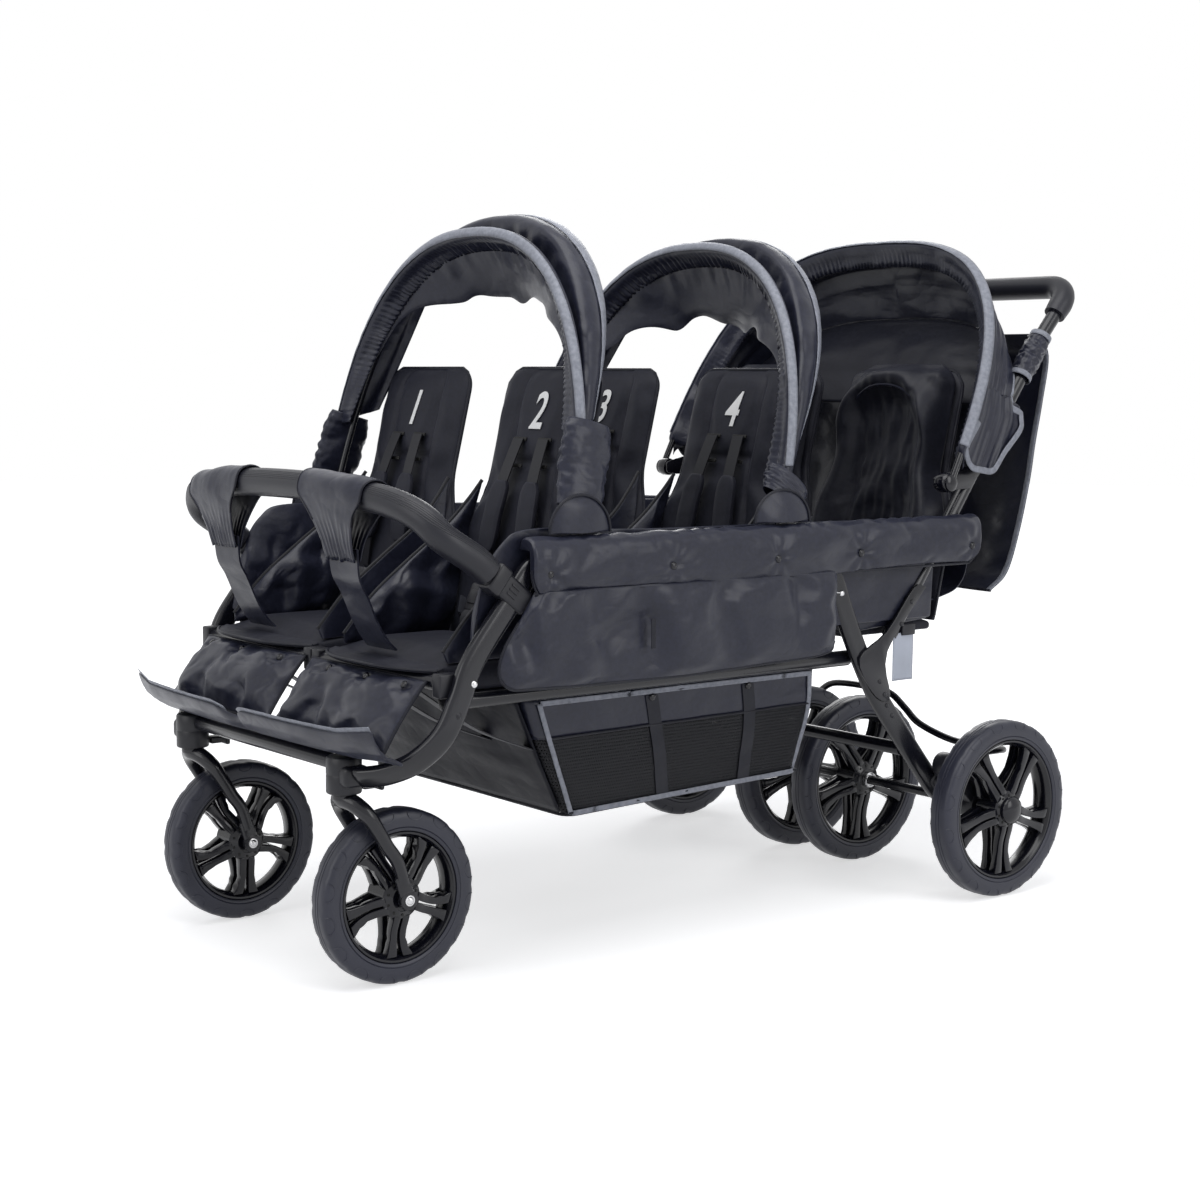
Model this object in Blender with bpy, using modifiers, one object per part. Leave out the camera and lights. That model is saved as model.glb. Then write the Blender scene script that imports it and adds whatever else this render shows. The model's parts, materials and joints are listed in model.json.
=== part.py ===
"""A six-seat stroller as separate parts: frame, casters, wheels, seats, canopies and basket.

Metres, +Z up. The stroller rolls towards -Y and +X is its left side.
Lengths along Y are given from a datum just ahead of the rear axle, heights from the floor.
"""

import math

import bmesh
import bpy
from mathutils import Matrix, Vector

# Clearances
GAP = 0.0003
SLIP = 0.0004
SOFT_GAP = 0.0006

# Wheels
REAR_WHEEL_DIAMETER = 0.295
FRONT_WHEEL_DIAMETER = 0.252
TYRE_WIDTH = 0.043
TYRE_HEIGHT = 0.031
TREAD_WIDTH = 0.024
RIM_WIDTH = 0.036
RIM_THICKNESS = 0.011
HUB_RADIUS = 0.031
HUB_HALF_LENGTH = 0.027
HUB_CAP_REACH = 0.040
HUB_CAP_WALL = 0.008
SPOKE_PAIRS = 5
SPOKE_WIDTH = 0.011
SPOKE_DEPTH = 0.020
REAR_AXLE_Y = 0.012
FRONT_AXLE_Y = -1.065
OUTER_WHEEL_X = 0.405
INNER_WHEEL_X = 0.075
AXLE_RADIUS = 0.008
COLLAR_RADIUS = 0.014
COLLAR_LENGTH = 0.006
WHEEL_STEPS = 24
ARCH_STEPS = 16
BAR_SEGMENTS = 16

# Casters
CASTER_X = 0.226
CASTER_TRAIL = 0.080
STEM_RADIUS = 0.012
HOUSING_RADIUS = 0.025
HOUSING_BOTTOM = 0.283
HOUSING_TOP = 0.335
FORK_TUBE_RADIUS = 0.010
FORK_CLEARANCE = 0.0065
LOCK_LENGTH = 0.034
LOCK_WIDTH = 0.020
LOCK_THICKNESS = 0.014

# Frame tubes
RAIL_X = 0.352
RAIL_HALF_WIDTH = 0.009
RAIL_HALF_DEPTH = 0.0175
RAIL_HEIGHT = 0.600
RAIL_REAR_Y = -0.028
RAIL_BEND_Y = -0.911
RAIL_BEND_RADIUS = 0.050
LEG_PLANE_X = 0.330
PUSH_TUBE_RADIUS = 0.0125
LOWER_RAIL_RADIUS = 0.0125
LOWER_RAIL_X = LEG_PLANE_X - RAIL_HALF_WIDTH - LOWER_RAIL_RADIUS - GAP
LOWER_RAIL_HEIGHT = 0.410
LOWER_RAIL_FRONT_Y = -1.035
LOWER_RAIL_REAR_Y = -0.252
CROSS_TUBE_RADIUS = 0.011
SEAT_CROSS_Y = -1.052
SEAT_CROSS_HEIGHT = 0.440
REAR_CROSS_Y = -0.133
REAR_CROSS_HEIGHT = 0.250

# Rear leg and its pivot
LEG_PIVOT_Y = -0.323
LEG_BOSS_RADIUS = 0.021
PIVOT_BOSS_RADIUS = 0.010
BRAKE_LOBE_Y = -0.065
BRAKE_LOBE_HEIGHT = 0.220
BRAKE_LOBE_RADIUS = 0.022
BRAKE_DRUM_RADIUS = 0.032
BRAKE_HOUSING_X = (0.3455, 0.3765)
BRAKE_BAR_RADIUS = 0.006
BRAKE_BAR_Y = 0.094

# Push frame
PUSH_PIVOT_Y = -0.060
PUSH_FOOT = (-0.178, 0.442)
HANDLE_Y = 0.255
HANDLE_HEIGHT = 1.018
HANDLE_BEND_RADIUS = 0.045
KNEE_HEIGHT = 0.925
PUSH_SLOPE = 0.7257
GRIP_RADIUS = 0.020
GRIP_TAIL = 0.020
GUSSET_THICKNESS = 0.0045

# Bumper bar
BUMPER_RADIUS = 0.0215
BUMPER_SPIGOT_RADIUS = 0.0100
CLAMP_FROM_BEND = 0.0557
CLAMP_HALF_HEIGHT = 0.018
CLAMP_HALF_WIDTH = 0.0122
CLAMP_REACH = 0.055
CLAMP_TAIL = 0.022

# Seats
SEAT_PITCH_X = 0.338
ROW_PITCH = 0.387
SEAT_TOP = 0.466
SEAT_CROWN = 0.012
PAN_HALF_WIDTH = 0.316
PAN_FRONT_Y = -1.036
PAN_REAR_Y = -0.836
LIP_REACH = 0.052
LIP_THICKNESS = 0.008
REAR_PAN_UNDER = 0.444
BACK_LENGTH = 0.430
BACK_TILT = math.radians(13.5)
BACK_THICKNESS = 0.024
BACK_TOP_HALF_WIDTH = 0.117
BACK_LOW_HALF_WIDTH = 0.146

# Canopies
BOW_RADIUS = 0.006
ARCH_POWER = 2.4
FRONT_BOW_X = 0.3370
REAR_BOW_X = 0.3255
CANOPY_PIVOT_Y = (-0.840, -0.450)
FRONT_BOW_TOP = ((-0.767, 1.076), (-0.319, 1.071))
REAR_BOW_TOP = ((-0.720, 1.096), (-0.262, 1.082))
CANOPY_CLOTH = 0.003
CANOPY_FOOT_SPREAD = 0.026
HOOD_PIVOT = (-0.079, 0.690)
HOOD_BOW_X = 0.366
HOOD_BOW_TOP = (0.121, 1.093)
HOOD_ARCH_POWER = 2.8
HOOD_CROWN = 0.07
HOOD_STANDOFF = 0.0043
KNOB_RADIUS = 0.016

# Footrest, panels and basket
BOARD_HALF_WIDTH = 0.350
BOARD_REACH = 1.205
BOARD_THICKNESS = 0.005
PANEL_X = 0.3645
PANEL_THICKNESS = 0.006
ROLL_TOP = 0.637
ROLL_BOTTOM = 0.557
ROLL_BULGE = 0.0145
SNAP_COUNT = 5
SNAP_DEPTH = 0.004
PANEL_TOP_Y = (-0.921, -0.335)
PANEL_BOTTOM = (
    (-0.965, 0.505),
    (-0.980, 0.446),
    (-0.945, 0.427),
    (-0.640, 0.421),
    (-0.345, 0.430),
    (-0.335, 0.445),
)
PANEL_FOLD = 0.0018
BASKET_HALF_WIDTH = LOWER_RAIL_X
BASKET_FLOOR_HALF_WIDTH = 0.270
BASKET_WALL = 0.003
COVER_FOLDS = 3
COVER_FOLD_DEPTH = 0.014
BASKET_TOP = LOWER_RAIL_HEIGHT - LOWER_RAIL_RADIUS - 3 * GAP
BASKET_FLOOR = 0.208

# The frame's origin is below the middle of the footboard's lip and the grip's back
HANDLE_REACH = HANDLE_Y + GRIP_RADIUS
DATUM_Y = (BOARD_REACH - HANDLE_REACH) / 2
REAR_AXLE_HEIGHT = REAR_WHEEL_DIAMETER / 2
FRONT_AXLE_HEIGHT = FRONT_WHEEL_DIAMETER / 2
CASTER_AXIS_Y = FRONT_AXLE_Y - CASTER_TRAIL

SIDES = (("left", 1), ("right", -1))
LEG_DIRECTION = Vector((0, -0.6247, -0.7809))
BUMPER_DIRECTION = Vector((0, -0.7809, 0.6247))


def at(x, y, z):
    """A world point from a place measured from the datum."""
    return Vector((x, y + DATUM_Y, z))


def new_collection(name):
    collection = bpy.data.collections.new(name)
    bpy.context.scene.collection.children.link(collection)
    return collection


def material(name, colour, roughness, metallic=0.0):
    made = bpy.data.materials.new(name)
    made.use_nodes = True
    shader = made.node_tree.nodes["Principled BSDF"]
    shader.inputs["Base Color"].default_value = (*colour, 1)
    shader.inputs["Roughness"].default_value = roughness
    shader.inputs["Metallic"].default_value = metallic
    return made


for old in list(bpy.data.objects):
    bpy.data.objects.remove(old)
PARTS = new_collection("six_seat_stroller")
HELPERS = new_collection("helpers")

BLACK_TUBE = material("black_tube", (0.018, 0.018, 0.020), 0.38, 0.6)
BLACK_PLASTIC = material("black_plastic", (0.020, 0.020, 0.022), 0.45)
GLOSS_PLASTIC = material("gloss_plastic", (0.022, 0.022, 0.025), 0.22)
STEEL = material("steel", (0.60, 0.60, 0.60), 0.30, 1.0)
TYRE = material("tyre_foam", (0.055, 0.057, 0.066), 0.72)
FOAM = material("grip_foam", (0.020, 0.020, 0.022), 0.80)
NYLON = material("nylon", (0.020, 0.021, 0.028), 0.60)
SEAT_CLOTH = material("seat_cloth", (0.018, 0.018, 0.022), 0.80)
MESH_CLOTH = material("mesh_cloth", (0.012, 0.012, 0.013), 0.70)


def mesh_object(name, bm, finish, collection=PARTS):
    mesh = bpy.data.meshes.new(name)
    bm.to_mesh(mesh)
    bm.free()
    made = bpy.data.objects.new(name, mesh)
    made.data.materials.append(finish)
    collection.objects.link(made)
    return made


def round_off(made, angle=35):
    """Smooth shading with the true edges kept sharp."""
    made.data.shade_smooth()
    made.data.set_sharp_from_angle(angle=math.radians(angle))
    return made


def put_origin(made, point):
    """Moves the origin onto a joint's axis and leaves the shape where it is."""
    made.data.transform(Matrix.Translation(-point))
    made.location = point
    return made


def to_mesh(made):
    """The same object as a plain welded mesh, so that it can be cut and joined."""
    bpy.context.view_layer.update()
    graph = bpy.context.evaluated_depsgraph_get()
    mesh = bpy.data.meshes.new_from_object(made.evaluated_get(graph))
    mesh.transform(made.matrix_world)
    bm = bmesh.new()
    bm.from_mesh(mesh)
    bmesh.ops.remove_doubles(bm, verts=bm.verts, dist=1e-6)
    bmesh.ops.recalc_face_normals(bm, faces=bm.faces)
    name = made.name
    finish = made.data.materials[0]
    bpy.data.objects.remove(made)
    bpy.data.meshes.remove(mesh)
    return mesh_object(name, bm, finish)


def combine(base, other, operation):
    """Joins or cuts base with other, and removes other."""
    modifier = base.modifiers.new(operation, "BOOLEAN")
    modifier.operation = operation
    modifier.object = other
    modifier.solver = "EXACT"
    made = to_mesh(base)
    bpy.data.objects.remove(other)
    return made


def join(base, *others):
    for other in others:
        base = combine(base, other, "UNION")
    return base


def cut(base, *others):
    for other in others:
        base = combine(base, other, "DIFFERENCE")
    return base


def rounded_path(corners, radius, steps):
    """The corners' path, with an arc of the given radius at each inner corner."""
    path = [corners[0]]
    for before, corner, after in zip(corners, corners[1:], corners[2:]):
        back = (before - corner).normalized()
        ahead = (after - corner).normalized()
        half = back.angle(ahead) / 2
        centre = corner + (back + ahead).normalized() * radius / math.sin(half)
        start = corner + back * radius / math.tan(half) - centre
        end = corner + ahead * radius / math.tan(half) - centre
        for i in range(steps + 1):
            path.append(centre + start.slerp(end, i / steps).normalized() * radius)
    return path + [corners[-1]]


def smooth_path(points, steps):
    """A smooth curve through the points, with each span cut into steps."""
    path = []
    ends = [2 * points[0] - points[1]] + list(points) + [2 * points[-1] - points[-2]]
    for p0, p1, p2, p3 in zip(ends, ends[1:], ends[2:], ends[3:]):
        for i in range(steps):
            t = i / steps
            bend = (p2 - p0) * t + (2 * p0 - 5 * p1 + 4 * p2 - p3) * t**2
            path.append(p1 + (bend + (3 * p1 - p0 - 3 * p2 + p3) * t**3) / 2)
    return path + [points[-1]]


def tube(name, path, radius, finish, sides=2, radii=None, profile=None):
    """A tube along a path, round or with the section of a profile curve."""
    curve = bpy.data.curves.new(name, "CURVE")
    curve.dimensions = "3D"
    curve.use_fill_caps = True
    if profile:
        curve.bevel_mode = "OBJECT"
        curve.bevel_object = profile
    else:
        curve.bevel_depth = radius
        curve.bevel_resolution = sides
    spline = curve.splines.new("POLY")
    spline.points.add(len(path) - 1)
    for i, point in enumerate(path):
        spline.points[i].co = (*point, 1)
        spline.points[i].radius = radii[i] / radius if radii else 1
    made = bpy.data.objects.new(name, curve)
    curve.materials.append(finish)
    PARTS.objects.link(made)
    return made


def oval_profile(name, half_width, half_depth, steps=10):
    """A flat-oval section for tubes, kept as a guide."""
    curve = bpy.data.curves.new(name, "CURVE")
    curve.dimensions = "2D"
    spline = curve.splines.new("POLY")
    spline.points.add(steps - 1)
    spline.use_cyclic_u = True
    for i in range(steps):
        turn = 2 * math.pi * (i + 0.5) / steps
        wide = math.copysign(abs(math.cos(turn)) ** 0.7, math.cos(turn))
        deep = math.copysign(abs(math.sin(turn)) ** 0.7, math.sin(turn))
        spline.points[i].co = (half_width * wide, half_depth * deep, 0, 1)
    made = bpy.data.objects.new(name, curve)
    made.hide_render = True
    made.display_type = "WIRE"
    HELPERS.objects.link(made)
    return made


def cylinder(name, radius, start, end, finish, segments=BAR_SEGMENTS):
    """A round bar between two points."""
    bm = bmesh.new()
    axis = end - start
    bmesh.ops.create_cone(
        bm, cap_ends=True, segments=segments, radius1=radius, radius2=radius, depth=axis.length
    )
    turn = axis.to_track_quat("Z", "Y").to_matrix().to_4x4()
    bm.transform(Matrix.Translation((start + end) / 2) @ turn)
    return round_off(mesh_object(name, bm, finish))


def block(name, size, centre, finish, tilt=0.0):
    """A box tilted about X, with its edges left square."""
    bm = bmesh.new()
    bmesh.ops.create_cube(bm, size=1)
    bm.transform(Matrix.Diagonal((*size, 1)))
    bm.transform(Matrix.Translation(centre) @ Matrix.Rotation(tilt, 4, "X"))
    return mesh_object(name, bm, finish)


def plate(name, outline, x_low, x_high, finish):
    """A flat plate across X with a closed outline of (y, z) places."""
    bm = bmesh.new()
    face = bm.faces.new([bm.verts.new(at(x_low, y, z)) for y, z in outline])
    swept = bmesh.ops.extrude_face_region(bm, geom=[face], use_keep_orig=True)
    moved = [item for item in swept["geom"] if isinstance(item, bmesh.types.BMVert)]
    bmesh.ops.translate(bm, verts=moved, vec=(x_high - x_low, 0, 0))
    bmesh.ops.recalc_face_normals(bm, faces=bm.faces)
    return mesh_object(name, bm, finish)


def turned(name, profile, steps, finish):
    """A ring turned about X from a closed profile of (x, radius) places."""
    half_step = math.pi / steps
    bm = bmesh.new()
    verts = [
        bm.verts.new((x, -r * math.sin(half_step), r * math.cos(half_step))) for x, r in profile
    ]
    for i, vert in enumerate(verts):
        bm.edges.new((verts[i - 1], vert))
    made = mesh_object(name, bm, finish)
    screw = made.modifiers.new("turn", "SCREW")
    screw.axis = "X"
    screw.steps = screw.render_steps = steps
    screw.use_merge_vertices = True
    screw.merge_threshold = 0.00001
    return to_mesh(made)


def pad(name, us, vs, point, finish):
    """A closed soft form: point(u, v, face) gives its front (1) and its back (-1)."""
    bm = bmesh.new()
    bmesh.ops.create_grid(bm, x_segments=len(us) - 1, y_segments=len(vs) - 1, size=1)
    back = set(bm.verts)
    bmesh.ops.extrude_face_region(bm, geom=bm.faces[:], use_keep_orig=True)
    for vert in bm.verts:
        u = us[round((vert.co.x + 1) / 2 * (len(us) - 1))]
        v = vs[round((vert.co.y + 1) / 2 * (len(vs) - 1))]
        vert.co = point(u, v, -1 if vert in back else 1)
    bm.normal_update()
    bmesh.ops.recalc_face_normals(bm, faces=bm.faces)
    return round_off(mesh_object(name, bm, finish), 60)


def spread(low, high, count):
    return [low + (high - low) * i / count for i in range(count + 1)]


def tyre_profile(radius):
    """Half-round shoulders, a flat tread and a seat for the rim."""
    outer = radius / math.cos(math.pi / WHEEL_STEPS)
    inner = radius - TYRE_HEIGHT
    half = TYRE_WIDTH / 2
    tread = TREAD_WIDTH / 2
    shoulder = outer - (half - tread)
    return [
        (-RIM_WIDTH / 2, inner),
        (-half, inner + 0.006),
        (-half, shoulder),
        (-tread, outer),
        (tread, outer),
        (half, shoulder),
        (half, inner + 0.006),
        (RIM_WIDTH / 2, inner),
    ]


def rim(name, wheel_radius, cap_reach):
    """A ring, a hub and pairs of spokes that spread towards the ring."""
    ring_outer = wheel_radius - TYRE_HEIGHT - GAP
    ring_inner = ring_outer - RIM_THICKNESS
    half = RIM_WIDTH / 2
    profile = [(-half, ring_inner), (-half, ring_outer), (half, ring_outer), (half, ring_inner)]
    made = turned(name, profile, WHEEL_STEPS, GLOSS_PLASTIC)
    hub_start = Vector((-HUB_HALF_LENGTH, 0, 0))
    hub_end = Vector((max(cap_reach, HUB_HALF_LENGTH), 0, 0))
    made = join(made, cylinder("hub", HUB_RADIUS, hub_start, hub_end, GLOSS_PLASTIC))
    for pair in range(SPOKE_PAIRS):
        middle = math.tau * pair / SPOKE_PAIRS
        for lean in (-1, 1):
            foot = middle + lean * math.radians(15)
            tip = middle + lean * math.radians(9.5)
            start = Vector((0, math.sin(foot), -math.cos(foot))) * (HUB_RADIUS - 0.006)
            end = Vector((0, math.sin(tip), -math.cos(tip))) * (ring_inner + 0.004)
            made = join(made, spoke(start, end))
    bore_end = HUB_HALF_LENGTH + 0.010 if not cap_reach else cap_reach - HUB_CAP_WALL
    bore_start = Vector((-HUB_HALF_LENGTH - 0.010, 0, 0))
    bore = cylinder("bore", AXLE_RADIUS + SLIP, bore_start, Vector((bore_end, 0, 0)), STEEL)
    return round_off(cut(made, bore))


def spoke(start, end):
    along = end - start
    bm = bmesh.new()
    bmesh.ops.create_cube(bm, size=1)
    bm.transform(Matrix.Diagonal((SPOKE_DEPTH, SPOKE_WIDTH, along.length, 1)))
    turn = Matrix.Rotation(math.atan2(-along.y, along.z), 4, "X")
    bm.transform(Matrix.Translation((start + end) / 2) @ turn)
    return mesh_object("spoke", bm, GLOSS_PLASTIC)


def copy_to(source, name, place, turned_round=False):
    """Another object with the same mesh, at its axle, turned about Z on the right side."""
    made = bpy.data.objects.new(name, source.data)
    made.location = place
    made.rotation_euler.z = math.pi if turned_round else 0
    PARTS.objects.link(made)
    return made


def wheels():
    rear_radius = REAR_WHEEL_DIAMETER / 2
    front_radius = FRONT_WHEEL_DIAMETER / 2
    rear_tyre = round_off(turned("rear_tyre", tyre_profile(rear_radius), WHEEL_STEPS, TYRE), 50)
    front_tyre = round_off(turned("front_tyre", tyre_profile(front_radius), WHEEL_STEPS, TYRE), 50)
    outer_rim = rim("outer_rim", rear_radius, HUB_CAP_REACH)
    inner_rim = rim("inner_rim", rear_radius, 0)
    front_rim = rim("front_rim", front_radius, 0)
    for side_name, side in SIDES:
        turn = side < 0
        place = at(side * OUTER_WHEEL_X, REAR_AXLE_Y, REAR_AXLE_HEIGHT)
        copy_to(rear_tyre, f"tyre_rear_outer_{side_name}", place, turn)
        copy_to(outer_rim, f"rim_rear_outer_{side_name}", place, turn)
        place = at(side * INNER_WHEEL_X, REAR_AXLE_Y, REAR_AXLE_HEIGHT)
        copy_to(rear_tyre, f"tyre_rear_inner_{side_name}", place, turn)
        copy_to(inner_rim, f"rim_rear_inner_{side_name}", place, turn)
        place = at(side * CASTER_X, FRONT_AXLE_Y, FRONT_AXLE_HEIGHT)
        copy_to(front_tyre, f"tyre_front_{side_name}", place, turn)
        copy_to(front_rim, f"rim_front_{side_name}", place, turn)
    for pattern in (rear_tyre, front_tyre, outer_rim, inner_rim, front_rim):
        bpy.data.objects.remove(pattern)


def caster(side_name, side):
    """Housing on the frame, swivelling fork with its stem and bolt, and the swivel lock."""
    x = side * CASTER_X
    axis = at(x, CASTER_AXIS_Y, 0)
    up = Vector((0, 0, 1))
    housing = cylinder(
        f"caster_housing_{side_name}",
        HOUSING_RADIUS,
        axis + up * HOUSING_BOTTOM,
        axis + up * HOUSING_TOP,
        BLACK_PLASTIC,
    )
    stem_top = HOUSING_TOP - 0.010
    bore = cylinder(
        "bore",
        STEM_RADIUS + SLIP,
        axis + up * (HOUSING_BOTTOM - 0.010),
        axis + up * (stem_top + GAP),
        STEEL,
    )
    round_off(cut(housing, bore))
    blade_x = TYRE_WIDTH / 2 + FORK_CLEARANCE + FORK_TUBE_RADIUS
    crown = HOUSING_BOTTOM - GAP - FORK_TUBE_RADIUS
    drop = FRONT_AXLE_HEIGHT
    half = [
        (0.000, 0.000, crown),
        (0.55 * blade_x, 0.004, crown - 0.004),
        (blade_x, 0.018, crown - 0.022),
        (blade_x, 0.046, crown - 0.062),
        (blade_x, 0.074, drop + 0.045),
        (blade_x, CASTER_TRAIL, drop),
    ]
    right_half = [Vector((-a, b, c)) for a, b, c in reversed(half[1:])]
    points = right_half + [Vector(p) for p in half]
    path = [axis + p for p in smooth_path(points, 2)]
    fork = to_mesh(tube(f"caster_fork_{side_name}", path, FORK_TUBE_RADIUS, BLACK_TUBE))
    stem = cylinder("stem", STEM_RADIUS, axis + up * crown, axis + up * stem_top, BLACK_TUBE)
    hub = at(x, FRONT_AXLE_Y, FRONT_AXLE_HEIGHT)
    reach = Vector((blade_x + FORK_TUBE_RADIUS + 0.003, 0, 0))
    bolt = cylinder("bolt", AXLE_RADIUS - GAP, hub - reach, hub + reach, STEEL, 12)
    fork = round_off(join(fork, stem, bolt))
    put_origin(fork, axis + up * HOUSING_BOTTOM)
    hinge = at(x, CASTER_AXIS_Y + HOUSING_RADIUS + GAP, HOUSING_BOTTOM + LOCK_THICKNESS)
    size = (LOCK_WIDTH, LOCK_LENGTH, LOCK_THICKNESS)
    middle = hinge + Vector((0, LOCK_LENGTH / 2, -LOCK_THICKNESS / 2))
    lock = block(f"caster_lock_{side_name}", size, middle, BLACK_PLASTIC)
    soften(lock, 0.003)
    put_origin(lock, hinge)


def soften(made, width, segments=2):
    bevel = made.modifiers.new("soft_edge", "BEVEL")
    bevel.width = width
    bevel.segments = segments
    return made


def leg_top():
    return at(RAIL_X, RAIL_BEND_Y, RAIL_HEIGHT)


def side_frame_path(side):
    """The upper rail, its bend, and the front leg that sweeps in to the caster housing."""
    knee = leg_top()
    leg_end = CASTER_X + HOUSING_RADIUS + 5 * GAP
    leg = [knee + LEG_DIRECTION * reach for reach in (CLAMP_FROM_BEND, 0.165)]
    sweep = [
        at(RAIL_X, -1.037, 0.420),
        at(RAIL_X - 0.002, -1.062, 0.372),
        at(RAIL_X - 0.024, -1.092, 0.336),
        at(RAIL_X - 0.056, -1.117, 0.317),
        at(leg_end + 0.014, -1.137, 0.310),
        at(leg_end, -1.138, 0.3095),
    ]
    bend = rounded_path([at(RAIL_X, RAIL_REAR_Y, RAIL_HEIGHT), knee, leg[0]], RAIL_BEND_RADIUS, 4)
    path = bend + smooth_path([leg[0], leg[1]] + sweep, 2)[1:]
    return [Vector((side * p.x, p.y, p.z)) for p in path]


def side_frames(oval):
    for side_name, side in SIDES:
        name = f"side_frame_{side_name}"
        round_off(to_mesh(tube(name, side_frame_path(side), 1, BLACK_TUBE, profile=oval)))
        start = at(side * LOWER_RAIL_X, LOWER_RAIL_FRONT_Y, LOWER_RAIL_HEIGHT)
        end = at(side * LOWER_RAIL_X, LOWER_RAIL_REAR_Y, LOWER_RAIL_HEIGHT)
        cylinder(f"lower_rail_{side_name}", LOWER_RAIL_RADIUS, start, end, BLACK_TUBE, 12)


def crossbars():
    reach = CASTER_X - HOUSING_RADIUS - GAP
    height = HOUSING_TOP - CROSS_TUBE_RADIUS - 0.001
    ends = [at(x, CASTER_AXIS_Y, height) for x in (-reach, reach)]
    cylinder("front_crossbar", CROSS_TUBE_RADIUS, *ends, BLACK_TUBE, 12)
    reach = RAIL_X - RAIL_HALF_WIDTH + 3 * GAP
    ends = [at(x, SEAT_CROSS_Y, SEAT_CROSS_HEIGHT) for x in (-reach, reach)]
    cylinder("seat_cross_tube", CROSS_TUBE_RADIUS, *ends, BLACK_TUBE, 12)


def rear_leg(side_name, side, oval):
    """Curved leg from its pivot on the rail down to the axle."""
    points = [
        at(side * LEG_PLANE_X, LEG_PIVOT_Y, RAIL_HEIGHT),
        at(side * LEG_PLANE_X, -0.305, 0.545),
        at(side * LEG_PLANE_X, -0.270, 0.463),
        at(side * LEG_PLANE_X, -0.214, 0.362),
        at(side * LEG_PLANE_X, -0.155, 0.287),
        at(side * LEG_PLANE_X, -0.091, 0.211),
        at(side * LEG_PLANE_X, -0.056, 0.174),
        at(side * LEG_PLANE_X, -0.006, 0.152),
    ]
    name = f"rear_leg_{side_name}"
    leg = to_mesh(tube(name, smooth_path(points, 2), 1, BLACK_TUBE, profile=oval))
    rail_face = RAIL_X - RAIL_HALF_WIDTH - GAP
    top = points[0]
    outward = Vector((side, 0, 0))
    boss_end = top + outward * (rail_face - LEG_PLANE_X)
    pivot = cylinder("pivot", PIVOT_BOSS_RADIUS, top, boss_end, BLACK_TUBE)
    low = at(side * LEG_PLANE_X, REAR_AXLE_Y, REAR_AXLE_HEIGHT)
    boss_out = low + outward * (BRAKE_HOUSING_X[0] - GAP - LEG_PLANE_X)
    boss = cylinder("boss", LEG_BOSS_RADIUS, low - outward * 0.010, boss_out, BLACK_TUBE)
    hole_ends = (low - outward * 0.030, low + outward * 0.030)
    hole = cylinder("hole", AXLE_RADIUS + GAP, *hole_ends, STEEL)
    leg = round_off(cut(join(leg, pivot, boss), hole))
    put_origin(leg, top)


def brake_housing(side_name, side):
    """A drum round the axle with a lobe for the brake bar's pivot."""
    low, high = (side * value for value in BRAKE_HOUSING_X)
    name = f"brake_housing_{side_name}"
    drum_ends = [at(x, REAR_AXLE_Y, REAR_AXLE_HEIGHT) for x in (low, high)]
    drum = cylinder(name, BRAKE_DRUM_RADIUS, *drum_ends, BLACK_PLASTIC)
    lobe_ends = [at(x, BRAKE_LOBE_Y, BRAKE_LOBE_HEIGHT) for x in (low, high)]
    lobe = cylinder("lobe", BRAKE_LOBE_RADIUS, *lobe_ends, BLACK_PLASTIC)
    rise = BRAKE_LOBE_HEIGHT - REAR_AXLE_HEIGHT
    run = BRAKE_LOBE_Y - REAR_AXLE_Y
    middle = at((low + high) / 2, REAR_AXLE_Y + run / 2, REAR_AXLE_HEIGHT + rise / 2)
    length = math.hypot(rise, run)
    size = (BRAKE_HOUSING_X[1] - BRAKE_HOUSING_X[0], 1.3 * BRAKE_LOBE_RADIUS, length)
    neck = block("neck", size, middle, BLACK_PLASTIC, math.atan2(-run, rise))
    beyond = Vector((side, 0, 0)) * 0.01
    hole_ends = (drum_ends[0] - beyond, drum_ends[1] + beyond)
    hole = cylinder("hole", AXLE_RADIUS + GAP, *hole_ends, STEEL)
    round_off(cut(join(drum, lobe, neck), hole))


def rear_axle():
    """The axle through all four rear wheels, with collars beside the inner pair."""
    reach = OUTER_WHEEL_X + HUB_CAP_REACH - HUB_CAP_WALL - 0.001
    path = [at(-reach, REAR_AXLE_Y, REAR_AXLE_HEIGHT)]
    radii = [AXLE_RADIUS]
    for centre in (-INNER_WHEEL_X, INNER_WHEEL_X):
        for edge in (-1, 1):
            near = HUB_HALF_LENGTH + SLIP
            collar = sorted((centre + edge * near, centre + edge * (near + COLLAR_LENGTH)))
            for x, outside in ((collar[0], -1), (collar[1], 1)):
                step = (AXLE_RADIUS, COLLAR_RADIUS) if outside < 0 else (COLLAR_RADIUS, AXLE_RADIUS)
                path += [at(x + ahead, REAR_AXLE_Y, REAR_AXLE_HEIGHT) for ahead in (0, 0.0001)]
                radii += step
    path.append(at(reach, REAR_AXLE_Y, REAR_AXLE_HEIGHT))
    radii.append(AXLE_RADIUS)
    axle = tube("rear_axle", path, AXLE_RADIUS, STEEL, radii=radii)
    put_origin(axle, at(0, REAR_AXLE_Y, REAR_AXLE_HEIGHT))
    reach = LEG_PLANE_X - RAIL_HALF_WIDTH - GAP
    ends = [at(x, REAR_CROSS_Y, REAR_CROSS_HEIGHT) for x in (-reach, reach)]
    cylinder("rear_cross_tube", CROSS_TUBE_RADIUS, *ends, BLACK_TUBE, 12)


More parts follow.
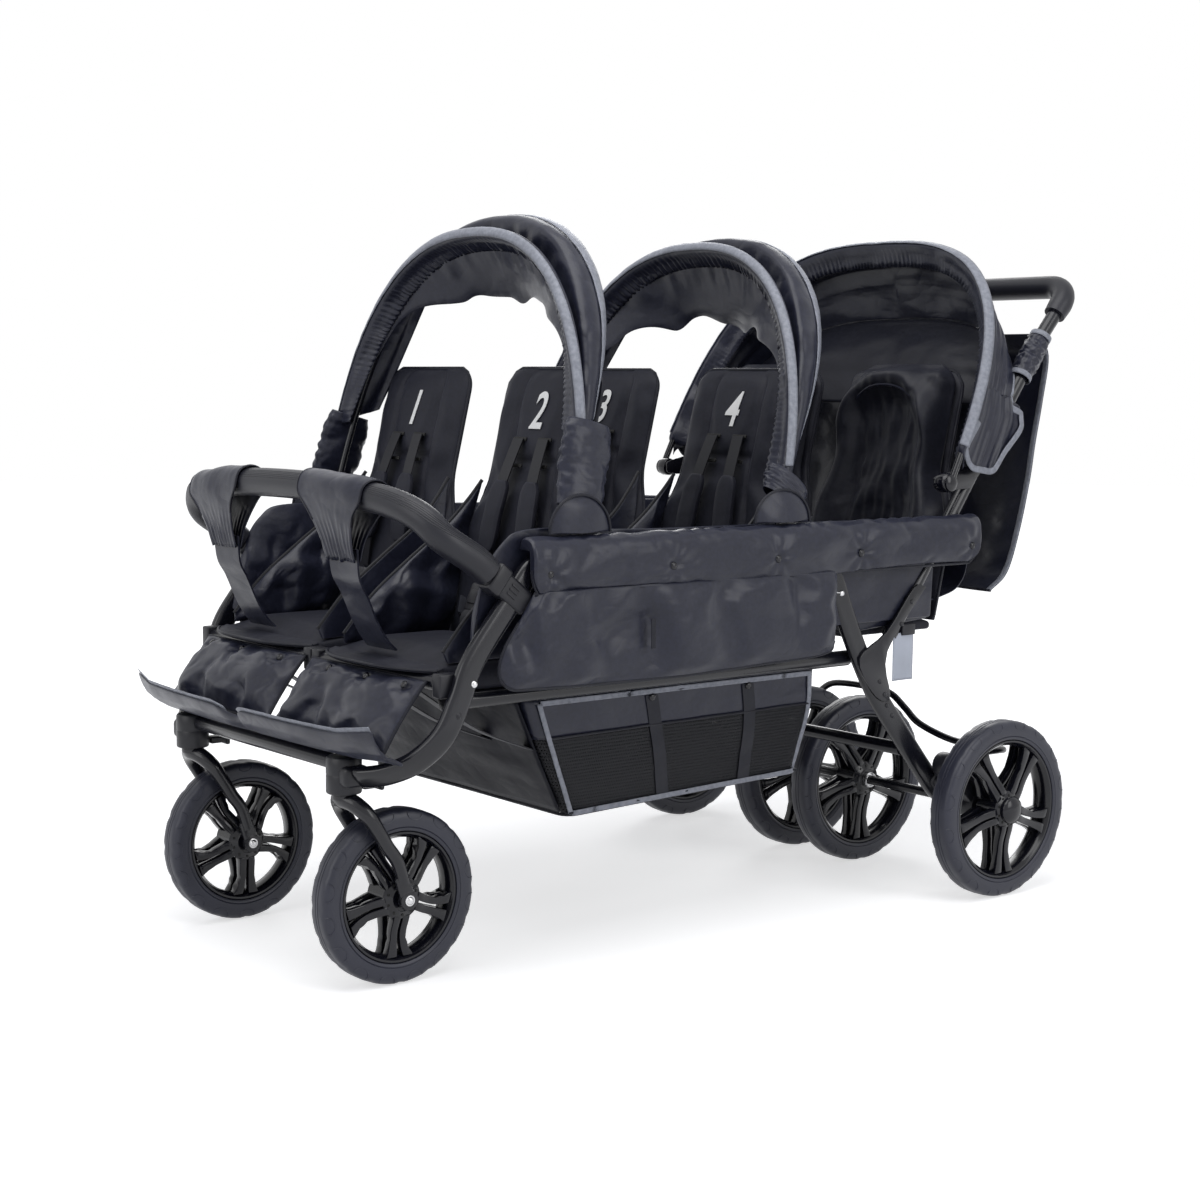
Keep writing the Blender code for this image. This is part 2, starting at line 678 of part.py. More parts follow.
def brake_bar():
    """The foot bar that arches over the inner wheels and ends at the brake housings' lobes."""
    lobe_x = sum(BRAKE_HOUSING_X) / 2
    away = Vector((0, BRAKE_BAR_Y - BRAKE_LOBE_Y, 0.042)).normalized()
    start = at(lobe_x, BRAKE_LOBE_Y, BRAKE_LOBE_HEIGHT) + away * (BRAKE_LOBE_RADIUS + 3 * GAP)
    half = [
        start,
        start + away * 0.030,
        at(lobe_x, 0.060, 0.233),
        at(0.345, 0.088, 0.229),
        at(0.300, BRAKE_BAR_Y, 0.227),
        at(0.225, BRAKE_BAR_Y, 0.228),
        at(0.149, BRAKE_BAR_Y, 0.246),
        at(0.112, BRAKE_BAR_Y, 0.270),
        at(0.078, BRAKE_BAR_Y, 0.291),
        at(0.035, BRAKE_BAR_Y, 0.297),
    ]
    other = [mirrored(p) for p in reversed(half)]
    path = smooth_path(half + other, 2)
    bar = tube("brake_bar", path, BRAKE_BAR_RADIUS, BLACK_TUBE)
    put_origin(bar, at(0, BRAKE_LOBE_Y, BRAKE_LOBE_HEIGHT))


def push_path():
    """From the left foot up to the handle, across, and down to the right foot."""
    foot_y, foot_z = PUSH_FOOT
    low = [at(LEG_PLANE_X, foot_y, foot_z), at(LEG_PLANE_X, push_line(KNEE_HEIGHT), KNEE_HEIGHT)]
    handle = [at(side * LEG_PLANE_X, HANDLE_Y, HANDLE_HEIGHT) for side in (1, -1)]
    bends = rounded_path([low[1]] + handle + [mirrored(low[1])], HANDLE_BEND_RADIUS, 5)
    return [low[0]] + bends + [mirrored(low[0])]


def mirrored(point):
    return Vector((-point.x, point.y, point.z))


def push_line(z):
    """The push tube's y at a height below its knee."""
    foot_y, foot_z = PUSH_FOOT
    return foot_y + (z - foot_z) * PUSH_SLOPE


def push_frame():
    """The U-shaped push tube with its gusset plates and the hood's brackets."""
    frame = to_mesh(tube("push_frame", push_path(), PUSH_TUBE_RADIUS, BLACK_TUBE))
    inner = LEG_PLANE_X + RAIL_HALF_WIDTH + GAP
    outer = inner + GUSSET_THICKNESS
    gusset = [
        (push_line(0.520) + 0.016, 0.520),
        (push_line(0.520) - 0.016, 0.520),
        (-0.262, 0.415),
        (-0.224, 0.352),
        (-0.196, 0.334),
        (-0.184, 0.346),
        (-0.196, 0.420),
    ]
    hood_y, hood_z = HOOD_PIVOT
    bracket = [
        (push_line(hood_z - 0.012), hood_z - 0.012),
        (push_line(hood_z + 0.030), hood_z + 0.030),
        (hood_y, hood_z + KNOB_RADIUS * 0.8),
        (hood_y - KNOB_RADIUS * 0.8, hood_z),
        (hood_y, hood_z - KNOB_RADIUS * 0.8),
    ]
    for side in (1, -1):
        frame = join(frame, plate("gusset", gusset, side * inner, side * outer, BLACK_TUBE))
        frame = join(frame, plate("bracket", bracket, side * inner, side * outer, BLACK_TUBE))
    put_origin(round_off(frame), at(0, PUSH_PIVOT_Y, RAIL_HEIGHT))


def handle_grip():
    """Foam over the crossbar and its two bends, bored for the push tube."""
    bends = push_path()[2:-2]
    knee = push_path()[1]
    down = (knee - bends[0]).normalized()
    start = bends[0] + down * GRIP_TAIL
    inner_start = start + down * 0.02
    inner_path = [inner_start] + bends + [mirrored(inner_start)]
    path = [start] + bends + [mirrored(start)]
    grip = to_mesh(tube("handle_grip", path, GRIP_RADIUS, FOAM))
    bore_radius = PUSH_TUBE_RADIUS + GAP
    bore = to_mesh(tube("bore", inner_path, bore_radius, FOAM))
    put_origin(round_off(cut(grip, bore)), at(0, PUSH_PIVOT_Y, RAIL_HEIGHT))


def bumper_bar():
    """The padded bar across the front, thinner where its ends plug into the clamps."""
    knee = leg_top() + LEG_DIRECTION * CLAMP_FROM_BEND
    end = knee + BUMPER_DIRECTION * (RAIL_HALF_DEPTH + 0.005)
    mouth = knee + BUMPER_DIRECTION * (CLAMP_REACH + 0.001)
    foam_start = mouth + BUMPER_DIRECTION * 0.001
    half = [
        foam_start + BUMPER_DIRECTION * 0.030,
        at(0.346, -1.058, 0.640),
        at(0.322, -1.078, 0.668),
        at(0.270, -1.089, 0.685),
        at(0.180, -1.094, 0.695),
        at(0.070, -1.096, 0.700),
    ]
    other = [mirrored(p) for p in reversed(half)]
    foam = smooth_path([foam_start] + half + other + [mirrored(foam_start)], 2)
    spigot = [end, mouth]
    path = spigot + foam + [mirrored(p) for p in reversed(spigot)]
    radii = [BUMPER_SPIGOT_RADIUS] * 2 + [BUMPER_RADIUS] * len(foam) + [BUMPER_SPIGOT_RADIUS] * 2
    bar = tube("bumper_bar", path, BUMPER_RADIUS, FOAM, radii=radii)
    put_origin(bar, at(0, knee.y - DATUM_Y, knee.z))


def bumper_clamp(side_name, side, fat_oval):
    """A squeeze clamp that straddles the leg and takes the bumper bar's end."""
    knee = leg_top() + LEG_DIRECTION * CLAMP_FROM_BEND
    knee.x *= side
    length = CLAMP_REACH + CLAMP_TAIL
    centre = knee + BUMPER_DIRECTION * (CLAMP_REACH - CLAMP_TAIL) / 2
    size = (2 * CLAMP_HALF_WIDTH, length, 2 * CLAMP_HALF_HEIGHT)
    tilt = math.atan2(-BUMPER_DIRECTION.z, -BUMPER_DIRECTION.y)
    clamp = block(f"bumper_clamp_{side_name}", size, centre, BLACK_PLASTIC, tilt)
    soften(clamp, 0.004)
    leg = to_mesh(tube("leg", side_frame_path(side), 1, BLACK_TUBE, profile=fat_oval))
    start = knee + BUMPER_DIRECTION * (RAIL_HALF_DEPTH + 0.004)
    end = knee + BUMPER_DIRECTION * (CLAMP_REACH + 0.020)
    bore = cylinder("bore", BUMPER_SPIGOT_RADIUS + GAP, start, end, STEEL)
    round_off(cut(clamp, leg, bore))


def seat_pan(row):
    """A padded pan for two seats, with a rounded lip in front of each."""
    shift = ROW_PITCH * (row - 1)
    under = LOWER_RAIL_HEIGHT + LOWER_RAIL_RADIUS + GAP if row < 3 else REAR_PAN_UNDER
    lip_low = SEAT_CROSS_HEIGHT + CROSS_TUBE_RADIUS + GAP
    us = [-1, -0.93, -0.78, -0.5, -0.22, -0.06, 0, 0.06, 0.22, 0.5, 0.78, 0.93, 1]
    vs = [-0.26, -0.14, -0.018, 0.0, 0.10, 0.35, 0.65, 0.90, 1.0]
    depth = PAN_REAR_Y - PAN_FRONT_Y

    def point(u, v, face):
        seat_u = 2 * abs(u) - 1
        x = u * PAN_HALF_WIDTH
        y = PAN_FRONT_Y + v * depth
        if v < 0:
            y = PAN_FRONT_Y + v / 0.26 * LIP_REACH * (1 - 0.75 * abs(seat_u) ** 3)
            y = min(y, PAN_FRONT_Y - 0.0045) if v < -0.01 else y
        if face < 0:
            z = under if v >= 0 else lip_low
        else:
            crown = (1 - abs(seat_u) ** 4) * (1 - abs(2 * max(v, 0) - 1) ** 4)
            z = SEAT_TOP - SEAT_CROWN + 2 * SEAT_CROWN * crown
            z = lip_low + LIP_THICKNESS * (1.25 + v) if v < 0 else z
        return at(x, y + shift, z)

    pan = pad(f"seat_row_{row}", us, vs, point, SEAT_CLOTH)
    if row == 3:
        pan = hang_row(pan)
    return pan


def hang_row(pan):
    """Side slings that carry the rear row from the rails."""
    rail_face = RAIL_X - RAIL_HALF_WIDTH - SOFT_GAP
    sling_y = (-0.262, -0.150)
    for side in (1, -1):
        inner = side * (PAN_HALF_WIDTH - 0.006)
        outline = [(y, z) for y, z in zip(sling_y, (REAR_PAN_UNDER, 0.4514))]
        outline += [(y, z) for y, z in zip(reversed(sling_y), (0.61, 0.61))]
        wall = plate("sling", outline, inner, side * PAN_HALF_WIDTH, SEAT_CLOTH)
        tab = [(sling_y[0], 0.590), (sling_y[1], 0.590), (sling_y[1], 0.610), (sling_y[0], 0.610)]
        shelf = plate("tab", tab, inner, side * rail_face, SEAT_CLOTH)
        pan = join(pan, wall, shelf)
    return pan


def back_half_width(v):
    """Side wings low down, a narrower panel above, and rounded top corners."""
    rise = min(max((v - 0.38) / 0.24, 0), 1)
    blend = rise * rise * (3 - 2 * rise)
    wide = BACK_LOW_HALF_WIDTH + (BACK_TOP_HALF_WIDTH - BACK_LOW_HALF_WIDTH) * blend
    corner = max(0, (v - 0.93) / 0.07)
    return wide - 0.022 * corner**2


def seat_back(number):
    """A quilted back panel that leans rearwards from the pan's rear edge."""
    row = (number - 1) // 2
    side = -1 if number % 2 else 1
    hinge_y = PAN_REAR_Y + ROW_PITCH * row + SOFT_GAP
    centre_x = side * SEAT_PITCH_X / 2
    up = Vector((0, math.sin(BACK_TILT), math.cos(BACK_TILT)))
    front = Vector((0, -math.cos(BACK_TILT), math.sin(BACK_TILT)))
    us = [-1, -0.88, -0.56, -0.48, -0.40, 0, 0.40, 0.48, 0.56, 0.88, 1]
    vs = [-0.06, 0.0, 0.12, 0.38, 0.50, 0.62, 0.80, 0.93, 0.97, 1.0]

    def point(u, v, face):
        height = v * BACK_LENGTH
        edge = (1 - abs(u) ** 5) * (1 - abs(2 * min(max(v, 0), 1) - 1) ** 6)
        groove = 0.45 if abs(abs(u) - 0.48) < 0.01 and 0.05 < v < 0.95 else 0
        swell = edge * (1 - groove)
        depth = BACK_THICKNESS * (0.18 + 0.62 * swell) if face > 0 else -BACK_THICKNESS * 0.2
        rest = -BACK_THICKNESS * 0.2
        x = centre_x + u * back_half_width(max(v, 0))
        base = at(x, hinge_y, SEAT_TOP - SEAT_CROWN) - front * (BACK_THICKNESS * 0.18)
        if face < 0 and v < 0.05:
            depth = rest
        rise = up if v > 0 else Vector((0, 0, 1))
        return base + rise * height + front * depth

    back = pad(f"seat_back_{number}", us, vs, point, SEAT_CLOTH)
    if row == 2:
        put_origin(back, at(0, hinge_y, SEAT_TOP - SEAT_CROWN))


def arch(half_width, pivot, top, power, steps=ARCH_STEPS):
    """Points of a bow from its left foot over the top to its right foot."""
    pivot_y, pivot_z = pivot
    top_y, top_z = top
    points = []
    for i in range(steps + 1):
        turn = math.pi * i / steps
        wide = math.copysign(abs(math.cos(turn)) ** (2 / power), math.cos(turn))
        high = math.sin(turn) ** (2 / power) if 0 < turn < math.pi - 1e-6 else 0
        y = pivot_y + (top_y - pivot_y) * high
        z = pivot_z + (top_z - pivot_z) * high
        points.append(at(half_width * wide, y, z))
    return points


def bow(name, half_width, pivot, top, power):
    path = arch(half_width, pivot, top, power)
    made = tube(name, path, BOW_RADIUS, BLACK_TUBE, sides=1)
    return put_origin(made, at(0, *pivot))


def sheet(name, rows, thickness, finish):
    """A cloth shell of even thickness through rows of points."""
    bm = bmesh.new()
    bmesh.ops.create_grid(bm, x_segments=len(rows[0]) - 1, y_segments=len(rows) - 1, size=1)
    for vert in bm.verts:
        column = round((vert.co.x + 1) / 2 * (len(rows[0]) - 1))
        row = round((vert.co.y + 1) / 2 * (len(rows) - 1))
        vert.co = rows[row][column]
    made = mesh_object(name, bm, finish)
    solid = made.modifiers.new("cloth", "SOLIDIFY")
    solid.thickness = thickness
    solid.offset = 0
    solid.use_even_offset = False
    return round_off(to_mesh(made), 60)


def canopy(number):
    """Two bows on one pivot, with the folded cloth lying over both of them."""
    index = number - 1
    pivot = (CANOPY_PIVOT_Y[index], RAIL_HEIGHT)
    front_top = FRONT_BOW_TOP[index]
    rear_top = REAR_BOW_TOP[index]
    bow(f"canopy_{number}_bow_front", FRONT_BOW_X, pivot, front_top, ARCH_POWER)
    bow(f"canopy_{number}_bow_rear", REAR_BOW_X, pivot, rear_top, ARCH_POWER)
    slope = math.atan2(rear_top[1] - front_top[1], rear_top[0] - front_top[0])
    lift = (BOW_RADIUS + CANOPY_CLOTH / 2 + GAP) / math.cos(slope)
    rows = []
    for t in (-0.25, 0.0, 1.0, 1.33):
        top_y = front_top[0] + (rear_top[0] - front_top[0]) * t
        top_z = front_top[1] + (rear_top[1] - front_top[1]) * t + lift
        droop = -0.016 * max(t - 1, 0)
        base = (pivot[0] + CANOPY_FOOT_SPREAD * t, pivot[1])
        edge = arch(FRONT_BOW_X + lift, base, (top_y, top_z + droop), ARCH_POWER)
        rows.append(edge[1:-1])
    sheet(f"canopy_{number}_cloth", rows, CANOPY_CLOTH, NYLON)


def hood_rear_place(point):
    """The hood's rear edge: outside the push tube low down, and ahead of it higher up."""
    y = push_line(point.z) - PUSH_TUBE_RADIUS - HOOD_STANDOFF
    if point.z < 0.815:
        y = min(0.100, 0.049 + (point.z - 0.700) * 0.62)
    return at(point.x, y, point.z)


def hood():
    """The rear canopy: its front hoop with pivot knobs, and the sheet back to the push frame."""
    name = "canopy_3_bow"
    path = arch(HOOD_BOW_X, HOOD_PIVOT, HOOD_BOW_TOP, HOOD_ARCH_POWER)
    hoop = to_mesh(tube(name, path, BOW_RADIUS, BLACK_TUBE, sides=1))
    inner = LEG_PLANE_X + RAIL_HALF_WIDTH + GAP + GUSSET_THICKNESS + GAP
    for side in (1, -1):
        ends = [at(side * x, *HOOD_PIVOT) for x in (inner, HOOD_BOW_X + BOW_RADIUS)]
        hoop = join(hoop, cylinder("knob", KNOB_RADIUS, *ends, BLACK_PLASTIC, 16))
    put_origin(round_off(hoop), at(0, *HOOD_PIVOT))
    front_y, front_z = HOOD_BOW_TOP
    start_y = front_y + BOW_RADIUS + 0.006
    front = arch(HOOD_BOW_X, (-0.046, 0.712), (start_y, front_z + 0.004), HOOD_ARCH_POWER)
    rear = [hood_rear_place(p) for p in arch(HOOD_BOW_X, (0, 0.700), (0, 0.965), HOOD_ARCH_POWER)]
    rows = []
    for along in (0.0, 0.2, 0.4, 0.6, 0.8, 1.0):
        row = []
        for a, b in zip(front, rear):
            lift = HOOD_CROWN * 4 * along * (1 - along) * (a.z - front[0].z)
            row.append(a.lerp(b, along) + Vector((0, 0, lift)))
        rows.append(row)
    sheet("canopy_3_cloth", rows, CANOPY_CLOTH, NYLON)


def back_cover():
    """The cloth that hangs behind the rear row from the push frame."""
    half = LEG_PLANE_X - PUSH_TUBE_RADIUS
    outline = [
        (push_line(0.936) + 0.004, 0.936),
        (0.214, 0.900),
        (0.202, 0.823),
        (0.186, 0.750),
        (0.174, 0.685),
        (0.151, 0.600),
        (0.122, 0.530),
        (0.080, 0.500),
    ]
    rows = []
    for depth, (y, z) in enumerate(outline):
        share = depth / (len(outline) - 1)
        row = []
        for u in spread(-1, 1, 4 * COVER_FOLDS):
            sag = 0.014 * math.sin(math.pi * share) * (1 - u * u)
            fold = 0.5 * COVER_FOLD_DEPTH * share * (1 - math.cos(math.tau * COVER_FOLDS * (u + 1) / 2))
            row.append(at(half * u, y + sag + fold * (1 - u**4), z))
        rows.append(row)
    cover = sheet("back_cover", rows, 0.005, NYLON)
    put_origin(cover, at(0, PUSH_PIVOT_Y, RAIL_HEIGHT))


def footboard():
    """A thin board on the caster housings, with its front lip curled up."""
    low = HOUSING_TOP + GAP
    us = spread(-1, 1, 12)
    profile = [(0.0, 0.0), (0.45, 0.004), (0.70, 0.012), (0.88, 0.024), (1.0, 0.040)]
    rear = 1.126

    def point(u, v, face):
        reach, rise = profile[v]
        front = BOARD_REACH - 0.030 * abs(u) ** 3
        y = -(rear + (front - rear) * reach)
        z = low + rise + (BOARD_THICKNESS if face > 0 else 0)
        return at(u * BOARD_HALF_WIDTH, y, z)

    pad("footboard", us, range(len(profile)), point, NYLON)


def calf_pad(side_name, side):
    """A crowned pad from the seat's cross tube down to the footboard."""
    top = (SEAT_CROSS_Y - CROSS_TUBE_RADIUS - GAP, SEAT_CROSS_HEIGHT)
    foot = (-1.132, HOUSING_TOP + BOARD_THICKNESS + 0.008)
    middle = side * 0.163
    half = 0.147
    us = [-1, -0.9, -0.6, -0.2, 0.2, 0.6, 0.9, 1]
    vs = [0.0, 0.08, 0.35, 0.65, 0.92, 1.0]
    slope = Vector((0, foot[0] - top[0], foot[1] - top[1]))
    out = Vector((0, slope.z, -slope.y)).normalized()

    def point(u, v, face):
        swell = (1 - abs(u) ** 4) * (1 - abs(2 * v - 1) ** 4)
        drawn = 1 - 0.05 * (1 - abs(2 * v - 1) ** 2)
        place = at(middle + u * half * drawn, *top) + slope * v
        thick = 0.008 + 0.022 * swell if face > 0 else 0
        return place + out * thick

    pad(f"calf_pad_{side_name}", us, vs, point, NYLON)


def side_panel(side_name, side):
    """The padded roll over the upper rail, with the panel that hangs from it."""
    front, rear = -0.930, -0.012
    lip = RAIL_X - RAIL_HALF_WIDTH + SOFT_GAP
    above = RAIL_HEIGHT + RAIL_HALF_DEPTH + SOFT_GAP * 2
    section = [
        (PANEL_X, ROLL_BOTTOM),
        (PANEL_X + 0.011, ROLL_BOTTOM + 0.002),
        (PANEL_X + ROLL_BULGE, 0.585),
        (PANEL_X + ROLL_BULGE, 0.610),
        (PANEL_X + 0.009, ROLL_TOP - 0.004),
        (PANEL_X - 0.006, ROLL_TOP),
        (lip + 0.002, ROLL_TOP - 0.002),
        (lip, above),
        (PANEL_X, above),
    ]
    bm = bmesh.new()
    rings = []
    for y in spread(front, rear, 4 * (SNAP_COUNT - 1)):
        share = (y - front) / (rear - front) * (SNAP_COUNT - 1)
        drawn = SNAP_DEPTH * math.cos(math.pi * share) ** 8
        ring = []
        for i, (x, z) in enumerate(section):
            pulled = x - drawn if i in (1, 2, 3, 4) else x
            ring.append(bm.verts.new(at(side * pulled, y, z)))
        rings.append(ring)
    count = len(section)
    for low, high in zip(rings, rings[1:]):
        for i in range(count):
            bm.faces.new([low[i - 1], low[i], high[i], high[i - 1]])
    bm.faces.new(rings[0])
    bm.faces.new(rings[-1])
    bmesh.ops.recalc_face_normals(bm, faces=bm.faces)
    roll = mesh_object(f"side_panel_{side_name}", bm, NYLON)
    bottom = smooth_path([Vector((y, z, 0)) for y, z in PANEL_BOTTOM], 3)
    lengths = [0.0]
    for a, b in zip(bottom, bottom[1:]):
        lengths.append(lengths[-1] + (b - a).length)
    us = [length / lengths[-1] for length in lengths]
    foot_at = dict(zip(us, bottom))

    def point(u, v, face):
        foot = foot_at[u]
        top_y = PANEL_TOP_Y[0] + (PANEL_TOP_Y[1] - PANEL_TOP_Y[0]) * u
        y = top_y + (foot.x - top_y) * v
        z = ROLL_BOTTOM + 0.005 + (foot.y - ROLL_BOTTOM - 0.005) * v
        fold = PANEL_FOLD * math.sin(math.tau * 4 * u) * math.sin(math.pi * v)
        swell = PANEL_FOLD * 2 * math.sin(math.pi * v)
        x = PANEL_X + (PANEL_THICKNESS + swell + fold if face > 0 else 0)
        return at(side * x, y, z)

    hanging = pad("panel", us, [0.0, 0.25, 0.5, 0.75, 1.0], point, NYLON)
    round_off(join(roll, hanging), 60)


def basket():
    """An open cloth basket under the seats, with a slanted front."""
    rear_top, rear_floor = -0.312, -0.318
    front_top, front_floor = -0.895, -0.790
    bm = bmesh.new()
    bmesh.ops.create_cube(bm, size=1)
    lid = [face for face in bm.faces if face.normal.z > 0.5]
    bmesh.ops.delete(bm, geom=lid, context="FACES_ONLY")
    for vert in bm.verts:
        high = vert.co.z > 0
        rear = vert.co.y > 0
        half = BASKET_HALF_WIDTH if high else BASKET_FLOOR_HALF_WIDTH
        y = (rear_top if high else rear_floor) if rear else (front_top if high else front_floor)
        z = BASKET_TOP if high else BASKET_FLOOR + (0.018 if rear else 0)
        vert.co = at(math.copysign(half, vert.co.x), y, z)
    bm.normal_update()
    bmesh.ops.recalc_face_normals(bm, faces=bm.faces)
    made = mesh_object("basket", bm, MESH_CLOTH)
    solid = made.modifiers.new("cloth", "SOLIDIFY")
    solid.thickness = BASKET_WALL
    solid.offset = 0
    solid.use_even_offset = True


def build():
    oval = oval_profile("oval_section", RAIL_HALF_WIDTH, RAIL_HALF_DEPTH)
    fat_oval = oval_profile("oval_clearance", RAIL_HALF_WIDTH + GAP, RAIL_HALF_DEPTH + GAP)
    wheels()
    side_frames(oval)
    crossbars()
    rear_axle()
    brake_bar()
    push_frame()
    handle_grip()
    bumper_bar()
    for side_name, side in SIDES:
        caster(side_name, side)
        rear_leg(side_name, side, oval)
        brake_housing(side_name, side)
        bumper_clamp(side_name, side, fat_oval)
        calf_pad(side_name, side)
        side_panel(side_name, side)
    for row in (1, 2, 3):
        seat_pan(row)
    for number in range(1, 7):
        seat_back(number)
    for number in (1, 2):
        canopy(number)
    hood()
    back_cover()
    footboard()
    basket()


build()
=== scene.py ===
# %% [markdown]
# # Dressing a six-seat stroller
# The moving frame comes from the imported CAD model and never changes here.
# Around it this script builds what the eye sees: cloth, padding, wheels,
# tubes, straps and piping. Most pieces ride on the body that carries them;
# the canopy sheets, the hood's cloth and side tapes and the crotch straps are fixed in place.

import json
import math

import bmesh
import bpy
from mathutils import Matrix, Vector, noise
from mathutils.bvhtree import BVHTree

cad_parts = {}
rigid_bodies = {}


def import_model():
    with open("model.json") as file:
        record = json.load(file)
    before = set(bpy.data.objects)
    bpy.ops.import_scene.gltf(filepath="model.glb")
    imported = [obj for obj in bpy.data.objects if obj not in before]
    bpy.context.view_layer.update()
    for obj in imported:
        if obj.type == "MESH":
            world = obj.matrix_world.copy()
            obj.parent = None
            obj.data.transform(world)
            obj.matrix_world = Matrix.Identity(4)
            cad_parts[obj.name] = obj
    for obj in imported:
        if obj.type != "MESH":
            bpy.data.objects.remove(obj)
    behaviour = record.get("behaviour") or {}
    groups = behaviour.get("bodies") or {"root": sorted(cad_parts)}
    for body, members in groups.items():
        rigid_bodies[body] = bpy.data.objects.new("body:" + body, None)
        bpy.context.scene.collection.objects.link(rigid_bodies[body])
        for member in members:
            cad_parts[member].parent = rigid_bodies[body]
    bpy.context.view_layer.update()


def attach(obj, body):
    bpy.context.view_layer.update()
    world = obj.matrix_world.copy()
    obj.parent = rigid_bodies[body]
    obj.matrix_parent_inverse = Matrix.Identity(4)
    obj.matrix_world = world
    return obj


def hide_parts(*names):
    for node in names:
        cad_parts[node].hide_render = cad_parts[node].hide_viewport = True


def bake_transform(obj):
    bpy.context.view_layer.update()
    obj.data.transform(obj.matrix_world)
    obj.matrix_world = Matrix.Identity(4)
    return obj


for startup in list(bpy.data.objects):
    bpy.data.objects.remove(startup)
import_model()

# %% [markdown]
# ## Places and paths
# Lengths along Y are written from a datum just ahead of the rear axle, as in
# the part's source, so a number read there can be used here. Tubes follow
# paths: straight runs joined by arcs, or one smooth curve through points.

# %% Places and paths
DATUM_Y = 0.465
SIDES = (("left", 1), ("right", -1))
LEG_DIRECTION = Vector((0, -0.6247, -0.7809))
BUMPER_DIRECTION = Vector((0, -0.7809, 0.6247))


def at(x, y, z):
    """A world point from a place measured from the datum."""
    return Vector((x, y + DATUM_Y, z))


def mirrored(point):
    return Vector((-point.x, point.y, point.z))


def spread(low, high, count):
    return [low + (high - low) * i / count for i in range(count + 1)]


def ease(t):
    t = min(max(t, 0.0), 1.0)
    return t * t * (3 - 2 * t)


def between(stops, t):
    """The value at t on a list of (place, value) stops, eased between them."""
    if t <= stops[0][0]:
        return stops[0][1]
    for (t0, a), (t1, b) in zip(stops, stops[1:]):
        if t <= t1:
            return a + (b - a) * ease((t - t0) / (t1 - t0))
    return stops[-1][1]


def smooth_path(points, steps):
    """A smooth curve through the points, with each span cut into steps."""
    path = []
    ends = [2 * points[0] - points[1]] + list(points) + [2 * points[-1] - points[-2]]
    for p0, p1, p2, p3 in zip(ends, ends[1:], ends[2:], ends[3:]):
        for i in range(steps):
            t = i / steps
            bend = (p2 - p0) * t + (2 * p0 - 5 * p1 + 4 * p2 - p3) * t**2
            path.append(p1 + (bend + (3 * p1 - p0 - 3 * p2 + p3) * t**3) / 2)
    return path + [points[-1]]


def evenly(points, count):
    """The path's points at even distances along it."""
    reach = [0.0]
    for a, b in zip(points, points[1:]):
        reach.append(reach[-1] + (b - a).length)
    even, index = [], 0
    for i in range(count + 1):
        goal = reach[-1] * i / count
        while index < len(points) - 2 and reach[index + 1] < goal:
            index += 1
        span = max(reach[index + 1] - reach[index], 1e-9)
        even.append(points[index].lerp(points[index + 1], (goal - reach[index]) / span))
    return even


def on_path(path, share):
    """The place at a share of the way through a path's points."""
    place = share * (len(path) - 1)
    index = min(int(place), len(path) - 2)
    return path[index].lerp(path[index + 1], place - index)


def heading(path, i):
    """The path's direction at one of its points."""
    return (path[min(i + 1, len(path) - 1)] - path[max(i - 1, 0)]).normalized()


def profile_path(points, steps):
    """A smooth curve in the plane X = 0 through (y, z) places."""
    return smooth_path([Vector((0, y, z)) for y, z in points], steps)


def rounded_path(corners, radius, steps):
    """The corners' path, with an arc of the given radius at each inner corner."""
    path = [corners[0]]
    for before, corner, after in zip(corners, corners[1:], corners[2:]):
        back = (before - corner).normalized()
        ahead = (after - corner).normalized()
        half = back.angle(ahead) / 2
        centre = corner + (back + ahead).normalized() * radius / math.sin(half)
        start = corner + back * radius / math.tan(half) - centre
        end = corner + ahead * radius / math.tan(half) - centre
        for i in range(steps + 1):
            path.append(centre + start.slerp(end, i / steps).normalized() * radius)
    return path + [corners[-1]]


def arch(half_width, pivot, top, power, steps=64):
    """Points of a bow from its left foot over the top to its right foot."""
    points = []
    for i in range(steps + 1):
        turn = math.pi * i / steps
        wide = math.copysign(abs(math.cos(turn)) ** (2 / power), math.cos(turn))
        high = math.sin(turn) ** (2 / power) if 0 < turn < math.pi - 1e-6 else 0
        y = pivot[0] + (top[0] - pivot[0]) * high
        z = pivot[1] + (top[1] - pivot[1]) * high
        points.append(at(half_width * wide, y, z))
    return points


# %% [markdown]
# ## Ways of making a mesh
# A few helpers make nearly every piece. `tube` sweeps a round or flat-oval
# section along a path. `form` starts from a grid and lays it as cloth or as
# a closed pad. `lathe` spins a profile. `soft_block` starts from a cube, and
# `bar` from a cone.

# %% Finish a piece
def finish(name, bm, look, body, smooth=40):
    """Turns a bmesh into a named object that rides on its body."""
    mesh = bpy.data.meshes.new(name)
    bm.to_mesh(mesh)
    bm.free()
    made = bpy.data.objects.new(name, mesh)
    bpy.context.scene.collection.objects.link(made)
    mesh.materials.append(look)
    mesh.shade_smooth()
    mesh.set_sharp_from_angle(angle=math.radians(smooth))
    if body:
        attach(made, body)
    return made


def subdivide(made, levels=1):
    modifier = made.modifiers.new("subdivision", "SUBSURF")
    modifier.levels = modifier.render_levels = levels
    return made


def applied(made):
    """The object's mesh with its modifiers applied, as a new bmesh."""
    bpy.context.view_layer.update()
    graph = bpy.context.evaluated_depsgraph_get()
    mesh = bpy.data.meshes.new_from_object(made.evaluated_get(graph))
    bm = bmesh.new()
    bm.from_mesh(mesh)
    bpy.data.meshes.remove(mesh)
    return bm


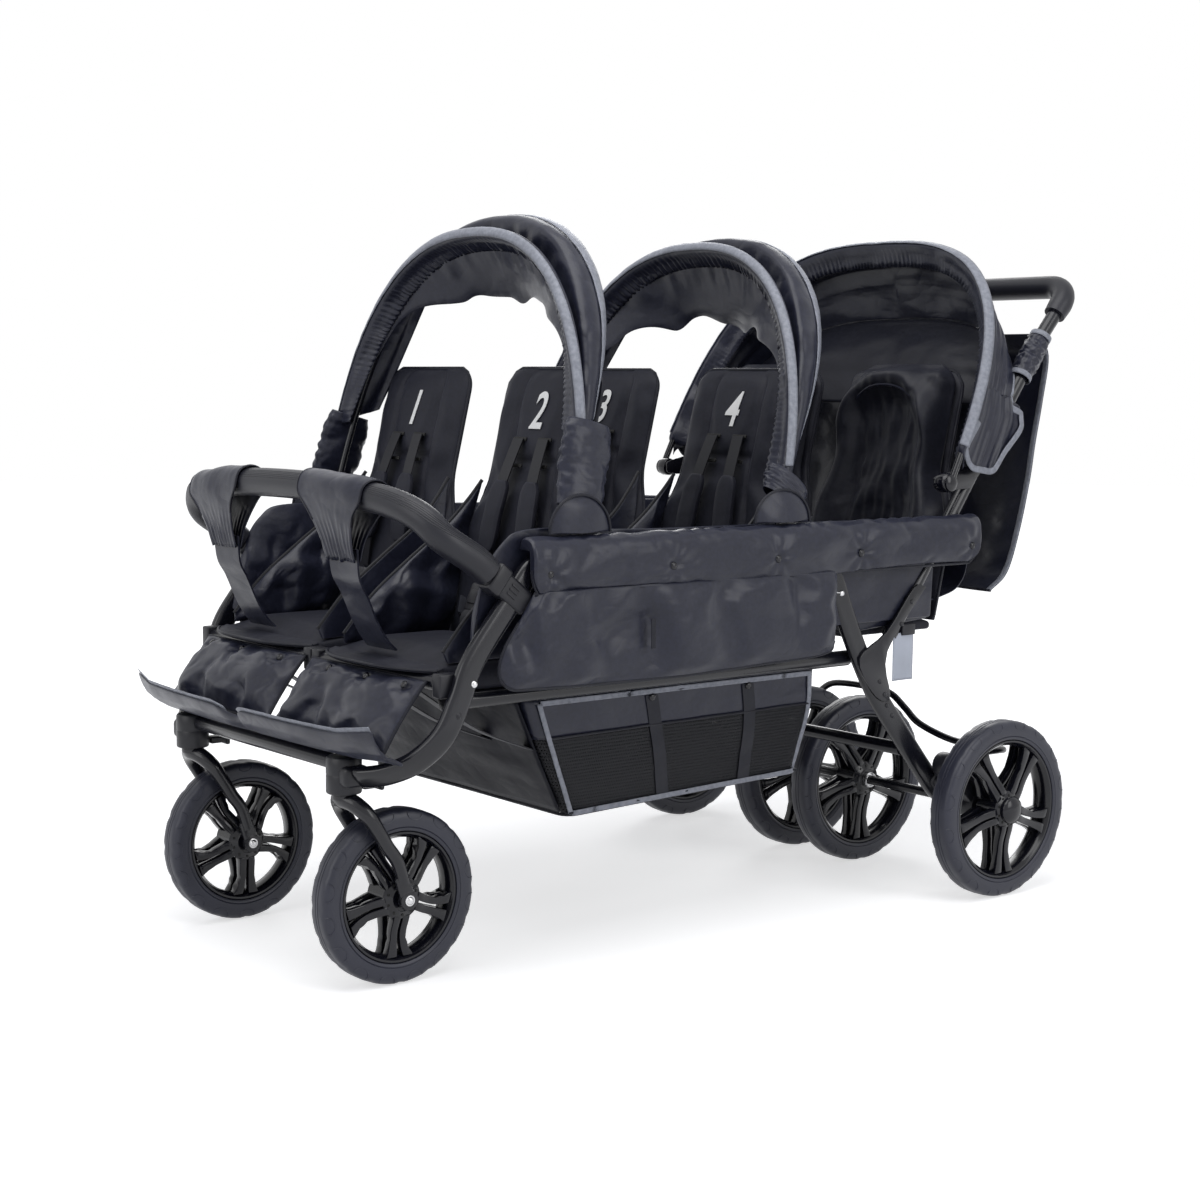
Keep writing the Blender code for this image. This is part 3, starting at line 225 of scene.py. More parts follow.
# %% Sweep a tube
def swept(path, radius, sides=4, radii=None, oval=None):
    """A bmesh tube along a path; oval gives (half width, half depth)."""
    curve = bpy.data.curves.new("sweep", "CURVE")
    curve.dimensions = "3D"
    curve.use_fill_caps = True
    profile = None
    if oval:
        guide = bpy.data.curves.new("section", "CURVE")
        guide.dimensions = "2D"
        ring = guide.splines.new("POLY")
        ring.points.add(23)
        ring.use_cyclic_u = True
        for i in range(24):
            turn = math.tau * (i + 0.5) / 24
            wide = math.copysign(abs(math.cos(turn)) ** 0.6, math.cos(turn))
            deep = math.copysign(abs(math.sin(turn)) ** 0.6, math.sin(turn))
            ring.points[i].co = (oval[0] * wide, oval[1] * deep, 0, 1)
        profile = bpy.data.objects.new("section", guide)
        bpy.context.scene.collection.objects.link(profile)
        curve.bevel_mode = "OBJECT"
        curve.bevel_object = profile
    else:
        curve.bevel_depth = radius
        curve.bevel_resolution = sides
    line = curve.splines.new("POLY")
    line.points.add(len(path) - 1)
    for i, point in enumerate(path):
        line.points[i].co = (*point, 1)
        line.points[i].radius = radii[i] / radius if radii else 1
    holder = bpy.data.objects.new("sweep", curve)
    bpy.context.scene.collection.objects.link(holder)
    bm = applied(holder)
    bpy.data.objects.remove(holder)
    if profile:
        bpy.data.objects.remove(profile)
    bmesh.ops.remove_doubles(bm, verts=bm.verts, dist=1e-6)
    bmesh.ops.recalc_face_normals(bm, faces=bm.faces)
    return bm


def tube(name, path, radius, look, body, **shape):
    return finish(name, swept(path, radius, **shape), look, body)


# %% Lay a form
def form(nu, nv, place, closed=False):
    """A grid laid by place(u, v, face); a closed form has a front (1) and a back (-1)."""
    bm = bmesh.new()
    bm.loops.layers.uv.new("UVMap")
    bmesh.ops.create_grid(bm, x_segments=nu, y_segments=nv, size=1, calc_uvs=True)
    held = bm.verts.layers.float.new("held")
    back = set(bm.verts) if closed else set()
    if closed:
        bmesh.ops.extrude_face_region(bm, geom=bm.faces[:], use_keep_orig=True)
    for vert in bm.verts:
        face = -1 if vert in back else 1
        laid = place((vert.co.x + 1) / 2, (vert.co.y + 1) / 2, face)
        if isinstance(laid, tuple):
            vert[held] = laid[1]
            laid = laid[0]
        vert.co = laid
    bm.normal_update()
    if closed:
        bmesh.ops.recalc_face_normals(bm, faces=bm.faces)
    return bm


def thicken(made, thickness):
    """Gives a laid sheet its thickness."""
    modifier = made.modifiers.new("thickness", "SOLIDIFY")
    modifier.thickness = thickness
    modifier.offset = 0.0
    modifier.use_even_offset = False
    return made


# %% Turn and cut simple solids
def lathe(profile, steps, closed=True):
    """Spins a profile of (x, radius) places about the X axis."""
    bm = bmesh.new()
    verts = [bm.verts.new((x, 0, r)) for x, r in profile]
    edges = [bm.edges.new(pair) for pair in zip(verts, verts[1:])]
    if closed:
        edges.append(bm.edges.new((verts[-1], verts[0])))
    bmesh.ops.spin(
        bm,
        geom=verts + edges,
        cent=(0, 0, 0),
        axis=(1, 0, 0),
        angle=math.tau,
        steps=steps,
        use_merge=True,
    )
    bmesh.ops.remove_doubles(bm, verts=bm.verts, dist=1e-6)
    bmesh.ops.recalc_face_normals(bm, faces=bm.faces)
    return bm


def soft_block(size, bevel, segments=3):
    """A box with rounded edges."""
    bm = bmesh.new()
    bmesh.ops.create_cube(bm, size=1)
    bmesh.ops.transform(bm, matrix=Matrix.Diagonal((*size, 1)), verts=bm.verts)
    bmesh.ops.bevel(
        bm,
        geom=bm.edges[:],
        offset=bevel,
        segments=segments,
        profile=0.5,
        affect="EDGES",
        material=-1,
    )
    return bm


def bar(radius, start, end, segments=32, bevel=0.001):
    """A round bar between two points, with softened rims."""
    bm = bmesh.new()
    axis = end - start
    bmesh.ops.create_cone(
        bm, cap_ends=True, segments=segments, radius1=radius, radius2=radius, depth=axis.length
    )
    rims = [edge for edge in bm.edges if abs(edge.verts[0].co.z - edge.verts[1].co.z) < 1e-6]
    if bevel:
        bmesh.ops.bevel(
            bm, geom=rims, offset=bevel, segments=2, profile=0.5, affect="EDGES", material=-1
        )
    turn = axis.to_track_quat("Z", "Y").to_matrix().to_4x4()
    bm.transform(Matrix.Translation((start + end) / 2) @ turn)
    return bm


def gather(*parts):
    """Several bmeshes as one."""
    whole = bmesh.new()
    holder = bpy.data.meshes.new("gather")
    for part in parts:
        part.to_mesh(holder)
        part.free()
        whole.from_mesh(holder)
    bpy.data.meshes.remove(holder)
    return whole


def moved(bm, matrix):
    bm.transform(matrix)
    if matrix.determinant() < 0:
        bmesh.ops.reverse_faces(bm, faces=bm.faces)
    return bm


def dome(radius, height, place, out, rings=4, segments=16):
    """A low dome, such as a snap or a rivet head, facing out from its place."""
    bm = bmesh.new()
    bmesh.ops.create_uvsphere(bm, u_segments=segments, v_segments=2 * rings, radius=1)
    low = [v for v in bm.verts if v.co.z < -0.35]
    bmesh.ops.delete(bm, geom=low, context="VERTS")
    rim = [edge for edge in bm.edges if edge.is_boundary]
    bmesh.ops.holes_fill(bm, edges=rim, sides=0)
    bm.transform(Matrix.Diagonal((radius, radius, height, 1)))
    turn = Vector(out).to_track_quat("Z", "Y").to_matrix().to_4x4()
    bm.transform(Matrix.Translation(place) @ turn)
    return bm


# %% [markdown]
# ## Filling a pad
# A padded piece is blown up like a filled coat. Its form gets Blender's Cloth
# with a little pressure and no gravity, is held at its seams and snaps, and
# grows slightly so that it wrinkles. No point may move more than a cap, so it
# stays off its neighbours. The result is applied, so nothing simulates later.

# %% Fill a pad
def worn(spot, seed, broad, sharp, size):
    """Height of used cloth at a place: broad swells with a few sharp valleys."""
    p = Vector(spot) / size
    swell = noise.noise(p + Vector((seed, seed * 2.3, 0.7)))
    leaned = Vector((p.x * 0.8, p.y * 0.8 + p.z * 0.3, p.z * 1.2))
    line = noise.noise(leaned + Vector((seed * 3.1, 4.2, seed)))
    along = noise.noise(p * 2.0 + Vector((1.7, seed, 0.3)))
    return broad * swell - sharp * math.exp(-((line / 0.075) ** 2)) * max(0.0, 0.5 + 1.2 * along)


def radiate(across, up, reach):
    """Folds that run out from a snap, as a height from -1 to 1."""
    far = math.hypot(across, up)
    fold = math.cos(7 * math.atan2(up, across) + 1.3)
    return fold * math.exp(-((far / reach) ** 2)) * min(1.0, far / 0.010)


def softened(mesh, moves, held, rounds):
    """Averages each point's move with its neighbours', so folds stay broad."""
    near = [[] for _ in moves]
    for edge in mesh.edges:
        a, b = edge.vertices
        near[a].append(b)
        near[b].append(a)
    for _ in range(rounds):
        fresh = []
        for index, move in enumerate(moves):
            total = move.copy()
            for other in near[index]:
                total += moves[other]
            fresh.append(total / (1 + len(near[index])) * (1 - held[index]))
        moves = fresh
    return moves


FILL_STIFFNESS = 12


def fill(made, pressure=4.0, grow=0.08, cap=0.010, frames=18):
    """Runs the cloth on a piece whose 'held' attribute marks its seams."""
    mesh = made.data
    rest = [v.co.copy() for v in mesh.vertices]
    values = [0.0] * len(rest)
    mesh.attributes["held"].data.foreach_get("value", values)
    group = made.vertex_groups.new(name="seams")
    for index, value in enumerate(values):
        if value > 0:
            group.add([index], value, "REPLACE")
    cloth = made.modifiers.new("filling", "CLOTH")
    settings = cloth.settings
    settings.quality = 4
    settings.mass = 0.2
    settings.air_damping = 2
    settings.tension_stiffness = FILL_STIFFNESS
    settings.compression_stiffness = FILL_STIFFNESS
    settings.shear_stiffness = FILL_STIFFNESS / 2
    settings.bending_stiffness = 4.0
    settings.vertex_group_mass = "seams"
    settings.shrink_min = -grow
    settings.use_pressure = True
    settings.uniform_pressure_force = pressure
    settings.effector_weights.gravity = 0
    cloth.collision_settings.use_collision = False
    cloth.point_cache.frame_start = 1
    cloth.point_cache.frame_end = frames
    scene = bpy.context.scene
    for number in range(1, frames + 1):
        scene.frame_set(number)
    graph = bpy.context.evaluated_depsgraph_get()
    result = made.evaluated_get(graph).to_mesh()
    moves = [blown.co - start for start, blown in zip(rest, result.vertices)]
    made.evaluated_get(graph).to_mesh_clear()
    moves = softened(mesh, moves, values, 6)
    most = max(move.length for move in moves)
    for vert, start, move in zip(mesh.vertices, rest, moves):
        vert.co = start + move * min(1.0, cap / max(move.length, 1e-9))
    made.modifiers.remove(cloth)
    scene.frame_set(1)
    mesh.update()
    print(made.name, "filled, moved up to", round(min(most, cap) * 1000, 1), "mm")
    return made


def seam(u, v, face):
    """True on a closed form's back and along its four edges."""
    return face < 0 or u in (0, 1) or v in (0, 1)


def pad(name, bm, look, body, share, node=None, **filling):
    """A padded piece: filled if its filling is given, smoothed, and its CAD node hidden if one is
    named.
    """
    made = finish(name, bm, look, body, 80)
    if filling:
        fill(made, **filling)
    subdivide(made)
    if node:
        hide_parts(node)
    return made


# %% [markdown]
# ## Shared effects as node groups
# Cloth weave, soft creases and fine grain turn up in several finishes, so
# each is a node group with named inputs. A group gives out only heights and
# masks; the shader itself stays in each material.

# %% Helpers for nodes
def add(tree, kind, inputs=None, **settings):
    """A shader node with its inputs set or linked."""
    node = tree.nodes.new("ShaderNode" + kind)
    for name, value in settings.items():
        setattr(node, name, value)
    for name, value in (inputs or {}).items():
        if isinstance(value, bpy.types.NodeSocket):
            tree.links.new(value, node.inputs[name])
        else:
            node.inputs[name].default_value = value
    return node


def new_group(name, inputs, outputs):
    """An empty node group with float inputs (name, value) and float outputs."""
    tree = bpy.data.node_groups.new(name, "ShaderNodeTree")
    for label, value in inputs:
        socket = tree.interface.new_socket(label, in_out="INPUT", socket_type="NodeSocketFloat")
        socket.default_value = value
    tree.interface.new_socket("Place", in_out="INPUT", socket_type="NodeSocketVector")
    for label in outputs:
        tree.interface.new_socket(label, in_out="OUTPUT", socket_type="NodeSocketFloat")
    return tree, tree.nodes.new("NodeGroupInput"), tree.nodes.new("NodeGroupOutput")


def maths(tree, operation, a, b):
    return add(tree, "Math", {0: a, 1: b}, operation=operation).outputs[0]


# %% Weave: threads that cross, as height and as shade
def build_weave():
    inputs = [("Threads", 1100.0), ("Slub", 0.35)]
    tree, entry, leave = new_group("weave", inputs, ["Height", "Shade"])
    laid = {
        "Vector": entry.outputs["Place"], "Scale": entry.outputs["Threads"], "Distortion": 0.6,
    }
    along = add(tree, "TexWave", laid, bands_direction="DIAGONAL")
    across = add(tree, "TexWave", laid, bands_direction="Z")
    threads = maths(tree, "MULTIPLY", along.outputs[1], across.outputs[1])
    slub = add(tree, "TexNoise", {"Vector": entry.outputs["Place"], "Scale": 160.0, "Detail": 3.0})
    uneven = maths(tree, "MULTIPLY", slub.outputs[0], entry.outputs["Slub"])
    tree.links.new(maths(tree, "ADD", threads, uneven), leave.inputs["Height"])
    tree.links.new(slub.outputs[0], leave.inputs["Shade"])
    return tree


# %% Creases: broad soft folds with a few sharper ones
def build_creases():
    tree, entry, leave = new_group("creases", [("Size", 8.0), ("Fine", 0.10)], ["Height"])
    stretched = add(tree, "Mapping", {
        "Vector": entry.outputs["Place"], "Scale": (1.0, 1.0, 1.7),
    }).outputs[0]
    bend = add(tree, "TexNoise", {"Vector": stretched, "Scale": 4.0, "Detail": 1.0})
    nudge = add(tree, "VectorMath", {0: bend.outputs[1], "Scale": 0.08}, operation="SCALE")
    shift = add(tree, "VectorMath", {0: stretched, 1: nudge.outputs[0]}, operation="ADD")
    plain = {"Vector": shift.outputs[0], "Detail": 1.0, "Roughness": 0.3}
    broad = add(tree, "TexNoise", {**plain, "Scale": entry.outputs["Size"]})
    fine = add(tree, "TexNoise", {**plain, "Scale": 26.0})
    ridge = maths(tree, "ABSOLUTE", maths(tree, "SUBTRACT", fine.outputs[0], 0.5), 0.0)
    small = maths(tree, "MULTIPLY", ridge, entry.outputs["Fine"])
    tree.links.new(maths(tree, "ADD", broad.outputs[0], small), leave.inputs["Height"])
    return tree


# %% Grain: the fine skin of moulded plastic, foam and powder coat
def build_grain():
    inputs = [("Scale", 900.0), ("Patches", 9.0)]
    tree, entry, leave = new_group("grain", inputs, ["Height", "Patch"])
    place = entry.outputs["Place"]
    skin = add(tree, "TexNoise", {"Vector": place, "Scale": entry.outputs["Scale"], "Detail": 4.0})
    patch = add(tree, "TexNoise", {
        "Vector": place, "Scale": entry.outputs["Patches"], "Detail": 5.0,
    })
    tree.links.new(skin.outputs[0], leave.inputs["Height"])
    tree.links.new(patch.outputs[0], leave.inputs["Patch"])
    return tree


WEAVE = build_weave()
CREASES = build_creases()
GRAIN = build_grain()
print("node groups:", WEAVE.name, CREASES.name, GRAIN.name)

# %% [markdown]
# ## Finishes
# Each finish starts from the same few steps: a Principled shader, a colour
# that varies a little, a roughness that varies a little, and a bump. Colours
# were judged against the photograph: the nylon is a blue black with a
# soft sheen, the webbing and seats a plainer black.

# %% Start a finish
def start_look(name, slot, colour, roughness, metallic=0.0, sheen=0.0, coat=0.0, shine=0.5):
    look = bpy.data.materials.new(name)
    look.use_nodes = True
    look["slot"] = slot
    shader = look.node_tree.nodes["Principled BSDF"]
    shader.inputs["Base Color"].default_value = (*colour, 1)
    shader.inputs["Roughness"].default_value = roughness
    shader.inputs["Metallic"].default_value = metallic
    shader.inputs["Specular IOR Level"].default_value = shine
    shader.inputs["Sheen Weight"].default_value = sheen
    shader.inputs["Sheen Roughness"].default_value = 0.45
    shader.inputs["Sheen Tint"].default_value = (0.75, 0.8, 1.0, 1)
    shader.inputs["Coat Weight"].default_value = coat
    shader.inputs["Coat Roughness"].default_value = 0.12
    return look, look.node_tree, shader


def use_group(tree, group, place, **values):
    node = add(tree, "Group", node_tree=group)
    tree.links.new(place, node.inputs["Place"])
    for name, value in values.items():
        node.inputs[name].default_value = value
    return node


def vary(tree, shader, mask, colour, lighter, rough_low, rough_high):
    """Lets a mask move the colour and the roughness between two values."""
    ramp = add(tree, "ValToRGB", {"Fac": mask})
    ramp.color_ramp.elements[0].position = 0.35
    ramp.color_ramp.elements[1].position = 0.65
    ramp.color_ramp.elements[0].color = (*colour, 1)
    ramp.color_ramp.elements[1].color = (*(c * lighter for c in colour), 1)
    tree.links.new(ramp.outputs[0], shader.inputs["Base Color"])
    spread_out = add(tree, "MapRange", {"Value": mask, "To Min": rough_low, "To Max": rough_high})
    tree.links.new(spread_out.outputs[0], shader.inputs["Roughness"])


def raise_bumps(tree, shader, layers):
    """Stacks bumps of (height, strength, distance) onto the shader's normal."""
    normal = None
    for height, strength, distance in layers:
        bump = add(tree, "Bump", {"Height": height, "Strength": strength, "Distance": distance})
        if normal:
            tree.links.new(normal, bump.inputs["Normal"])
        normal = bump.outputs[0]
    tree.links.new(normal, shader.inputs["Normal"])


# %% Cloths
def cloth_look(
    name, slot, colour, roughness, sheen, crease, threads=1100.0, crease_size=9.0, shine=0.25
):
    look, tree, shader = start_look(name, slot, colour, roughness, sheen=sheen, shine=shine)
    place = add(tree, "TexCoord").outputs["Object"]
    weave = use_group(tree, WEAVE, place, Threads=threads)
    creases = use_group(tree, CREASES, place, Size=crease_size)
    vary(tree, shader, weave.outputs["Shade"], colour, 1.35, roughness - 0.06, roughness + 0.08)
    layers = [(creases.outputs["Height"], crease, 0.030), (weave.outputs["Height"], 0.05, 0.0003)]
    raise_bumps(tree, shader, layers)
    return look


NYLON = cloth_look("nylon_cloth", "nylon", (0.0112, 0.0124, 0.0235), 0.34, 0.05, 0.60, shine=0.32)
# A darker copy of the nylon: on bindings, hems, tabs, piping and webbing it is the trim's own
# colour; on the cocoons, the hood's valance and the basket floor it is painted shade.
NYLON_TRIM_AND_SHADE = cloth_look(
    "nylon_trim_and_painted_shade", "nylon", (0.0065, 0.0070, 0.0120), 0.46, 0.03, 0.45, shine=0.22
)
SEAT_CLOTH = cloth_look(
    "seat_weave", "seat_cloth", (0.0100, 0.0105, 0.0165), 0.58, 0.03, 0.25, 700.0, 11.0, shine=0.2
)
WEBBING = cloth_look("webbing", "seat_cloth", (0.0075, 0.0076, 0.0100), 0.50, 0.06, 0.05, 420.0)
# Painted shade: the basket's front, set back under the seats and the footboard, gets a darker copy
# of the nylon with less shine.
BASKET_FRONT_SHADE = cloth_look(
    "basket_front_painted_shade", "nylon", (0.0050, 0.0054, 0.0098), 0.44, 0.0, 0.45, shine=0.13
)
PIPING = cloth_look("reflective_tape", "nylon", (0.205, 0.215, 0.250), 0.42, 0.0, 0.12, 900.0, 20.0)


# %% Moulded and coated finishes
def skin_look(
    name, slot, colour, roughness, grain_scale, bump, metallic=0.0, coat=0.0, lighter=1.3, shine=0.4
):
    look, tree, shader = start_look(name, slot, colour, roughness, metallic, coat=coat, shine=shine)
    place = add(tree, "TexCoord").outputs["Object"]
    grain = use_group(tree, GRAIN, place, Scale=grain_scale)
    vary(tree, shader, grain.outputs["Patch"], colour, lighter, roughness - 0.05, roughness + 0.07)
    raise_bumps(tree, shader, [(grain.outputs["Height"], bump, 0.0004)])
    return look


BLACK_TUBE = skin_look(
    "powder_coat", "black_tube", (0.0055, 0.0058, 0.0095), 0.24, 1400.0, 0.06, coat=0.12, shine=0.36
)
BLACK_PLASTIC = skin_look(
    "moulded_plastic", "black_plastic", (0.0075, 0.0078, 0.0115), 0.38, 1100.0, 0.18, shine=0.35
)
GLOSS_PLASTIC = skin_look(
    "gloss_plastic_black", "gloss_plastic", (0.0042, 0.0044, 0.0080), 0.18, 600.0, 0.03,
    coat=0.08, shine=0.34,
)
TYRE = skin_look("tyre_skin", "tyre_foam", (0.0190, 0.0205, 0.0330), 0.40, 1500.0, 0.12, shine=0.42)
FOAM = skin_look("foam_skin", "grip_foam", (0.0085, 0.0090, 0.0140), 0.40, 1000.0, 0.22, shine=0.36)
STEEL = skin_look(
    "zinc_plate", "steel", (0.52, 0.52, 0.53), 0.26, 700.0, 0.05, metallic=1.0, lighter=1.15
)
WHITE_PRINT = skin_look(
    "white_print", "seat_cloth", (0.80, 0.80, 0.80), 0.55, 700.0, 0.15, lighter=1.05
)
# Painted shade: near-black studs and strips stand in for the shade inside the hub's drillings and
# the harness slots.
HOLE_SHADE = skin_look("painted_hole_shade", "gloss_plastic", (0.002, 0.002, 0.002), 0.7, 700.0, 0.02)
PALE_FILM = skin_look("pale_film", "nylon", (0.42, 0.45, 0.52), 0.38, 500.0, 0.06)


# %% Net: cloth with rows of holes
def net_look():
    colour = (0.0065, 0.0068, 0.0090)
    look, tree, shader = start_look("net", "mesh_cloth", colour, 0.55, sheen=0.03, shine=0.2)
    place = add(tree, "TexCoord").outputs["Object"]
    ribs = add(tree, "TexWave", {"Vector": place, "Scale": 95.0}, bands_direction="Y")
    rungs = add(tree, "TexWave", {"Vector": place, "Scale": 60.0}, bands_direction="Z")
    threads = maths(tree, "MAXIMUM", ribs.outputs[1], rungs.outputs[1])
    solid = add(tree, "MapRange", {
        "Value": threads, "From Min": 0.42, "From Max": 0.52, "To Min": 0.30,
    })
    tree.links.new(solid.outputs[0], shader.inputs["Alpha"])
    raise_bumps(tree, shader, [(threads, 0.4, 0.0006)])
    return look


NET = net_look()
print("finishes:", len([m for m in bpy.data.materials if m.get("slot")]))

# %% [markdown]
# ## Camera, light and floor
# The camera stands where the photograph's did: its place and lens were
# solved from the wheels, axles and rails. The light is a plain studio: a big
# soft lamp above and one at each side. The floor and the world turn white
# only for the camera and for reflections, and the floor keeps the shadow.

# %% Camera
FOCAL_PIXELS = 2078.83
PHOTO_PIXELS = 1200
SENSOR = 36.0
CAMERA_PLACE = Vector((2.679, -2.158, 0.86))
CAMERA_FORWARD = Vector((-0.78165, 0.61446, -0.10705)).normalized()
CAMERA_AZIMUTH = math.radians(51.83)
CAMERA_ROLL = math.radians(0.314)


def set_camera():
    lens = bpy.data.cameras.new("camera")
    lens.sensor_width = SENSOR
    lens.lens = SENSOR * FOCAL_PIXELS / PHOTO_PIXELS
    lens.clip_end = 50
    camera = bpy.data.objects.new("camera", lens)
    bpy.context.scene.collection.objects.link(camera)
    level = Vector((math.cos(CAMERA_AZIMUTH), math.sin(CAMERA_AZIMUTH), 0))
    up = level.cross(CAMERA_FORWARD).normalized()
    right = level * math.cos(CAMERA_ROLL) + up * math.sin(CAMERA_ROLL)
    up = right.cross(CAMERA_FORWARD).normalized()
    turn = Matrix((right, up, -CAMERA_FORWARD)).transposed().to_4x4()
    turn.translation = CAMERA_PLACE
    camera.matrix_world = turn
    bpy.context.scene.camera = camera
    return camera


camera = set_camera()
print("camera lens:", round(camera.data.lens, 2), "mm")


# %% Lamps
def lamp(name, place, aim, size, watts, colour=(1, 1, 1)):
    light = bpy.data.lights.new(name, "AREA")
    light.shape = "RECTANGLE"
    light.size, light.size_y = size
    light.energy = watts
    light.color = colour
    made = bpy.data.objects.new(name, light)
    made.location = place
    made.rotation_euler = (Vector(aim) - Vector(place)).to_track_quat("-Z", "Y").to_euler()
    bpy.context.scene.collection.objects.link(made)
    return made


lamp("key_above", (0.6, -0.8, 3.2), (0, 0, 0.5), (2.6, 2.6), 68)
lamp("side_near", (3.4, 0.9, 1.9), (0, 0, 0.5), (1.6, 2.4), 40)
lamp("front_soft", (0.2, -3.6, 1.8), (0, 0, 0.5), (2.2, 1.8), 26)
lamp("rim_far", (-2.6, 2.4, 2.2), (0, 0, 0.6), (1.6, 2.2), 36)


# %% World and floor that are white to the camera
def camera_or_glossy(tree):
    path = add(tree, "LightPath")
    seen = maths(tree, "MAXIMUM", path.outputs["Is Camera Ray"], path.outputs["Is Glossy Ray"])
    return maths(tree, "MAXIMUM", seen, path.outputs["Is Transmission Ray"])


def set_world():
    world = bpy.data.worlds.new("studio")
    bpy.context.scene.world = world
    world.use_nodes = True
    tree = world.node_tree
    tree.nodes.clear()
    seen = camera_or_glossy(tree)
    light = add(tree, "Background", {"Color": (0.80, 0.84, 0.92, 1), "Strength": 0.22})
    white = add(tree, "Background", {"Color": (1, 1, 1, 1), "Strength": 1.0})
    both = add(tree, "MixShader", {0: seen})
    tree.links.new(light.outputs[0], both.inputs[1])
    tree.links.new(white.outputs[0], both.inputs[2])
    leave = tree.nodes.new("ShaderNodeOutputWorld")
    tree.links.new(both.outputs[0], leave.inputs[0])


# Painted shadow: within the first reach the floor glows only at the lower strength, so it is darker
# round the stroller.
PAINTED_SHADOW_NEAR = (1.1, 0.60)
GLOW_FAR = (3.2, 1.0)


def set_floor():
    """A white floor: its glow is lower near the stroller, a painted shadow round the real one."""
    look = bpy.data.materials.new("studio_floor")
    look.use_nodes = True
    tree = look.node_tree
    tree.nodes.clear()
    seen = camera_or_glossy(tree)
    lit = add(tree, "BsdfDiffuse", {"Color": (0.78, 0.78, 0.79, 1)})
    place = add(tree, "TexCoord").outputs["Object"]
    reach = add(tree, "VectorMath", {0: place}, operation="LENGTH").outputs["Value"]
    far = add(tree, "MapRange", {
        "Value": reach, "From Min": PAINTED_SHADOW_NEAR[0], "From Max": GLOW_FAR[0],
        "To Min": PAINTED_SHADOW_NEAR[1], "To Max": GLOW_FAR[1],
    }, interpolation_type="SMOOTHSTEP")
    glow = add(tree, "Emission", {"Color": (1, 1, 1, 1)})
    strength = maths(tree, "MULTIPLY", seen, far.outputs[0])
    tree.links.new(strength, glow.inputs["Strength"])
    both = add(tree, "AddShader")
    tree.links.new(lit.outputs[0], both.inputs[0])
    tree.links.new(glow.outputs[0], both.inputs[1])
    leave = tree.nodes.new("ShaderNodeOutputMaterial")
    tree.links.new(both.outputs[0], leave.inputs["Surface"])
    bm = bmesh.new()
    bmesh.ops.create_circle(bm, cap_ends=True, segments=96, radius=14)
    floor = finish("studio_floor", bm, look, None)
    floor.location.z = -0.0005


bpy.context.scene.view_settings.view_transform = "Standard"
set_world()
set_floor()
print("stage set")

# %% [markdown]
# ## Wheels
# Each foam tyre has a flat tread, round shoulders with half-round lugs cut
# into them, and a fine groove near the rim. A lathe gives the tyre, and thin
# arcs laid on its shoulders give the lugs' edges. The rims are gloss plastic:
# a barrel with two lips, a drilled hub, and five pairs of curved spokes on
# each face, so that the far layer shows through the near one.

# %% Tyre
REAR_RADIUS, FRONT_RADIUS = 0.1475, 0.126
REAR_AXLE_Y, FRONT_AXLE_Y = 0.012, -1.065
OUTER_X, INNER_X, CASTER_X = 0.405, 0.075, 0.226
TYRE_HALF = 0.0215
TYRE_HEIGHT = 0.031
LUGS = 16
WHEEL_STEPS = 96


def tyre_mesh(radius):
    outer = [
        (-0.0160, 0.0312), (-0.0196, 0.0304), (-0.0212, 0.0275), (-0.0213, 0.0262),
        (-0.0203, 0.0253), (-0.0213, 0.0243), (-0.0215, 0.0180), (-0.0212, 0.0120),
        (-0.0203, 0.0075), (-0.0186, 0.0040), (-0.0160, 0.0016), (-0.0125, 0.0004),
        (-0.0085, 0.0), (-0.0040, 0.0), (-0.0034, 0.0010), (-0.0024, 0.0010), (-0.0018, 0.0),
    ]
    profile = outer + [(-x, drop) for x, drop in reversed(outer)]
    bm = lathe([(x, radius - drop) for x, drop in profile], WHEEL_STEPS)
    notch = WHEEL_STEPS // LUGS
    for vert in bm.verts:
        reach = math.hypot(vert.co.y, vert.co.z)
        turn = math.atan2(vert.co.y, vert.co.z) / math.tau * WHEEL_STEPS
        if reach > radius - 0.010 and round(turn) % notch == 0 and abs(vert.co.x) > 0.006:
            shrink = 1 - 0.0014 / reach
            vert.co.y *= shrink
            vert.co.z *= shrink
    return bm


def lug_arcs(radius):
    """Raised half rings on both shoulders, open towards the tread."""
    bm = bmesh.new()
    for side in (-1, 1):
        out = Vector((side * 0.80, 0, 0.60))
        along = Vector((0, 1, 0))
        down = -out.cross(along) * side
        centre = Vector((side * 0.0185, 0, radius - 0.0050))
        for number in range(LUGS):
            path = []
            for i in range(9):
                turn = math.radians(-10 + 200 * i / 8)
                flat = along * math.cos(turn) * 0.0125 + down * math.sin(turn) * 0.0125
                spot = centre + flat
                spot.x = side * min(abs(spot.x), 0.0209)
                path.append(spot)
            arc = swept(path, 0.0009, sides=1)
            spin = (number + 0.5 * (side > 0)) * math.tau / LUGS
            arc.transform(Matrix.Rotation(spin, 4, "X"))
            bm = gather(bm, arc)
    return bm


# %% Rim
SPOKE_PAIRS = 5
RIM_HALF = 0.018


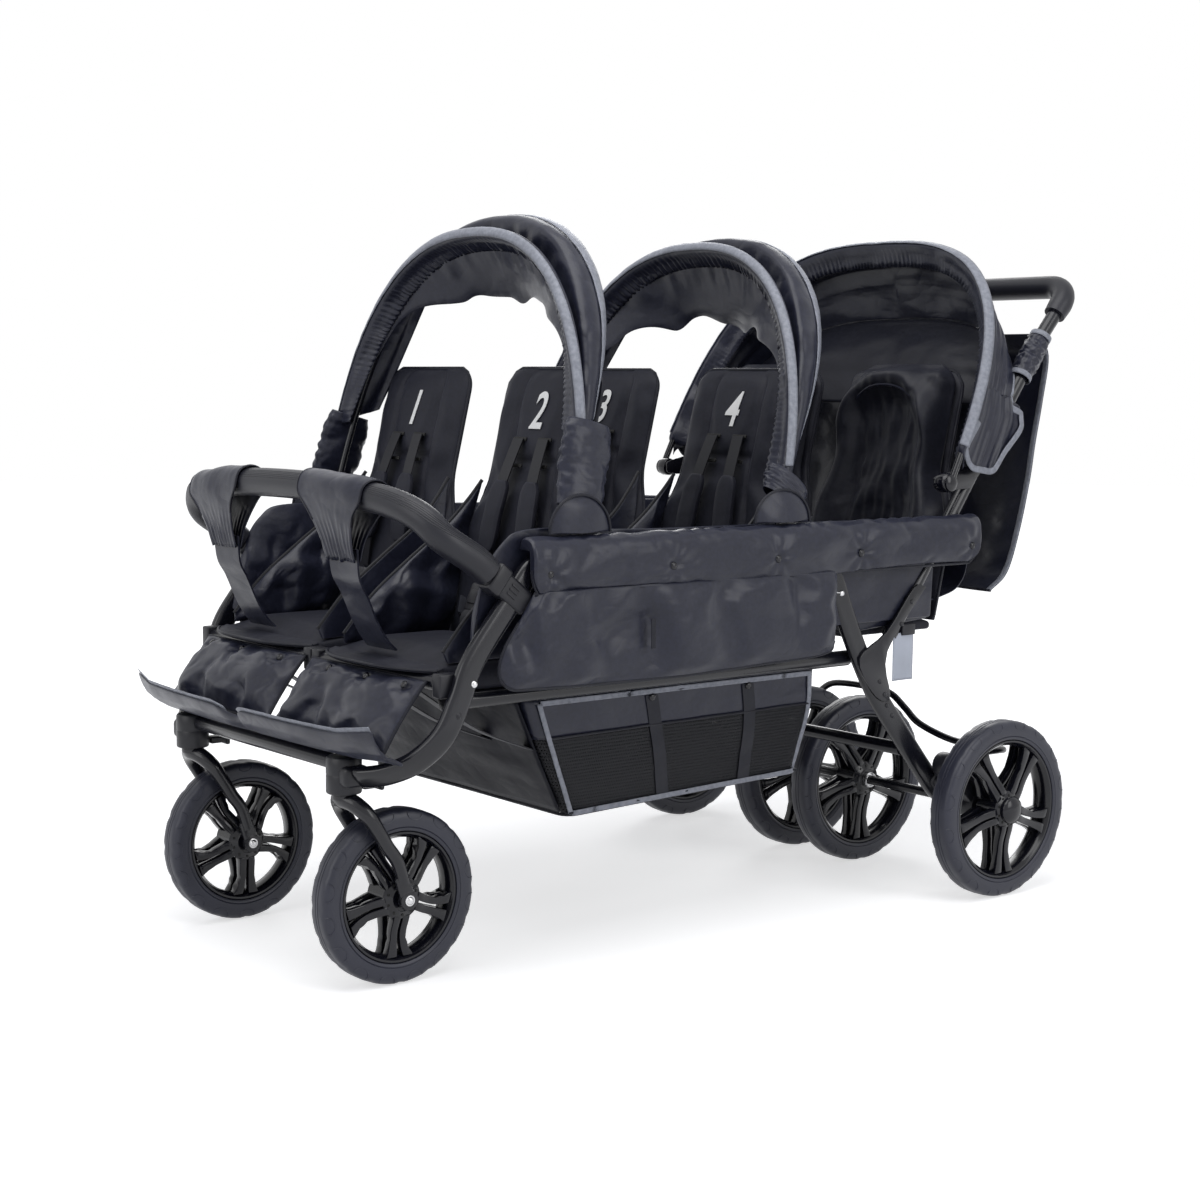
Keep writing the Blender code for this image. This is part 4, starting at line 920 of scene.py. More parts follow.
def spoke_arm(inner, outer, lean, layer):
    """One arm of a pair: it leaves the hub close to its twin and spreads at the rim."""
    steps = 8
    bm = bmesh.new()
    bmesh.ops.create_cube(bm, size=1)
    lengthwise = [e for e in bm.edges if abs(e.verts[0].co.z - e.verts[1].co.z) > 0.5]
    bmesh.ops.subdivide_edges(bm, edges=lengthwise, cuts=steps, use_grid_fill=True)
    for vert in bm.verts:
        share = vert.co.z + 0.5
        reach = inner + (outer - inner) * share
        gap = between([(0, 0.0016), (0.5, 0.0018), (0.8, 0.0030), (1, 0.0052)], share)
        width = between([(0, 0.0118), (0.5, 0.0112), (0.8, 0.0135), (1, 0.0175)], share)
        sway = 0.0030 * math.sin(math.pi * share)
        depth = between([(0, 0.015), (0.6, 0.012), (1, 0.015)], share)
        height = layer * between([(0, 0.0160), (0.45, 0.0115), (1, 0.0095)], share)
        vert.co = Vector((
            height + vert.co.x * depth,
            lean * (gap + width / 2) + sway + vert.co.y * width,
            reach,
        ))
    sharp = [e for e in bm.edges if e.calc_face_angle(0) > 0.9]
    bmesh.ops.bevel(
        bm, geom=sharp, offset=0.0016, segments=2, profile=0.5, affect="EDGES", material=-1
    )
    return bm


def rim_mesh(radius, cap):
    ring = radius - TYRE_HEIGHT - 0.0003
    profile = [
        (-RIM_HALF, ring), (-RIM_HALF - 0.0012, ring - 0.0012), (-RIM_HALF - 0.0008, ring - 0.0042),
        (-0.0155, ring - 0.0062), (-0.0110, ring - 0.0098), (0.0, ring - 0.0106),
    ]
    profile += [(-x, r) for x, r in reversed(profile[:-1])]
    parts = [lathe(profile, WHEEL_STEPS)]
    hub = [
        (-0.0270, 0.0092), (-0.0270, 0.0180), (-0.0245, 0.0200), (-0.0225, 0.0290),
        (-0.0205, 0.0310), (0.0205, 0.0310), (0.0225, 0.0290), (0.0245, 0.0200),
        (0.0270, 0.0180), (0.0270, 0.0092),
    ]
    parts.append(lathe(hub, 64))
    if cap:
        dome_cap = [
            (0.0262, 0.0), (0.0262, 0.0225), (0.0300, 0.0232), (0.0330, 0.0222),
            (0.0362, 0.0180), (0.0385, 0.0115), (0.0396, 0.0050), (0.0399, 0.0),
        ]
        parts.append(lathe(dome_cap, 64, closed=False))
    for pair in range(SPOKE_PAIRS):
        turn = Matrix.Rotation(math.tau * (pair + 0.5) / SPOKE_PAIRS, 4, "X")
        for layer in (-1, 1):
            for lean in (-1, 1):
                parts.append(moved(spoke_arm(0.026, ring - 0.0085, lean, layer), turn))
    return gather(*parts)


def hub_holes():
    """A ring of small studs on each face of the hub, near-black as the painted shade of its
    drillings.
    """
    parts = []
    for side in (-1, 1):
        for number in range(10):
            turn = math.tau * number / 10
            spot = Vector((side * 0.0238, 0.0245 * math.sin(turn), 0.0245 * math.cos(turn)))
            start, end = spot - Vector((side * 0.002, 0, 0)), spot + Vector((side * 0.0004, 0, 0))
            parts.append(bar(0.0020, start, end, 10, 0))
    return gather(*parts)


# %% Place the six wheels
def place_wheels():
    kinds = (
        ("rear_outer", OUTER_X, REAR_AXLE_Y, REAR_RADIUS, True),
        ("rear_inner", INNER_X, REAR_AXLE_Y, REAR_RADIUS, False),
        ("front", CASTER_X, FRONT_AXLE_Y, FRONT_RADIUS, False),
    )
    for kind, x, y, radius, cap in kinds:
        patterns = {
            "tyre": (tyre_mesh(radius), TYRE),
            "lugs": (lug_arcs(radius), TYRE),
            "rim": (rim_mesh(radius, cap), GLOSS_PLASTIC),
            "drillings": (hub_holes(), HOLE_SHADE),
        }
        for side_name, side in SIDES:
            body = f"wheel_{kind}_{side_name}"
            centre = at(side * x, y, radius)
            turn = Matrix.Rotation(0 if side > 0 else math.pi, 4, "Z")
            for part, (pattern, look) in patterns.items():
                bm = pattern.copy()
                bm.transform(Matrix.Translation(centre) @ turn)
                made = finish(f"{part}_look_{kind}_{side_name}", bm, look, body)
                if part in ("tyre", "rim"):
                    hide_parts(f"{part}_{kind}_{side_name}")
        for pattern, _ in patterns.values():
            pattern.free()


place_wheels()
print("wheels placed:", 6)

# %% [markdown]
# ## Rear axle clips and front casters
# Bright spring clips hold the inner wheels on the axle. At the front each
# fork is one glossy tube that splits round the wheel and ends in flat tips
# with a bright bolt. The housing above it has a collar and a cap.

# %% Axle and clips
def axle_and_clips():
    ends = [at(x, REAR_AXLE_Y, REAR_RADIUS) for x in (-0.435, 0.435)]
    axle = finish("axle_rod", bar(0.0080, *ends), BLACK_TUBE, "rear_legs")
    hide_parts("rear_axle")
    parts = []
    for middle in (-INNER_X, INNER_X):
        for edge in (-1, 1):
            x = middle + edge * 0.0305
            spot = at(x, REAR_AXLE_Y, REAR_RADIUS)
            washer = [(-0.0028, 0.0086), (-0.0028, 0.0132), (0.0028, 0.0132), (0.0028, 0.0086)]
            parts.append(moved(lathe(washer, 32), Matrix.Translation(spot)))
            ring = []
            for i in range(19):
                turn = math.radians(20 + 300 * i / 18)
                out = Vector((0.0052 * edge, 0.0118 * math.sin(turn), 0.0118 * math.cos(turn)))
                ring.append(spot + out)
            parts.append(swept(ring, 0.0011, sides=2))
    finish("axle_clips", gather(*parts), STEEL, "rear_legs")


axle_and_clips()


# %% Casters
CASTER_Y = -1.145
CASTER_TRAIL = 0.080
FORK_X = TYRE_HALF + 0.0165


def caster_fork(side_name, side):
    x = side * CASTER_X
    axis = at(x, CASTER_Y, 0)
    crown, drop = 0.2727, FRONT_RADIUS
    half = [
        (0.000, -0.001, crown + 0.001), (0.30 * FORK_X, 0.001, crown),
        (0.62 * FORK_X, 0.006, crown - 0.005), (0.93 * FORK_X, 0.016, crown - 0.018),
        (FORK_X, 0.030, crown - 0.040), (FORK_X, 0.046, crown - 0.066),
        (FORK_X, 0.062, drop + 0.058), (FORK_X, 0.0735, drop + 0.024),
    ]
    sizes = [0.0125, 0.0125, 0.0122, 0.0116, 0.0108, 0.0102, 0.0098, 0.0094]
    points = [axis + Vector(p) for p in half]
    other = [axis + Vector((-p[0], p[1], p[2])) for p in reversed(half[1:])]
    path = smooth_path(other + points, 5)
    radii = []
    stops = list(reversed(sizes[1:])) + sizes
    for low, high in zip(stops, stops[1:]):
        radii += [low + (high - low) * i / 5 for i in range(5)]
    radii.append(stops[-1])
    parts = [swept(path, 0.0125, sides=5, radii=radii)]
    for edge in (-1, 1):
        tip = axis + Vector((edge * FORK_X, 0.0765, drop + 0.012))
        blade = soft_block((0.0095, 0.0235, 0.052), 0.0045)
        lean = Matrix.Rotation(math.radians(17), 4, "X")
        parts.append(moved(blade, Matrix.Translation(tip) @ lean))
        ends = [
            axis + Vector((edge * (FORK_X + reach), CASTER_TRAIL, drop))
            for reach in (-0.0048, 0.0048)
        ]
        parts.append(bar(0.0142, *ends, bevel=0.0015))
    parts.append(bar(0.0175, axis + Vector((0, 0, 0.2745)), axis + Vector((0, 0, 0.2826))))
    fork = finish(f"fork_{side_name}", gather(*parts), BLACK_TUBE, f"caster_{side_name}")
    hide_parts(f"caster_fork_{side_name}")
    bolts = []
    for edge in (-1, 1):
        spot = axis + Vector((edge * (FORK_X + 0.0048), CASTER_TRAIL, drop))
        out = Vector((edge, 0, 0))
        bolts.append(bar(0.0078, spot, spot + out * 0.0012, 24, 0.0003))
        bolts.append(dome(0.0058, 0.0030, spot + out * 0.0012, out))
    ends = [axis + Vector((reach, CASTER_TRAIL, drop)) for reach in (-FORK_X, FORK_X)]
    bolts.append(bar(0.0060, *ends))
    finish(f"fork_bolt_{side_name}", gather(*bolts), STEEL, f"caster_{side_name}")


def caster_housing(side_name, side):
    x = side * CASTER_X
    profile = [
        (0.2832, 0.0125), (0.2832, 0.0236), (0.2850, 0.0250), (0.3085, 0.0250), (0.3100, 0.0243),
        (0.3112, 0.0250), (0.3325, 0.0250), (0.3348, 0.0232), (0.3348, 0.0),
    ]
    bm = lathe(profile, 48, closed=False)
    bmesh.ops.holes_fill(bm, edges=[e for e in bm.edges if e.is_boundary], sides=0)
    upright = Matrix.Rotation(math.radians(-90), 4, "Y")
    bm.transform(Matrix.Translation(at(x, CASTER_Y, 0)) @ upright)
    socket = soft_block((0.034, 0.040, 0.030), 0.008)
    spot = at(x + side * 0.018, CASTER_Y + 0.002, 0.3095)
    bm = gather(bm, moved(socket, Matrix.Translation(spot)))
    made = finish(f"swivel_housing_{side_name}", bm, BLACK_PLASTIC, "chassis")
    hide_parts(f"caster_housing_{side_name}")
    tab = soft_block((0.020, 0.031, 0.011), 0.0028)
    lip = soft_block((0.024, 0.007, 0.016), 0.0028)
    middle = at(x, CASTER_Y + 0.0425, 0.2905)
    tab = gather(
        moved(tab, Matrix.Translation(middle)),
        moved(lip, Matrix.Translation(middle + Vector((0, 0.0135, -0.001)))),
    )
    made = finish(f"swivel_lock_{side_name}", tab, BLACK_PLASTIC, f"lock_{side_name}")
    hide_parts(f"caster_lock_{side_name}")


for side_name, side in SIDES:
    caster_fork(side_name, side)
    caster_housing(side_name, side)
print("casters placed:", 2)

# %% [markdown]
# ## Frame tubes
# The chassis is bent from two kinds of tube: a flat oval for the rails and
# legs and a round one for the push frame and the cross members. The CAD
# holds them with few faces, so each is swept again along the same path with
# many more, and replaces its node.

# %% Oval rails and legs
RAIL_X = 0.352
RAIL_HEIGHT = 0.600
LEG_X = 0.330
RAIL_OVAL = (0.009, 0.0175)
TUBE_RADIUS = 0.0125
CROSS_RADIUS = 0.011
KNEE = at(RAIL_X, -0.911, RAIL_HEIGHT)
CLAMP_DROP = 0.0557
LOWER_RAIL_X = 0.3082


def side_rail(side_name, side):
    """The upper rail, its bend and the front leg that sweeps in to the caster."""
    leg = [KNEE + LEG_DIRECTION * reach for reach in (CLAMP_DROP, 0.165)]
    sweep = [
        at(RAIL_X, -1.037, 0.420), at(RAIL_X - 0.002, -1.062, 0.372),
        at(RAIL_X - 0.024, -1.092, 0.336), at(RAIL_X - 0.056, -1.117, 0.317),
        at(0.2665, -1.137, 0.310), at(0.2525, -1.138, 0.3095),
    ]
    path = rounded_path([at(RAIL_X, -0.028, RAIL_HEIGHT), KNEE, leg[0]], 0.050, 10)
    path += smooth_path([leg[0], leg[1]] + sweep, 6)[1:]
    path = [Vector((side * p.x, p.y, p.z)) for p in path]
    made = tube(f"side_rail_{side_name}", path, 1, BLACK_TUBE, "chassis", oval=RAIL_OVAL)
    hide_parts(f"side_frame_{side_name}")
    out = Vector((side, 0, 0))
    bright = at(side * 0.361, -1.0185, 0.4400)
    dark = at(side * 0.361, -1.0445, 0.3985)
    finish(f"leg_rivet_{side_name}", dome(0.0052, 0.0030, bright, out), STEEL, "chassis")
    finish(f"leg_screw_{side_name}", dome(0.0048, 0.0024, dark, out), BLACK_PLASTIC, "chassis")
    ends = [at(side * LOWER_RAIL_X, y, 0.410) for y in (-1.035, -0.252)]
    rail = finish(f"lower_tube_{side_name}", bar(TUBE_RADIUS, *ends), BLACK_TUBE, "chassis")
    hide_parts(f"lower_rail_{side_name}")


def rear_leg(side_name, side):
    points = [
        at(side * LEG_X, y, z)
        for y, z in (
            (-0.323, 0.600), (-0.305, 0.545), (-0.270, 0.463), (-0.214, 0.362),
            (-0.155, 0.287), (-0.091, 0.211), (-0.056, 0.174), (-0.006, 0.152),
        )
    ]
    leg = swept(smooth_path(points, 6), 1, oval=RAIL_OVAL)
    low = at(side * LEG_X, REAR_AXLE_Y, REAR_RADIUS)
    out = Vector((side, 0, 0))
    boss = bar(0.0210, low - out * 0.010, low + out * 0.0150, 48, 0.0015)
    made = finish(f"rear_leg_tube_{side_name}", gather(leg, boss), BLACK_TUBE, "rear_legs")
    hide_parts(f"rear_leg_{side_name}")
    elbow = soft_block((0.026, 0.040, 0.072), 0.006)
    turn = Matrix.Rotation(math.radians(38), 4, "X")
    spot = at(side * (LEG_X + 0.002), -0.046, 0.176)
    bracket = moved(elbow, Matrix.Translation(spot) @ turn)
    finish(f"leg_elbow_{side_name}", bracket, BLACK_PLASTIC, "rear_legs")
    rivets = [
        dome(0.0040, 0.0022, at(side * (LEG_X + 0.009), y, z), out)
        for y, z in ((-0.189, 0.330), (-0.176, 0.312))
    ]
    finish(f"leg_rivets_{side_name}", gather(*rivets), BLACK_PLASTIC, "rear_legs")
    head = at(side * (LEG_X + 0.0095), -0.296, 0.520)
    bolt = gather(
        dome(0.0050, 0.0026, head, out),
        bar(0.0012, head + Vector((0, -0.004, 0.001)), head + Vector((0, -0.020, 0.003)), 12, 0),
    )
    finish(f"leg_pin_{side_name}", bolt, STEEL, "rear_legs")


BRAKE_FACE = 0.3765
BRAKE_LOBE = (-0.065, 0.220)


def brake_hub(side_name, side):
    """The drum round the axle with a lobe that takes the brake bar."""
    low, high = (side * value for value in (0.3455, BRAKE_FACE))
    ends = [at(x, REAR_AXLE_Y, REAR_RADIUS) for x in (low, high)]
    drum = bar(0.0320, *ends, 64, 0.003)
    lobe = bar(0.0220, at(low, *BRAKE_LOBE), at(high, *BRAKE_LOBE), 48, 0.003)
    rise, run = BRAKE_LOBE[1] - REAR_RADIUS, BRAKE_LOBE[0] - REAR_AXLE_Y
    neck = soft_block((0.0290, 0.0330, math.hypot(rise, run)), 0.004)
    turn = Matrix.Rotation(math.atan2(-run, rise), 4, "X")
    middle = at((low + high) / 2, REAR_AXLE_Y + run / 2, REAR_RADIUS + rise / 2)
    ends = [at(side * x, REAR_AXLE_Y, REAR_RADIUS) for x in (BRAKE_FACE, BRAKE_FACE + 0.0007)]
    rib = bar(0.0245, *ends, 48, 0)
    bm = gather(drum, lobe, moved(neck, Matrix.Translation(middle) @ turn), rib)
    made = finish(f"brake_hub_{side_name}", bm, BLACK_PLASTIC, "rear_legs")
    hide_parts(f"brake_housing_{side_name}")


for side_name, side in SIDES:
    side_rail(side_name, side)
    rear_leg(side_name, side)
    brake_hub(side_name, side)
print("rails and legs:", 6)

# %% [markdown]
# ## Cross members and the brake bar
# Plain round tubes join the two sides. The brake bar is one thin glossy tube
# that arches over the inner wheels, so that a foot can press it anywhere.

# %% Cross members
def cross_tube(name, node, reach, y, z, body):
    ends = [at(-reach, y, z), at(reach, y, z)]
    made = finish(name, bar(CROSS_RADIUS, *ends), BLACK_TUBE, body)
    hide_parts(node)


cross_tube("front_tube", "front_crossbar", 0.2007, -1.145, 0.323, "chassis")
cross_tube("seat_front_tube", "seat_cross_tube", 0.3439, -1.052, 0.440, "chassis")
cross_tube("rear_tube", "rear_cross_tube", 0.3207, -0.133, 0.250, "rear_legs")

# %% Square connectors that carry the seat tube's ends
connectors = [
    moved(soft_block((0.020, 0.030, 0.034), 0.003), Matrix.Translation(at(x, -1.050, 0.438)))
    for x in (-0.335, -0.012, 0.012, 0.335)
]
finish("seat_connectors", gather(*connectors), BLACK_PLASTIC, "chassis")

# %% Brake bar
def brake_bar():
    away = Vector((0, 0.159, 0.042)).normalized()
    start = at(0.361, *BRAKE_LOBE) + away * 0.0229
    half = [
        start, start + away * 0.030, at(0.361, 0.060, 0.233), at(0.345, 0.088, 0.229),
        at(0.300, 0.094, 0.227), at(0.225, 0.094, 0.228), at(0.149, 0.094, 0.246),
        at(0.112, 0.094, 0.270), at(0.078, 0.094, 0.291), at(0.035, 0.094, 0.297),
    ]
    path = smooth_path(half + [mirrored(p) for p in reversed(half)], 6)
    made = tube("brake_tube", path, 0.0062, GLOSS_PLASTIC, "brake")
    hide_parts("brake_bar")


brake_bar()

# %% [markdown]
# ## Push frame and grip
# One round tube runs up from the gusset plates, bends over at the top and
# comes down again. Foam covers the top bar and both bends.

# %% Push frame
PUSH_FOOT = (-0.178, 0.442)
PUSH_SLOPE = 0.7257
HANDLE_Y, HANDLE_Z = 0.255, 1.018
GUSSET_FACE = 0.3438


def push_line(z):
    return PUSH_FOOT[0] + (z - PUSH_FOOT[1]) * PUSH_SLOPE


def push_path(steps):
    knee = at(LEG_X, push_line(0.925), 0.925)
    handle = [at(side * LEG_X, HANDLE_Y, HANDLE_Z) for side in (1, -1)]
    bends = rounded_path([knee] + handle + [mirrored(knee)], 0.045, steps)
    foot = at(LEG_X, *PUSH_FOOT)
    return [foot] + bends + [mirrored(foot)]


def flat_plate(outline, x_low, x_high, bevel):
    """A plate across X with a closed outline of (y, z) places."""
    bm = bmesh.new()
    face = bm.faces.new([bm.verts.new(at(x_low, y, z)) for y, z in outline])
    pushed = bmesh.ops.extrude_face_region(bm, geom=[face], use_keep_orig=True)
    verts = [item for item in pushed["geom"] if isinstance(item, bmesh.types.BMVert)]
    bmesh.ops.translate(bm, verts=verts, vec=(x_high - x_low, 0, 0))
    bmesh.ops.recalc_face_normals(bm, faces=bm.faces)
    rims = [e for e in bm.edges if abs(e.verts[0].co.x - e.verts[1].co.x) < 1e-6]
    bmesh.ops.bevel(
        bm, geom=rims, offset=bevel, segments=2, profile=0.5, affect="EDGES", material=-1
    )
    return bm


def rounded_outline(points, steps=4):
    return [(p.y, p.z) for p in profile_path(points + points[:1], steps)[:-1]]


def push_frame():
    parts = [swept(push_path(10), TUBE_RADIUS, sides=7)]
    gusset = rounded_outline([
        (push_line(0.520) + 0.015, 0.520), (push_line(0.520) - 0.014, 0.520), (-0.196, 0.452),
        (-0.258, 0.412), (-0.226, 0.356), (-0.197, 0.337), (-0.186, 0.350), (-0.194, 0.420),
    ])
    bracket = rounded_outline([
        (push_line(0.678), 0.678), (push_line(0.716), 0.716), (-0.079, 0.703),
        (-0.091, 0.690), (-0.079, 0.677),
    ])
    for side in (1, -1):
        for outline in (gusset, bracket):
            parts.append(flat_plate(outline, side * 0.3393, side * GUSSET_FACE, 0.0009))
    made = finish("push_tube", gather(*parts), BLACK_TUBE, "push")
    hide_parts("push_frame")
    rivets = []
    for side in (1, -1):
        out = Vector((side, 0, 0))
        for y, z in ((-0.211, 0.372), (-0.199, 0.349), (-0.140, 0.497), (-0.163, 0.462)):
            rivets.append(dome(0.0042, 0.0022, at(side * GUSSET_FACE, y, z), out))
    finish("gusset_rivets", gather(*rivets), BLACK_PLASTIC, "push")
    bends = push_path(10)[2:-2]
    down = (push_path(10)[1] - bends[0]).normalized()
    start = bends[0] + down * 0.0205
    grip = [start] + bends + [mirrored(start)]
    radii = [0.0185] + [0.0200] * len(bends) + [0.0185]
    soft = tube("grip_foam", grip, 0.020, FOAM, "push", sides=9, radii=radii)
    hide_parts("handle_grip")


push_frame()
print("push frame done")

# %% [markdown]
# ## Bumper bar and its clamps
# The front bar is padded with foam that has fine lengthwise ribs on its
# outer side. It plugs into two squeeze clamps on the front legs.

# %% Bumper bar
def bumper():
    knee = KNEE + LEG_DIRECTION * CLAMP_DROP
    mouth = knee + BUMPER_DIRECTION * 0.057
    half = [
        mouth + BUMPER_DIRECTION * 0.030, at(0.346, -1.058, 0.640), at(0.322, -1.078, 0.668),
        at(0.270, -1.089, 0.685), at(0.180, -1.094, 0.695), at(0.070, -1.096, 0.700),
    ]
    half.insert(0, mouth)
    path = smooth_path(half + [mirrored(p) for p in reversed(half)], 8)
    bar_look = tube("bumper_foam", path, 0.0213, FOAM, "bumper", sides=10)
    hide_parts("bumper_bar")
    plug = knee + BUMPER_DIRECTION * 0.0225
    spigots = [bar(0.0100, plug, mouth), bar(0.0100, mirrored(plug), mirrored(mouth))]
    finish("bumper_spigots", gather(*spigots), BLACK_TUBE, "bumper")
    ribs = []
    for turn in (-16, -8, 0, 8, 16):
        line = []
        for before, here, after in zip(path, path[1:], path[2:]):
            along = (after - before).normalized()
            out = Vector((0, 0, 1)).cross(along).normalized()
            if out.dot(here - at(0, -0.80, here.z)) < 0:
                out = -out
            lift = along.cross(out)
            lift = lift if lift.z > 0 else -lift
            a = math.radians(42 + turn)
            line.append(here + (out * math.cos(a) + lift * math.sin(a)) * 0.0211)
        ribs.append(swept(line, 0.0007, sides=1))
    finish("bumper_ribs", gather(*ribs), FOAM, "bumper")


def clamp(side_name, side):
    knee = KNEE + LEG_DIRECTION * CLAMP_DROP
    knee.x *= side
    turn = Matrix.Rotation(math.atan2(-BUMPER_DIRECTION.z, -BUMPER_DIRECTION.y), 4, "X")
    blocks = [((0.0244, 0.0770, 0.0360), 0.0050, knee + BUMPER_DIRECTION * 0.0165)]
    blocks.append(((0.0300, 0.0250, 0.0430), 0.0050, knee + BUMPER_DIRECTION * 0.040))
    for offset in (-0.007, 0.0, 0.007):
        spot = knee + BUMPER_DIRECTION * 0.012 + LEG_DIRECTION * offset
        blocks.append(((0.0022, 0.0160, 0.0036), 0.0009, spot + Vector((side * 0.0126, 0, 0))))
    parts = [
        moved(soft_block(size, bevel), Matrix.Translation(spot) @ turn)
        for size, bevel, spot in blocks
    ]
    made = finish(f"bumper_socket_{side_name}", gather(*parts), BLACK_PLASTIC, "chassis")
    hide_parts(f"bumper_clamp_{side_name}")


bumper()
for side_name, side in SIDES:
    clamp(side_name, side)
print("bumper bar done")

# %% [markdown]
# ## Side rolls and hanging panels
# Along each upper rail runs a quilted roll, closed by five snaps, and under
# it hangs a padded panel with a bound edge. Both are closed forms held at
# their seams and snaps and then filled, which gives the puckers that run from
# each snap.

# %% Side roll
ROLL_FRONT, ROLL_REAR = -0.930, -0.012
SNAP_HEIGHT = 0.586
SNAP = (0.0060, 0.0034)
ROLL_SNAPS = (-0.900, -0.676, -0.468, -0.290, -0.033)
ROLL_OUTER = [
    (0.3440, 0.6190), (0.3450, 0.6330), (0.3520, 0.6368), (0.3620, 0.6366), (0.3715, 0.6320),
    (0.3775, 0.6220), (0.3792, 0.6080), (0.3792, 0.5930), (0.3782, 0.5790), (0.3762, 0.5665),
    (0.3722, 0.5580), (0.3668, 0.5572),
]
ROLL_INNER = [
    (0.3440, 0.6188), (0.3470, 0.6188), (0.3500, 0.6188), (0.3560, 0.6188), (0.3620, 0.6187),
    (0.3648, 0.6160), (0.3650, 0.6050), (0.3650, 0.5930), (0.3650, 0.5790), (0.3650, 0.5665),
    (0.3650, 0.5600), (0.3664, 0.5571),
]


def along_section(section, v):
    place = v * (len(section) - 1)
    index = min(int(place), len(section) - 2)
    a, b = section[index], section[index + 1]
    t = place - index
    return a[0] + (b[0] - a[0]) * t, a[1] + (b[1] - a[1]) * t


def roll_end(y, z):
    """Rounds the lower corners of the roll's two ends."""
    low = max(0.0, 0.590 - z) / 0.033
    cut = 0.016 * low * low
    return min(max(y, ROLL_FRONT + cut), ROLL_REAR - 1.8 * cut)


def side_roll(side_name, side):
    def place(u, v, face):
        x, z = along_section(ROLL_OUTER if face > 0 else ROLL_INNER, v)
        y = roll_end(ROLL_FRONT + (ROLL_REAR - ROLL_FRONT) * u, z)
        droop = 0.0035 * math.sin(9.0 * u) * max(0.0, 0.60 - z) / 0.04
        near = min(abs(y - snap) for snap in ROLL_SNAPS)
        dimple = 0.0045 * math.exp(-((near / 0.010) ** 2) - ((z - SNAP_HEIGHT) / 0.010) ** 2)
        if face > 0:
            snap = min(ROLL_SNAPS, key=lambda value: abs(y - value))
            shade = min(1.0, 6 * v) * min(1.0, 40 * u, 40 * (1 - u))
            x += 0.0030 * radiate(y - snap, z - SNAP_HEIGHT, 0.034) * shade - dimple
            x += worn((x, y, z), side * 2.0, 0.0026, 0.0022, 0.060) * shade
            z += 0.0016 * math.sin(150 * y + 3 * math.sin(31 * y)) * max(0.0, z - 0.615) / 0.03
        held = seam(u, v, face) or v > 0.93 or (near < 0.006 and abs(z - SNAP_HEIGHT) < 0.008)
        return at(side * x, y, z + droop * (v > 0.8)), float(held)

    bm = form(150, 30, place, closed=True)
    pad(f"side_roll_{side_name}", bm, NYLON, "chassis", 0.5, f"side_panel_{side_name}",
        pressure=5.0, grow=0.10, cap=0.006)
    caps = []
    for y in ROLL_SNAPS:
        spot = at(side * 0.3752, y, SNAP_HEIGHT)
        caps.append(dome(0.0062, 0.0034, spot, Vector((side, 0, 0))))
    finish(f"roll_snaps_{side_name}", gather(*caps), GLOSS_PLASTIC, "chassis")
    edge = [at(side * 0.3700, roll_end(y, 0.558), 0.5578) for y in spread(-0.914, -0.046, 60)]
    corners = (
        (ROLL_FRONT, 1, ((0.001, 0.592), (0.004, 0.574), (0.010, 0.561))),
        (ROLL_REAR, -1, ((0.022, 0.560), (0.008, 0.573), (0.001, 0.592))),
    )
    front, rear = (
        [at(side * 0.3715, end + way * cut, z) for cut, z in cuts] for end, way, cuts in corners
    )
    bound = smooth_path(front + edge[::6] + rear, 4)
    tube(f"roll_binding_{side_name}", bound, 0.0021, NYLON_TRIM_AND_SHADE, "chassis", sides=2)


# %% Hanging panel
PANEL_LOW = [
    Vector(p + (0,))
    for p in (
        (-0.948, 0.520), (-0.972, 0.486), (-0.982, 0.452), (-0.964, 0.430), (-0.925, 0.4255),
        (-0.800, 0.4225), (-0.640, 0.4215), (-0.500, 0.4250), (-0.360, 0.4310), (-0.338, 0.450),
    )
]


def panel_foot(u):
    return on_path(smooth_path(PANEL_LOW, 8), u)


def side_skirt(side_name, side):
    def place(u, v, face):
        foot = panel_foot(u)
        top_y = -0.921 + 0.586 * u
        y = top_y + (foot.x - top_y) * v
        z = 0.562 + (foot.y - 0.562) * v
        rim = min(u, 1 - u, (1 - v) * 0.30) * 30
        edge = min(1.0, rim)
        ripple = 0.0022 * math.sin(21 * u + 2.5 * v) * math.sin(math.pi * v)
        stitch = 0.004 * math.exp(-(((y + 0.716) / 0.005) ** 2)) * (0.35 < v < 0.75)
        folds = worn((0, y, z), side * 5.0, 0.0045, 0.0034, 0.110) * edge
        x = 0.3650 + (0.0030 + 0.0065 * edge + 0.3 * ripple + folds - stitch if face > 0 else 0)
        return at(side * x, y, z), float(seam(u, v, face))

    bm = form(96, 26, place, closed=True)
    pad(f"side_skirt_{side_name}", bm, NYLON, "chassis", 0.35, f"side_panel_{side_name}",
        pressure=4.0, grow=0.09, cap=0.007)
    edge = []
    for u in spread(0, 1, 60):
        foot = panel_foot(u)
        edge.append(at(side * 0.3668, foot.x, foot.y))
    tube(f"skirt_binding_{side_name}", edge, 0.0022, NYLON_TRIM_AND_SHADE, "chassis", sides=2)
    tabs = []
    for y, low, high in ((-0.716, 0.468, 0.512), (-0.381, 0.500, 0.545)):
        stitched = soft_block((0.0014, 0.0085, high - low), 0.0006)
        spot = at(side * 0.3790, y, (low + high) / 2)
        tabs.append(moved(stitched, Matrix.Translation(spot)))
    finish(f"skirt_tabs_{side_name}", gather(*tabs), NYLON_TRIM_AND_SHADE, "chassis")


for side_name, side in SIDES:
    side_roll(side_name, side)
    side_skirt(side_name, side)
print("side rolls and panels done")

